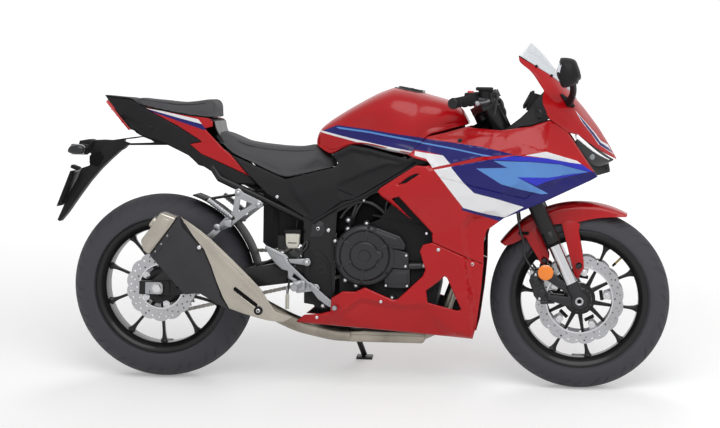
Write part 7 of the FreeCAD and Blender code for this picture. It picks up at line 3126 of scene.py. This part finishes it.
@dataclass
class Footrests:
    """Rider's and passenger's footrest brackets with their pegs, and the pedals.

    Args:
        low: Inner face of the rider's brackets.
        rail: Inner face of the passenger's brackets.
    """

    low: float = 145.3
    rail: float = 140.3

    def build(self) -> None:
        """Both pairs of brackets and both foot controls."""
        low, high = -self.low - 9, -self.low
        outline = [
            (363, 460), (369, 465), (432, 437), (447, 407), (462, 393), (511, 347), (527, 341), (541, 338),
            (548, 327), (541, 316), (527, 316), (473, 308), (459, 325), (465, 345), (441, 358), (441, 382),
            (421, 387), (400, 404), (378, 433),
        ]
        holes = [[(463, 374), (500, 341), (486, 328), (474, 352), (456, 362)]]
        link = slab(
            "bracket_link",
            [(441, 422), (449, 408), (500, 402), (512, 405), (516, 414), (510, 422), (498, 424)], low + 1,
            high, 2,
        )
        crease = slab(
            "bracket_crease",
            [
                (374, 458), (428, 434), (441, 406), (500, 350), (496, 346), (436, 400), (423, 428),
                (372, 452),
            ],
            low - 2, low + 2, 1,
        )
        plate = slab("rider_bracket", outline, low, high, 2.2, holes=holes)
        spots = [(536, 327), (505, 413), (376, 456)]
        lugs = [
            lathe(
                f"bracket_lug_{i}", [(0, 0), (13, 0), (13, 2), (11, 3.4), (0, 3.4)], (x, low + 0.4, z),
                (0, -1, 0), 26,
            )
            for i, (x, z) in enumerate(spots[:2])
        ]
        bolts = studs("bracket_bolts", spots[:2], low - 3, -1, 7.5)
        mount = block("peg_mount", (462, -170, 318), (502, -150, 352), 3)
        peg = self.peg("rider_peg", (481, -166, 339), (481, -290, 339), 12.8)
        right = [
            dress(p, ALLOY)
            for p in (plate, link, crease, *lugs)
        ] + [dress(bolts, BOLT), dress(mount, ALLOY), peg]
        rider = with_mirror(joined("rider_footrests", right))
        low, high = -self.rail - 9, -self.rail
        outline = [
            (260, 628), (272, 654), (288, 640), (340, 616), (356, 606), (345, 594), (316, 582), (268, 544),
            (250, 528), (215, 510), (197, 520), (214, 540), (238, 566), (252, 576),
        ]
        plate = slab(
            "passenger_bracket", outline, low, high, 2.2,
            holes=[
                [(278, 618), (318, 602), (294, 586), (272, 576)],
                [(244, 556), (258, 560), (262, 552), (246, 542)],
            ],
        )
        caps = [
            lathe(
                f"passenger_lug_{i}", [(0, 0), (12.5, 0), (12.5, 2), (10, 3.4), (0, 3.4)],
                (x, low + 0.4, z), (0, -1, 0), 26,
            )
            for i, (x, z) in enumerate([(271, 640), (340, 602)])
        ]
        bolts = studs("passenger_bolts", [(271, 640), (340, 602)], low - 3, -1, 7)
        joint = block("passenger_joint", (224, -166, 524), (252, low, 548), 3)
        peg = self.peg("passenger_peg", (252, -157, 556), (172, -165, 616), 10.6)
        end = lathe("peg_end", [(0, 0), (11, 0), (11, 4), (8, 6), (0, 6)], (200, low, 522), (0, -1, 0), 24)
        right = [dress(p, ALLOY) for p in (plate, *caps, joint, end)] + [dress(bolts, BOLT), peg]
        passenger = with_mirror(joined("passenger_footrests", right))
        hanger = dress(
            slab("silencer_hanger", [(215, 512), (196, 522), (140, 470), (156, 452)], low, high, 2), ALLOY,
        )
        stay = dress(rod("hanger_stay", (152, low, 470), (152, -167.4, 470), 8, steps=20), SATIN_BLACK)
        deliver(
            joined("footrest_set", [rider, passenger, hanger, stay]), "bike", replaces=["footrests"],
        )
        self.pedals()

    def peg(self, name: str, start: Triple, end: Triple, radius: float) -> bpy.types.Object:
        """Ribbed footpeg between two points.

        Args:
            name: Name of the object.
            start: Its inner end.
            end: Its outer end.
            radius: Largest radius.

        Returns:
            The peg.
        """
        span = (Vector(end) - Vector(start)).length
        profile = [(0, 0), (radius * 0.7, 0), (radius * 0.7, 14)]
        count = int((span - 24) / 9)
        for i in range(count):
            level = 16 + i * 9
            profile += [
                (radius, level), (radius, level + 4.5), (radius * 0.86, level + 5.5),
                (radius * 0.86, level + 8.2),
            ]
        profile += [(radius, span - 6), (radius, span - 2), (radius * 0.9, span), (0, span)]
        return dress(lathe(name, profile, start, Vector(end) - Vector(start), 24), ALLOY)

    def pedals(self) -> None:
        """Brake pedal with its toe pad on the right, gear lever on the left."""
        brake = slab(
            "brake_pedal",
            [
                (513, 332), (523, 345), (550, 320), (583, 292), (612, 277), (616, 264), (606, 257),
                (575, 270), (545, 292),
            ],
            -166, -155, 2.4,
        )
        pad = rod("brake_toe", (605, -163, 267), (605, -208.6, 267), 8, steps=20, bevel=1.5)
        cylinder = rod("master_cylinder", (441, -150, 254), (441, -150, 302), 6.5, steps=20)
        link = rod("brake_link", (441, -150, 300), (438, -150, 332), 3.6, steps=14)
        right = [dress(brake, ALLOY), dress(pad, ALLOY), dress(cylinder, SILVER_PLASTIC), dress(link, BOLT)]
        lever = slab(
            "gear_lever",
            [
                (513, 330), (523, 345), (560, 338), (593, 331), (636, 319), (640, 308), (632, 301),
                (590, 308), (550, 314),
            ],
            155, 164, 2.2,
        )
        rubber = self.peg("gear_rubber", (629, 160, 310), (629, 205.6, 310), 8)
        shift = rod("shift_rod", (560, 150, 330), (640, 150, 400), 4, steps=16)
        left = [dress(lever, ALLOY), dress(rubber, SOFT_RUBBER), dress(shift, BOLT)]
        deliver(
            joined("foot_control_set", right + left), "bike", replaces=["foot_controls"],
        )


@dataclass
class RearBrake:
    """Rear caliper over the disc and its fluid reservoir ahead of the swingarm."""

    def build(self) -> None:
        """Caliper, reservoir and hose."""
        body = dress(refined("rear_caliper", "rear_caliper_cast", 2.0), CAST_BLACK)
        piston = lathe(
            "rear_piston", [(0, 0), (17, 0), (17, 2.6), (14, 4), (0, 4)], (94, -100, 383), (0, -1, 0), 30,
        )
        bolts = studs("rear_caliper_bolts", [(78, 412), (118, 366)], -99, -1, 6)
        deliver(joined("rear_caliper_set", [body, dress(piston, CAST_BLACK), dress(bolts, BOLT)]), "bike",
                replaces=["rear_caliper"])
        cup = slab(
            "fluid_cup", [(431, 508), (479, 508), (477, 470), (470, 457), (440, 457), (433, 470)], -152,
            -114, 5, segments=3,
        )
        lid = block("fluid_lid", (427, -155, 507), (483, -111, 519), 3)
        bracket = slab(
            "fluid_bracket", [(403, 498), (425, 498), (430, 480), (432, 451), (405, 451)], -136, -130, 1.2,
        )
        stay = rod("fluid_stay", (408, -133, 490), (408, -120, 490), 5, steps=14)
        hose = tube(
            "fluid_hose",
            [
                (462, -134, 460), (470, -140, 440), (500, -146, 452), (508, -146, 486), (490, -144, 470),
                (474, -146, 420), (446, -150, 360), (441, -150, 304),
            ],
            3.6, 3, 8,
        )
        level = block("fluid_mark", (440, -152.8, 474), (470, -151.4, 477), 0.4, 1)
        parts = [
            dress(cup, SILVER_PLASTIC), dress(lid, MATT_BLACK), dress(bracket, SATIN_BLACK),
            dress(stay, SATIN_BLACK), dress(hose, HOSE), dress(level, MATT_BLACK),
        ]
        deliver(joined("fluid_reservoir", parts), "bike")


@dataclass
class Stand:
    """Side stand with its foot, tongue and return spring hook."""

    def build(self) -> None:
        """Refined copy of the leg."""
        leg = dress(refined("side_stand", "side_stand_forging", 1.5), SATIN_BLACK)
        deliver(
            joined("side_stand_set", [leg]), "side_stand", replaces=["side_stand"],
        )


# ---------------------------------------------------------------- front end


def studs(name: str, spots: Sequence[Pair], depth: float, side: int, radius: float = 7.0) -> bpy.types.Object:
    """Screw heads standing on a side face.

    Args:
        name: Name of the object.
        spots: Middles as (x, z).
        depth: The face's y.
        side: 1 for heads that face left, -1 for right.
        radius: Radius of the heads.

    Returns:
        All heads as one object.
    """
    heads = [button(f"{name}_{i}", (x, depth, z), (0, side, 0), radius) for i, (x, z) in enumerate(spots)]
    return joined(name, heads)


@dataclass
class Clamps:
    """Fork clamps with the stem nut, pinch bolts and key switch.

    Args:
        half: Half the head tube's length.
    """

    half: float = 60.0

    def build(self) -> None:
        """Clamps, then what is bolted to them."""
        body = refined("fork_clamps", "fork_clamps_cast", 2.5)
        deliver(body, "steering", CAST_BLACK, ["fork_clamps"])
        top = self.half + 26.5
        nut = lathe(
            "stem_nut", [(0, 0), (20, 0), (20, 7), (17, 10), (8, 10), (7, 7), (0, 7)], (0, 0, top),
            (0, 0, 1), 6,
        )
        key = lathe(
            "key_switch", [(0, 0), (19, 0), (19, 5), (16, 8), (8, 8), (7.5, 5), (0, 5)], (46, 0, top),
            (0, 0, 1), 28,
        )
        key_slot = block("key_slot", (44, -6, top + 5), (48, 6, top + 8.4), 0.4)
        bolts = [
            button(f"pinch_{sign}_{level}", (FORK_OFFSET - 29, sign * FORK_SPREAD, level), (-1, 0, 0), 6)
            for sign in (1, -1) for level in (self.half + 13, -self.half - 12, -self.half - 24)
        ]
        parts = [
            dress(nut, BOLT), dress(key, SATIN_BLACK), dress(key_slot, BOLT),
        ] + [dress(b, BOLT) for b in bolts]
        deliver(joined("clamp_bolts", parts), "steering", place=Place.STEERING)


@dataclass
class Fork:
    """Upside-down fork legs: black outer tubes, chromed inner tubes, axle lugs with the caliper arms.

    Args:
        outer: Radius of the outer tubes.
        inner: Radius of the inner tubes.
        joint: Height of the outer tubes' lower end, along the leg.
    """

    outer: float = 27.0
    inner: float = 20.5
    joint: float = -AXLE_DROP + 210

    def build(self) -> None:
        """Both legs, the right one made first."""
        foot = -AXLE_DROP
        spread = -FORK_SPREAD
        tube_profile = [
            (0, 104), (17, 104), (18, 103), (18, 98), (24, 98), (self.outer, 95),
            (self.outer, self.joint + 46), (self.outer - 1.2, self.joint + 44),
            (self.outer - 1.2, self.joint + 40), (self.outer, self.joint + 38),
            (self.outer, self.joint + 3), (self.outer - 3, self.joint), (self.inner + 0.4, self.joint),
            (0, self.joint),
        ]
        base = (FORK_OFFSET, spread, 0)
        outer = lathe("fork_outer", tube_profile, base, (0, 0, 1), 40)
        cap = lathe(
            "fork_cap", [(0, 102), (11, 102), (11, 109), (9, 111), (4, 111), (3.6, 108), (0, 108)], base,
            (0, 0, 1), 6,
        )
        inner = lathe(
            "fork_inner",
            [(0, self.joint + 6), (self.inner, self.joint + 6), (self.inner, foot + 60), (0, foot + 60)],
            base, (0, 0, 1), 40,
        )
        wiper = lathe(
            "fork_wiper",
            [
                (self.inner + 0.2, self.joint + 3), (25, self.joint + 3), (25, self.joint - 4),
                (22, self.joint - 9), (self.inner + 0.2, self.joint - 9),
            ],
            base, (0, 0, 1), 40, closed=True,
        )
        lug_profile = [(0, foot + 64), (21.5, foot + 64), (24, foot + 61), (24.5, foot + 40), (23, foot + 22),
                       (20, foot + 8), (19, foot - 18), (16, foot - 23), (0, foot - 23)]
        lug = lathe("axle_lug", lug_profile, base, (0, 0, 1), 36)
        eye = lathe("axle_eye", [(0, -19), (24, -19), (26.5, -16), (26.5, 15), (24, 19), (0, 19)],
                    (FORK_OFFSET, spread, foot), (0, 1, 0), 40)
        arm_outline = [
            (FORK_OFFSET - 4, foot - 24), (FORK_OFFSET - 52, foot + 8), (FORK_OFFSET - 94, foot + 46),
            (FORK_OFFSET - 88, foot + 62), (FORK_OFFSET - 30, foot + 28), (FORK_OFFSET - 24, foot + 36),
            (FORK_OFFSET - 78, foot + 120), (FORK_OFFSET - 92, foot + 134), (FORK_OFFSET - 70, foot + 148),
            (FORK_OFFSET - 50, foot + 132), (FORK_OFFSET - 12, foot + 66), (FORK_OFFSET + 6, foot + 30),
        ]
        arm = slab("caliper_arm", arm_outline, spread - 11, spread + 5, 3.0)
        leg = joined("fork_leg", [
            dress(outer, SATIN_BLACK), dress(cap, BOLT), dress(inner, CHROME), dress(wiper, BLACK_AND_SHADE),
            dress(lug, CAST_BLACK), dress(eye, CAST_BLACK), dress(arm, CAST_BLACK),
            dress(button("pinch_low", (FORK_OFFSET + 20, spread - 2, foot + 6), (0.8, -0.6, 0), 5.5), BOLT),
        ])
        deliver(
            with_mirror(leg), "steering", replaces=["fork_legs"], place=Place.STEERING,
        )
        lens = lathe(
            "fork_reflector", [(0, -5), (25, -5), (25.5, -3), (25.5, 2), (23, 3.6), (12, 4.6), (0, 5)],
            (1297, -122, 394), (0, -1, 0), 36,
        )
        back = lathe(
            "reflector_back", [(0, -9), (20, -9), (23, -4), (0, -4)], (1297, -122, 394), (0, -1, 0), 28,
        )
        rim = joined("reflector", [dress(lens, AMBER), dress(back, MATT_BLACK)])
        deliver(with_mirror(rim), "steering")


@dataclass
class FrontAxle:
    """Front axle with spacers, its hollow ends ringed bright."""

    def build(self) -> None:
        """Shaft, spacers and the two end rings."""
        centre = (WHEELBASE, 0, FRONT_AXLE_Z)
        shaft = lathe(
            "front_axle_shaft",
            [
                (0, -116), (7, -116), (7.5, -121), (10.5, -123), (13.5, -122.6), (14.5, -121),
                (14.5, -116.4), (12.2, -116), (12.2, 116), (14.5, 116.4), (14.5, 121), (13.5, 122.6),
                (10.5, 123), (7.5, 121), (7, 116), (0, 116),
            ],
            centre, (0, 1, 0), 36,
        )
        spacer = [
            lathe(
                f"spacer_{side}",
                [
                    (13, side * 58.6), (18, side * 59.4), (18, side * 76.6), (16.6, side * 77.6),
                    (13, side * 77.6),
                ],
                centre, (0, 1, 0), 36, closed=True,
            )
            for side in (1, -1)
        ]
        deliver(joined("front_axle_set", [shaft, *spacer]), "steering", STEEL, ["front_axle"])
        # Flat dark hexagons on the axle ends: painted shade standing in for the hollow sockets.
        sockets = [lathe(f"axle_socket_{side}", [(0, 0), (7.2, 0), (7.2, 1.2), (0, 1.2)],
                         (WHEELBASE, side * 116.4, FRONT_AXLE_Z), (0, side, 0), 6) for side in (1, -1)]
        deliver(joined("axle_sockets", sockets), "steering", BLACK_AND_SHADE)


@dataclass
class FrontCalipers:
    """Radial four-piston calipers astride the discs, with pistons, pins, bleed screw and bolts."""

    def build(self) -> None:
        """The right caliper in the steering frame, and its twin."""
        foot = -AXLE_DROP
        x = FORK_OFFSET
        outline = [
            (x - 80, foot + 44), (x - 104, foot + 40), (x - 127, foot + 58), (x - 131, foot + 78),
            (x - 126, foot + 100), (x - 124, foot + 122), (x - 116, foot + 140), (x - 98, foot + 148),
            (x - 80, foot + 144), (x - 84, foot + 110), (x - 88, foot + 78),
        ]
        body = slab("caliper_body", outline, -92.5, -66, 4.0, segments=3)
        inner = slab("caliper_inner_half", outline, -56, -45, 3.0)
        bridge_outline = [
            (x - 112, foot + 52), (x - 131, foot + 70), (x - 126, foot + 128), (x - 108, foot + 142),
            (x - 112, foot + 110),
        ]
        bridge = slab("caliper_bridge", bridge_outline, -70, -50, 2.0)
        pistons = [
            lathe(
                f"piston_cap_{i}",
                [(0, 0), (14.5, 0), (14.5, 3), (12.5, 5), (9.5, 5.6), (9, 4.6), (0, 4.6)],
                (x - 104, -91.5, foot + up), (0, -1, 0), 32,
            )
            for i, up in enumerate((72, 113))
        ]
        pins = [button(f"caliper_pin_{i}", place, axis, 5.5) for i, (place, axis) in enumerate((
            ((x - 118, -92, foot + 60), (0, -1, 0)), ((x - 96, -92, foot + 138), (0, -1, 0)),
            ((x - 82, -79, foot + 48), (1, 0, 0.2)), ((x - 80, -79, foot + 138), (1, 0, 0.2)),
        ))]
        slide = rod("caliper_slide", (x - 120, -86, foot + 47), (x - 76, -86, foot + 30), 6.5, steps=18)
        bleed = rod("bleed_screw", (x - 112, -80, foot + 142), (x - 118, -80, foot + 158), 3.4, 2.4, 12, 0.6)
        union = lathe(
            "hose_union", [(0, 0), (7.5, 0), (7.5, 9), (5, 10), (5, 13), (0, 13)],
            (x - 103, -80, foot + 143), (-0.1, 0, 1), 14,
        )
        parts = [dress(p, CAST_BLACK) for p in (body, inner, bridge, *pistons, slide)]
        parts += [dress(p, BOLT) for p in (*pins, bleed, union)]
        deliver(with_mirror(joined("front_caliper_pair", parts)), "steering", replaces=["front_calipers"],
                place=Place.STEERING)


@dataclass
class FrontFender:
    """Front mudguard: a crowned roof hugging the tyre, and two legs a side down to the fork.

    Args:
        roof: Outer radius over the tyre's crown.
        half: Half width at the shoulders.
        rows: Stations as (angle from straight ahead, shoulder radius, hem radius).
    """

    roof: float = 328.0
    half: float = 68.0
    rows: Sequence[Triple] = (
        (62, 322, 318), (67, 316, 303), (74, 309, 288), (82, 305, 274), (90, 302, 262), (97, 302, 256),
        (105, 302, 262), (114, 303, 268), (123, 305, 272), (132, 308, 276), (140, 313, 288),
        (145, 320, 306),
    )

    def build(self) -> None:
        """Roof and legs, with their bolts, washers, bosses and clip."""
        steps = 7
        grid = []
        for degrees, shoulder, hem in self.rows:
            turn = math.radians(degrees)
            section = []
            for k in range(-steps, steps + 1):
                share = k / steps
                across = abs(share)
                if across <= 0.7:
                    lean = math.sin(across / 0.7 * math.pi / 2)
                    y = self.half * 0.96 * lean
                    radius = shoulder + (self.roof - shoulder) * math.cos(across / 0.7 * math.pi / 2) ** 0.8
                else:
                    down = (across - 0.7) / 0.3
                    y = self.half * (0.96 + 0.04 * down)
                    radius = shoulder + (hem - shoulder) * down
                y = math.copysign(y, share) if k else 0.0
                section.append(
                    (WHEELBASE + radius * math.cos(turn), y, FRONT_AXLE_Z + radius * math.sin(turn))
                )
            grid.append(section)
        skin = loft("fender_skin", grid, along=4, across=2)
        roof = walled(skin, 2.6)
        front_leg = [
            (1344, 560), (1376, 566), (1407, 556), (1404, 530), (1421, 436), (1423, 410), (1404, 372),
            (1394, 380), (1381, 420), (1378, 436),
        ]
        rear_leg = [
            (1222, 514), (1262, 542), (1288, 496), (1306, 446), (1306, 430), (1292, 418), (1279, 420),
            (1264, 446),
        ]
        legs = []
        for name, outline in (("front", front_leg), ("rear", rear_leg)):
            plate = slab(f"{name}_leg", outline, -70.5, -66.5, 1.4)
            ridge_points = [outline[0], outline[1], outline[-3], outline[-2]]
            rib = slab(f"{name}_leg_rib", shrink(ridge_points, 4), -72.5, -69.5, 1.3)
            legs += [dress(plate, RED), dress(rib, RED)]
        bolts = studs("fender_bolts", [(1406, 416), (1291, 431)], -71.5, -1, 6.5)
        washers = joined(
            "fender_washers",
            [
                lathe(
                    f"washer_{i}", [(0, 0), (10.5, 0), (10.5, 1.6), (9, 2.4), (0, 2.4)], (x, -70.5, z),
                    (0, -1, 0), 24,
                )
                for i, (x, z) in enumerate([(1406, 416), (1291, 431)])
            ],
        )
        arm = [rod("leg_boss_front", (1404, -71, 414), (1404, -88, 414), 8, steps=18),
               rod("leg_boss_rear", (1291, -71, 431), (1291, -88, 431), 8, steps=18)]
        clip = block("hose_clip", (1204, -76, 515), (1238, -69, 525), 2)
        side = joined(
            "fender_leg_set",
            [
                *legs, dress(bolts, BOLT), dress(washers, BLACK_AND_SHADE), dress(clip, BLACK_AND_SHADE),
                *[dress(a, CAST_BLACK) for a in arm],
            ],
        )
        deliver(joined("front_mudguard", [dress(roof, RED), with_mirror(side)]), "steering",
                replaces=["front_fender"])


def shrink(outline: Sequence[Pair], gap: float) -> list[Pair]:
    """Outline with each corner moved towards its middle.

    Args:
        outline: Corners of the outline.
        gap: How far each corner moves.

    Returns:
        The smaller outline.
    """
    middle = Vector(np.mean(outline, axis=0))
    moved = []
    for point in outline:
        away = Vector(point) - middle
        moved.append(tuple(middle + away * max(0.1, 1 - gap / away.length)))
    return moved


@dataclass
class Bars:
    """Clip-on bars with ribbed grips, switch boxes, levers and the brake reservoir.

    Args:
        root: Where the right bar leaves its clamp.
        tip: The right bar's end.
        ribs: Grooves round the grip.
    """

    root: Triple = (1088.9, -97, 973.9)
    tip: Triple = (989.9, -340, 948)
    ribs: int = 16

    def along(self, share: float) -> Triple:
        """A point on the bar's line.

        Args:
            share: 0 at the inner end, 1 at the outer.

        Returns:
            The place.
        """
        return tuple(Vector(self.root).lerp(Vector(self.tip), share))

    def build(self) -> None:
        """Everything on both bars."""
        heading = Vector(self.tip) - Vector(self.root)
        span = heading.length
        pipe = rod("bar_pipe", self.along(0.12), self.along(0.98), 11, steps=24)
        start, end = 0.5 * span, 0.96 * span
        pitch = (end - start - 16) / self.ribs
        profile = [(0, start), (20, start), (20.5, start + 3), (17, start + 6)]
        for i in range(self.ribs):
            level = start + 8 + i * pitch
            profile += [
                (16.8, level), (15.4, level + pitch * 0.3), (15.4, level + pitch * 0.6),
                (16.8, level + pitch * 0.9),
            ]
        profile += [(18.5, end - 4), (18.5, end), (0, end)]
        grip = lathe("bar_grip", profile, self.root, heading, 26)
        weight = lathe(
            "bar_end",
            [(0, end), (16.5, end), (17.2, end + 2), (17.2, end + 7), (14, end + 9), (0, end + 9)],
            self.root, heading, 28,
        )
        box = rod("switch_box", self.along(0.335), self.along(0.5), 21, 22.5, steps=28, bevel=5)
        lid = block("switch_panel", (-19, -19, -14), (19, 19, 24), 5)
        middle = Vector(self.along(0.42))
        turn = heading.to_track_quat("Z", "X").to_matrix().to_4x4()
        lid.data.transform(Matrix.Translation(middle + Vector((0, 0, 4))) @ turn)
        stop = block("stop_switch", (1032, -208, 978), (1052, -190, 991), 2)
        clamp = lathe("bar_clamp", [(27.4, 26), (37, 26), (38, 28), (38, 50), (37, 52), (27.4, 52)],
                      (FORK_OFFSET, -FORK_SPREAD, 60), (0, 0, 1), 36, closed=True)
        clamp.data.transform(STEER)
        perch = Vector(self.along(0.4))
        knuckle = perch + Vector((44, 0, -4))
        holder = rod("lever_perch", tuple(perch), tuple(knuckle), 11, 9, 20, 2)
        tip = Vector(self.tip) + Vector((80, 14, 2))
        reach = [
            tuple(knuckle), tuple(knuckle + Vector((10, -22, -2))),
            tuple(knuckle.lerp(tip, 0.45) + Vector((8, 0, -3))),
            tuple(knuckle.lerp(tip, 0.8) + Vector((2, 0, -2))), tuple(tip),
        ]
        lever = tube("bar_lever", reach, 6.2, 3, 8, radii=(1.4, 1.15, 1.0, 0.85, 0.9))
        ball = lathe(
            "lever_ball", [(0, -8), (5, -7), (8, -3.5), (8.6, 0), (8, 3.5), (5, 7), (0, 8)], tuple(tip),
            (0, 1, 0), 20,
        )
        side = [
            dress(pipe, SATIN_BLACK), dress(grip, SOFT_RUBBER), dress(weight, SATIN_BLACK),
            dress(box, MATT_BLACK), dress(lid, MATT_BLACK), dress(clamp, CAST_BLACK),
            dress(holder, CAST_BLACK), dress(lever, ALLOY), dress(ball, ALLOY),
        ]
        right = joined("bar_set", side)
        pot = tuple(knuckle + Vector((-8, 12, -2)))
        body = rod("reservoir", pot, (pot[0] + 2, pot[1], pot[2] + 36), 19, 21, 28, 3)
        cover = block(
            "reservoir_lid", (pot[0] - 27, pot[1] - 25, pot[2] + 34),
            (pot[0] + 29, pot[1] + 25, pot[2] + 46), 5, 3,
        )
        neck = tube(
            "reservoir_pipe",
            [
                (pot[0] + 24, pot[1], pot[2] + 30), (pot[0] + 40, pot[1] + 6, pot[2] + 34),
                (pot[0] + 44, pot[1] + 14, pot[2] + 4), (pot[0] + 34, pot[1] + 26, pot[2] - 46),
            ],
            4,
        )
        extra = joined(
            "brake_reservoir",
            [dress(body, MATT_BLACK), dress(cover, MATT_BLACK), dress(neck, HOSE), dress(stop, RED_LENS)],
        )
        whole = joined("handlebar_sets", [with_mirror(right), extra])
        deliver(whole, "steering", replaces=["handlebars"])
        self.cables()

    def cables(self) -> None:
        """Throttle and clutch cables, run behind the clamps."""
        runs = [
            [self.along(0.36), (1092, -150, 978), (1140, -70, 962), (1142, -30, 905), (1128, -26, 850)],
            [self.along(0.39), (1084, -160, 958), (1146, -84, 940), (1150, -44, 896), (1136, -34, 846)],
        ]
        tubes = [tube(f"cable_{i}", run, 3.6, 3, 8) for i, run in enumerate(runs)]
        loom = joined("bar_cables", [with_mirror(joined("cable_pair", tubes))])
        deliver(loom, "steering", HOSE)


@dataclass
class Hoses:
    """Front brake hoses, clipped to the fork and to the mudguard's side.

    Args:
        route: Points in the steering frame, y measured from the leg's middle.
        diameter: Outside diameter.
        length: Length of one hose in metres, along its curve. Not used.
    """

    route: Sequence[Triple] = (
        (8, 19, -93.2), (0, 22, -175), (-18, 16, -255), (-46, -8, -345), (-50, -16, -395), (-74, -20, -440),
        (-58, -17, -496),
    )
    diameter: float = 7.0
    length: float = 0.417

    def build(self) -> None:
        """One hose a side."""
        for side, name in ((-1, "right_brake_hose"), (1, "left_brake_hose")):
            curve = bpy.data.curves.new(name, "CURVE")
            curve.dimensions = "3D"
            curve.bevel_depth = self.diameter / 2000
            curve.bevel_resolution = 4
            curve.use_fill_caps = True
            line = curve.splines.new("NURBS")
            line.points.add(len(self.route) - 1)
            spots = [
                Place.STEERING.value @ Vector((x, side * (FORK_SPREAD + y), z))
                for x, y, z in self.route
            ]
            for point, spot in zip(line.points, spots):
                point.co = (*spot, 1)
            line.order_u = 3
            line.use_endpoint_u = True
            line.resolution_u = 12
            hose = bpy.data.objects.new(name, curve)
            bpy.context.collection.objects.link(hose)
            curve.materials.append(HOSE.material())
            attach(hose, "steering")
            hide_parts("brake_hoses")


# ---------------------------------------------------------------- the whole bike


ASSEMBLIES = (
    Hoses, Frame, Engine, Radiator, Swingarm, RearAxle, Shock, Exhaust, InnerGuard, Footrests, RearBrake,
    Stand, Clamps, Fork, FrontAxle, FrontCalipers, FrontFender, Bars, SideFairings, Belly, Tank, Cap, Seats,
    SideCovers, Tail, RearLamps, PlateHolder, Nose, Headlights, Screen, Cockpit, Mirrors, Wheels, Chain,
)


def main() -> None:
    """Set up the stage, then build every assembly in order."""
    logging.basicConfig(level=logging.INFO, format="%(name)s %(message)s")
    Stage().build()
    for assembly in ASSEMBLIES:
        log.info("building %s", assembly.__name__)
        assembly().build()


if __name__ == "__main__":
    main()
